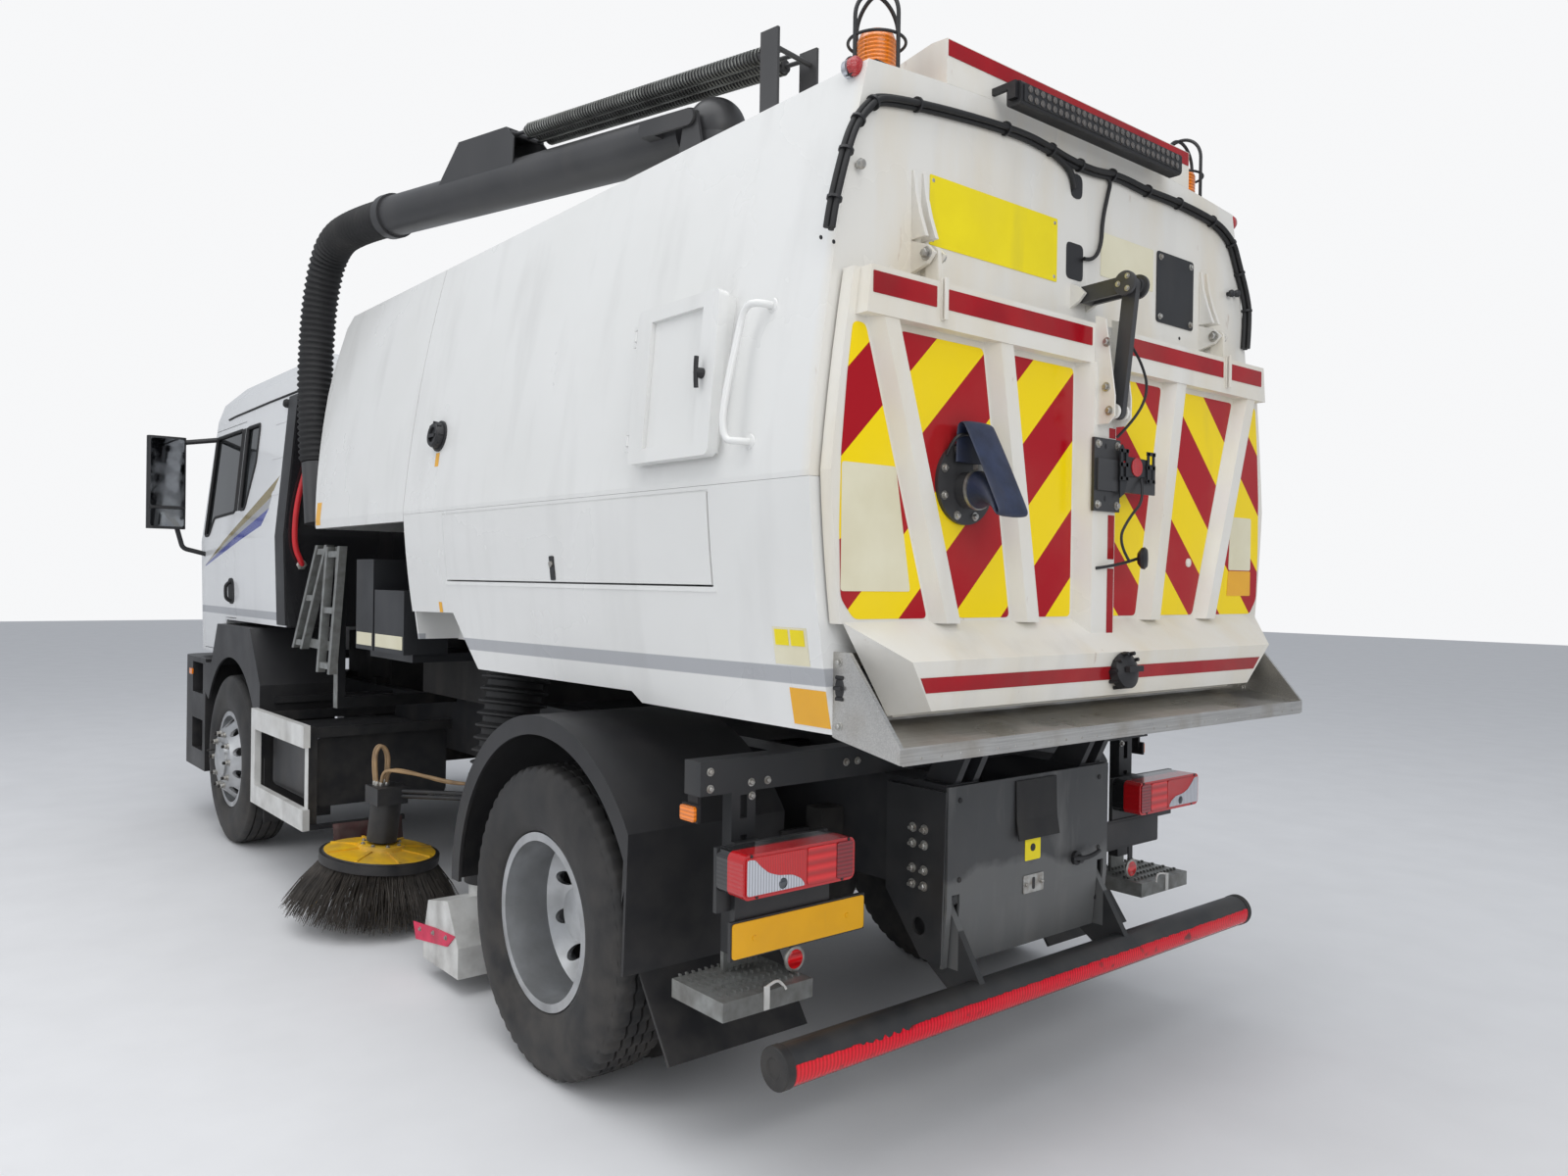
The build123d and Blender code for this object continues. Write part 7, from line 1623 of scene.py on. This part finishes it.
DOOR_WINDOW = [(3.105, 1.97), (2.995, 1.97), (2.885, 2.09), (2.37, 2.11), (2.37, 2.65), (3.04, 2.65)]
QUARTER_WINDOW = [(2.26, 2.12), (2.14, 2.12), (1.98, 2.41), (1.97, 2.65), (2.26, 2.65)]
SCREEN_EDGE = [(-0.99, 1.965), (0.99, 1.965), (0.93, 2.705), (-0.93, 2.705)]


def screen_x(y, z):
    """The bowed front of the cab at a place across and up."""
    front = 3.41 - SCREEN_LEAN * (z - WAIST_Z) / (ROOF_Z - WAIST_Z)
    end_y = cab_y(z) - CORNER_WIDE
    bend = (end_y ** 2 + SCREEN_BOW ** 2) / (2 * SCREEN_BOW)
    return front - bend + sqrt(bend * bend - y * y)


bm = bmesh.new()
rim, RIM_STEPS = [], 14
for (y0, z0), (y1, z1) in zip(SCREEN_EDGE, SCREEN_EDGE[1:] + SCREEN_EDGE[:1]):
    for n in range(RIM_STEPS):
        y, z = y0 + (y1 - y0) * n / RIM_STEPS, z0 + (z1 - z0) * n / RIM_STEPS
        rim.append((screen_x(y, z) - 0.003, y, z))
add_loop(bm, rim, 0.012)
for side in (1, -1):
    points = round_corners(QUARTER_WINDOW, 0.03)
    add_loop(bm, [(x, side * (cab_y(z) - 0.002), z) for x, z in points], 0.011)
    side_patch(bm, "cab_shell", rect(2.262, 2.303, 2.115, 2.655), side, PROUD, 0.0016)
    gutter = [(2.773, 2.756), (2.6, 2.762), (1.8, 2.768), (1.25, 2.768)]
    add_tube(bm, [Vector((x, side * (cab_y(z) + 0.001), z)) for x, z in gutter], 0.007, 8)
    lamp_at, out = on_side("cab_shell", 1.425, 2.715, side)
    add_turned(bm, lamp_at, out, [(0, 0), (0, 0.026), (0.014, 0.026), (0.026, 0.018), (0.028, 0)], 20)
    for z in (2.62, 2.41, 2.19):
        side_patch(bm, "cab_shell", round_corners(rect(1.3, 1.64, z - 0.012, z + 0.012), 0.01), side, 0.0002, 0.003, 1)
finish_piece("cab_seals", bm, "cab", [rubber, white_cab], 50)

for side, name in SIDES:
    bm = bmesh.new()
    add_loop(bm, [(x, side * (cab_y(z) - 0.002), z) for x, z in round_corners(DOOR_WINDOW, 0.03)], 0.011)
    side_patch(bm, f"door_{name}", rect(2.316, 2.364, 2.115, 2.655), side, PROUD, 0.0016)
    side_patch(bm, f"door_{name}", round_corners(rect(2.345, 2.49, 1.512, 1.68), 0.06, 6), side, PROUD, 0.004)
    at, out = on_side(f"door_{name}", 2.418, 1.655, side)
    handle = [at + out * off - Vector((0, 0, drop))
              for off, drop in ((0.003, 0), (0.032, 0.01), (0.034, 0.065), (0.03, 0.115), (0.002, 0.125))]
    add_tube(bm, smooth_line(handle, 6), 0.011, 12)
    finish_piece(f"door_seal_{name}", bm, f"door_{name}", rubber, 50)

MIRROR_FACE = 3.045
for side, name in SIDES:
    bm = bmesh.new()
    for z0, z1 in ((2.165, 2.625), (2.025, 2.145)):
        add_label(bm, MIRROR_FACE - PROUD, side * 1.296, side * 1.502, z0, z1, 0, 0.003, 0.018)
    add_label(bm, MIRROR_FACE - PROUD, side * 1.286, side * 1.512, 2.147, 2.163, 1, 0.006, 0.004)
    finish_piece(f"mirror_face_{name}", bm, f"door_{name}", [mirror_glass, black_plastic], 35, 0.0006)
print("cab pieces", last(4))

# %% [markdown]
# Behind the cab hangs a red air hose between two unions in the rear wall. On the roof are two red markers;
# in front, wiper arms lie on the bowed screen, and the bumper carries a blank plate, side markers and rings
# round the head lamps. The arms follow the screen by the same sum that bows its seal.

# %% Cab hoses, wipers and markers
bm = bmesh.new()
red_rubber = worn("red_rubber", (0.62, 0.012, 0.02), 0.45, second=(0.5, 0.02, 0.025), patch=0.1, grime=0.15, dust=0.1)
REAR_WALL_X = 1.21
union = [(0, 0), (0, 0.03), (0.006, 0.03), (0.008, 0.021), (0.022, 0.02), (0.022, 0)]
hose = [(1.203, 1.019, 2.432), (1.184, 1.022, 2.42), (1.18, 1.055, 2.292), (1.178, 1.092, 2.139),
        (1.178, 1.108, 1.988), (1.18, 1.104, 1.858), (1.184, 1.064, 1.775), (1.203, 1.058, 1.765)]
add_tube(bm, smooth_line(hose, 10), 0.0155, 16)
for y, z in ((1.019, 2.432), (1.058, 1.765)):
    add_turned(bm, (REAR_WALL_X + 0.001, y, z), BACK, union, 6, 1)
for y in (0.9, -0.9):
    at, _ = touch("cab_shell", (2.65, y * 0.9, 4.0), (0, 0, -1))
    add_turned(bm, at, (0, 0, 1), [(0, 0), (0, 0.028), (0.008, 0.026), (0.018, 0.016), (0.021, 0)], 24, 2)
finish_piece("cab_hose_and_markers", bm, "cab", [red_rubber, zinc, red_lens], 50)

bm = bmesh.new()
FOOT_Z, BLADE_Z, BLADE_STEPS = 1.945, 2.06, 12
pivot = [(0, 0), (0, 0.022), (0.022, 0.02), (0.028, 0.012), (0.028, 0)]
for foot_y, tip_y in ((0.64, -0.06), (-0.08, -0.78)):
    foot = Vector((screen_x(foot_y, FOOT_Z) + 0.004, foot_y, FOOT_Z))
    add_turned(bm, foot - Vector((0.01, 0, 0)), (1, 0, 0), pivot, 20)
    mid_y = (foot_y + tip_y) / 2
    elbow = Vector((screen_x(mid_y, BLADE_Z) + 0.02, mid_y, BLADE_Z))
    arm = [foot + Vector((0.01, 0, 0)), foot * 0.5 + elbow * 0.5 + Vector((0.012, 0, 0)), elbow]
    add_tube(bm, smooth_line(arm, 6), 0.006, 8)
    blade = []
    for n in range(BLADE_STEPS + 1):
        y = foot_y - 0.02 + (tip_y - foot_y) * n / BLADE_STEPS
        z = BLADE_Z - 0.1 * (foot_y - y - 0.35)
        blade.append(Vector((screen_x(y, z) + 0.013, y, z)))
    add_tube(bm, blade, 0.008, 8)
finish_piece("wipers", bm, "cab", rubber, 50)

bm = bmesh.new()
BUMPER_FACE = 3.59
front_plate = round_corners(rect(-0.26, 0.26, 0.712, 0.823), 0.01)
add_plate(bm, [(BUMPER_FACE + PROUD, y, z) for y, z in front_plate], (0.003, 0, 0))
for side in (1, -1):
    at, _ = on_side("front_bumper", 3.223, 1.018, side)
    side_marker = round_corners(rect(3.185, 3.262, 0.998, 1.038), 0.01)
    add_plate(bm, [(x, at.y + side * 0.0004, z) for x, z in side_marker], (0, side * 0.01, 0), 1)
    for y, z, r, index in ((0.85, 0.748, 0.068, 3), (0.99, 0.748, 0.058, 3), (0.92, 0.668, 0.022, 1)):
        at, out = touch("lamps", (4.5, side * y, z), (-1, 0, 0))
        dish = [(0, 0), (0, r), (0.003, r), (0.003, r - 0.006), (0.0012, r - 0.008), (0.0012, r * 0.4),
                (0.0026, r * 0.3), (0.0026, 0)]
        add_turned(bm, at, out, dish, 36, index)
        rim = [(0.0004, r - 0.0002), (0.0004, r + 0.0045), (0.0034, r + 0.0045), (0.0034, r - 0.0002)]
        add_turned(bm, at, out, rim, 36, 2)
finish_piece("front_plate_and_markers", bm, "chassis", [cream_film, amber_lens, black_plastic, pale_lens],
             40)
print("front pieces", last(3))

# %% [markdown]
# The boom is balanced by three long coil springs. A screw modifier could wind them, but the boom leans two
# ways, and a helix written in the boom's own axes lies right at once and gives each turn its true pitch.
# The brush motor has a pair of oil hoses that loop up and back down; grime has turned their covers tan.

# %% Coil springs and brush hoses
flat_side = Vector((-boom_way.y, boom_way.x, 0)).normalized()
boom_up = boom_way.cross(flat_side)
SPRING_START, SPRING_END, SPRING_UP = -0.275, 1.115, 0.185
SPRING_R, SPRING_WIRE, TURNS, STEPS_A_TURN = 0.0265, 0.0036, 84, 14
bm = bmesh.new()
for row_y in (-0.056, 0.0, 0.056):
    coil = []
    for k in range(TURNS * STEPS_A_TURN + 1):
        angle = 2 * pi * k / STEPS_A_TURN
        along = SPRING_START + (SPRING_END - SPRING_START) * k / (TURNS * STEPS_A_TURN)
        sideways, upward = row_y + SPRING_R * cos(angle), SPRING_UP + SPRING_R * sin(angle)
        coil.append(BOOM_FOOT + boom_way * along + flat_side * sideways + boom_up * upward)
    add_tube(bm, coil, SPRING_WIRE, 5)
# The wire's light grey is partly its own colour and partly a painted highlight, made lighter so that each coil shows.
spring_wire = worn("spring_wire", (0.16, 0.165, 0.155), 0.36, 0.7, second=(0.09, 0.09, 0.085), patch=0.1, grime=0.2)
finish_piece("boom_springs", bm, "boom", spring_wire, 60)

tan_hose = worn("tan_oil_hose", (0.42, 0.27, 0.13), 0.55, second=(0.25, 0.16, 0.09), patch=0.06, grime=0.3, dust=0.2,
                relief=0.3)
OIL_HOSE_R = 0.0085
motor_union = [(0, 0), (0, 0.013), (0.02, 0.013), (0.024, 0.01), (0.024, 0)]
arm_union = [(0, 0), (0, 0.012), (0.018, 0.012), (0.021, 0.0095), (0.021, 0)]
for side, name in SIDES:
    bm = bmesh.new()
    motor_top, _ = touch(f"brush_arm_{name}", (-0.01, side * 1.03, 1.5), (0, 0, -1))
    for shift in (0.0, 0.03):
        base = motor_top + Vector((0.022 - shift, side * 0.02, -0.002))
        end = motor_top + Vector((0.022 - shift, side * -0.03, -0.002))
        loop = [base] + [base + Vector((x, side * y, z)) for x, y, z in (
            (0.004, 0.006, 0.06), (0.006, 0.008, 0.15), (0.002, -0.006, 0.192), (0, -0.03, 0.196))]
        loop += [end + Vector((0.002, side * y, z)) for y, z in ((-0.008, 0.15), (-0.004, 0.06))] + [end]
        add_tube(bm, smooth_line(loop), OIL_HOSE_R, 12)
        for at in (base, end):
            add_turned(bm, at, (0, 0, 1), motor_union, 6, 1)
    for shift, clamp_x in ((0.0, -0.45), (0.026, -0.395)):
        base = motor_top + Vector((-0.024, side * (0.006 - shift), -0.002))
        rod_y = 0.56 + 0.896 * (clamp_x + 0.56)
        clamp, _ = touch(f"brush_arm_{name}", (clamp_x, side * rod_y, 1.5), (0, 0, -1))
        back = [base] + [base + Vector((x, side * y, z)) for x, y, z in (
            (-0.004, 0, 0.05), (-0.04, -0.01, 0.086), (-0.12, -0.05, 0.084))]
        back += [base * (1 - share) + clamp * share + Vector((0, side * y, z))
                 for share, y, z in ((0.4, 0.02, 0.07), (0.75, 0.015, 0.035))]
        back += [clamp + Vector((0.01, 0, 0.04)), clamp - Vector((0, 0, 0.002))]
        add_tube(bm, smooth_line(back), OIL_HOSE_R, 12)
        for at in (base, clamp):
            add_turned(bm, at, (0, 0, 1), arm_union, 6, 1)
    finish_piece(f"brush_hoses_{name}", bm, f"arm_{name}", [tan_hose, zinc], 50)
print("spring turns", TURNS)

# %% [markdown]
# Worn rubber closes the gaps near the road: a dark red flap hangs from a bar behind the side guard, and a
# pink strip seals the suction nozzle's outer side. The nozzle runs on small wheels with pressed white discs.
# Cloth physics would hang the flap, but it hardly moves, so it is a grid with a slight wave, and a modifier
# gives it thickness, which keeps its two faces parallel.

# %% Flaps and nozzle wheels
red_flap = worn("red_flap", (0.085, 0.012, 0.014), 0.6, second=(0.05, 0.012, 0.013), patch=0.08, grime=0.5, dust=0.5,
                relief=0.3)
pink_strip = worn("pink_strip", (0.8, 0.02, 0.1), 0.5, second=(0.62, 0.02, 0.08), patch=0.06, grime=0.3, dust=0.15)
FLAP_ROWS, FLAP_STEPS, FLAP_WIDE, FLAP_LONG, FLAP_BAR_Z = 8, 10, 0.37, 0.285, 0.392
bm = bmesh.new()
for side in (1, -1):
    add_box(bm, (0.53, side * 0.7, 0.372), (0.556, side * 1.225, 0.398), 1)
    rows = []
    for k in range(FLAP_ROWS + 1):
        share, row = k / FLAP_ROWS, []
        for n in range(FLAP_STEPS + 1):
            t = n / FLAP_STEPS
            wave = 0.004 * sin(9 * t + k)
            row.append(bm.verts.new((0.5285 - 0.03 * share * share + wave,
                                     side * (0.715 + FLAP_WIDE * t - 0.01 * share), FLAP_BAR_Z - FLAP_LONG * share)))
        rows.append(row)
    add_grid(bm, rows)
thicken(finish_piece("guard_flaps", bm, "chassis", [red_flap, dark_paint], 60), 0.005)

pressed_disc = [(PROUD, 0), (PROUD, 0.06), (0.004, 0.06), (0.006, 0.054), (0.0045, 0.046), (0.0035, 0.026),
                (0.009, 0.02), (0.01, 0.01), (0.01, 0)]
for side, name in SIDES:
    bm = bmesh.new()
    edge, _ = on_side(f"nozzle_{name}", -0.98, 0.2, side)
    strip = [(-0.76, 0.205), (-0.79, 0.135), (-1.12, 0.185), (-1.195, 0.245), (-1.0, 0.232)]
    add_plate(bm, [(x, edge.y + side * 0.0005, z) for x, z in strip], (0, side * 0.004, 0))
    for x, z in ((-0.84, 0.19), (-0.98, 0.208), (-1.11, 0.22)):
        add_bolt(bm, (x, edge.y + side * 0.0045, z), (0, side, 0), 0.007, 1)
    finish_piece(f"nozzle_strip_{name}", bm, f"nozzle_{name}", [pink_strip, zinc], 40)
    bm = bmesh.new()
    low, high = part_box(f"nozzle_wheel_{name}")
    wheel_at = Vector(((low[0] + high[0]) / 2, side * max(abs(low[1]), abs(high[1])), (low[2] + high[2]) / 2))
    add_turned(bm, wheel_at, (0, side, 0), pressed_disc, 40)
    for angle in turns(5):
        add_bolt(bm, wheel_at + Vector((0.036 * cos(angle), side * 0.004, 0.036 * sin(angle))), (0, side, 0), 0.004, 1)
    finish_piece(f"nozzle_disc_{name}", bm, f"nozzle_wheel_{name}", [side_white, zinc], 40)
print("nozzle pieces", last(4))

# %% [markdown]
# The steps at the tail are grating with pressed teeth, so boots do not slip on ice. A tooth is a short bent tab
# that stands on each bar of the grating. At this size a thin leaning plate shows all of it.

# %% Teeth of the steps
bm = bmesh.new()
TREAD_TOP, TREAD_FRONT, BAR_PITCH, TOOTH_PITCH = 0.54, -2.81, 0.05, 0.0235
BARS, TEETH = 5, 13
for side in (1, -1):
    for bar in range(BARS):
        x = TREAD_FRONT - 0.0043 - BAR_PITCH * bar
        for tooth in range(TEETH):
            y = side * (0.884 + TOOTH_PITCH * tooth)
            foot_y, foot_z, tip_y, tip_z = y - 0.006, TREAD_TOP - 0.0005, y - 0.003, TREAD_TOP + 0.0095
            add_plate(bm, [(x - 0.007, foot_y, foot_z), (x + 0.0035, foot_y, foot_z), (x + 0.0035, tip_y, tip_z),
                           (x - 0.007, tip_y, tip_z)], (0, 0.006, 0))
finish_piece("step_teeth", bm, "chassis", ladder_metal, 35)
print("step teeth", 2 * BARS * TEETH)

# %% [markdown]
# The last cell counts the pieces that were made and their triangles.

# %% Finish
print("pieces", len(made_pieces), "triangles", sum(len(p.data.polygons) * 2 for p in made_pieces))
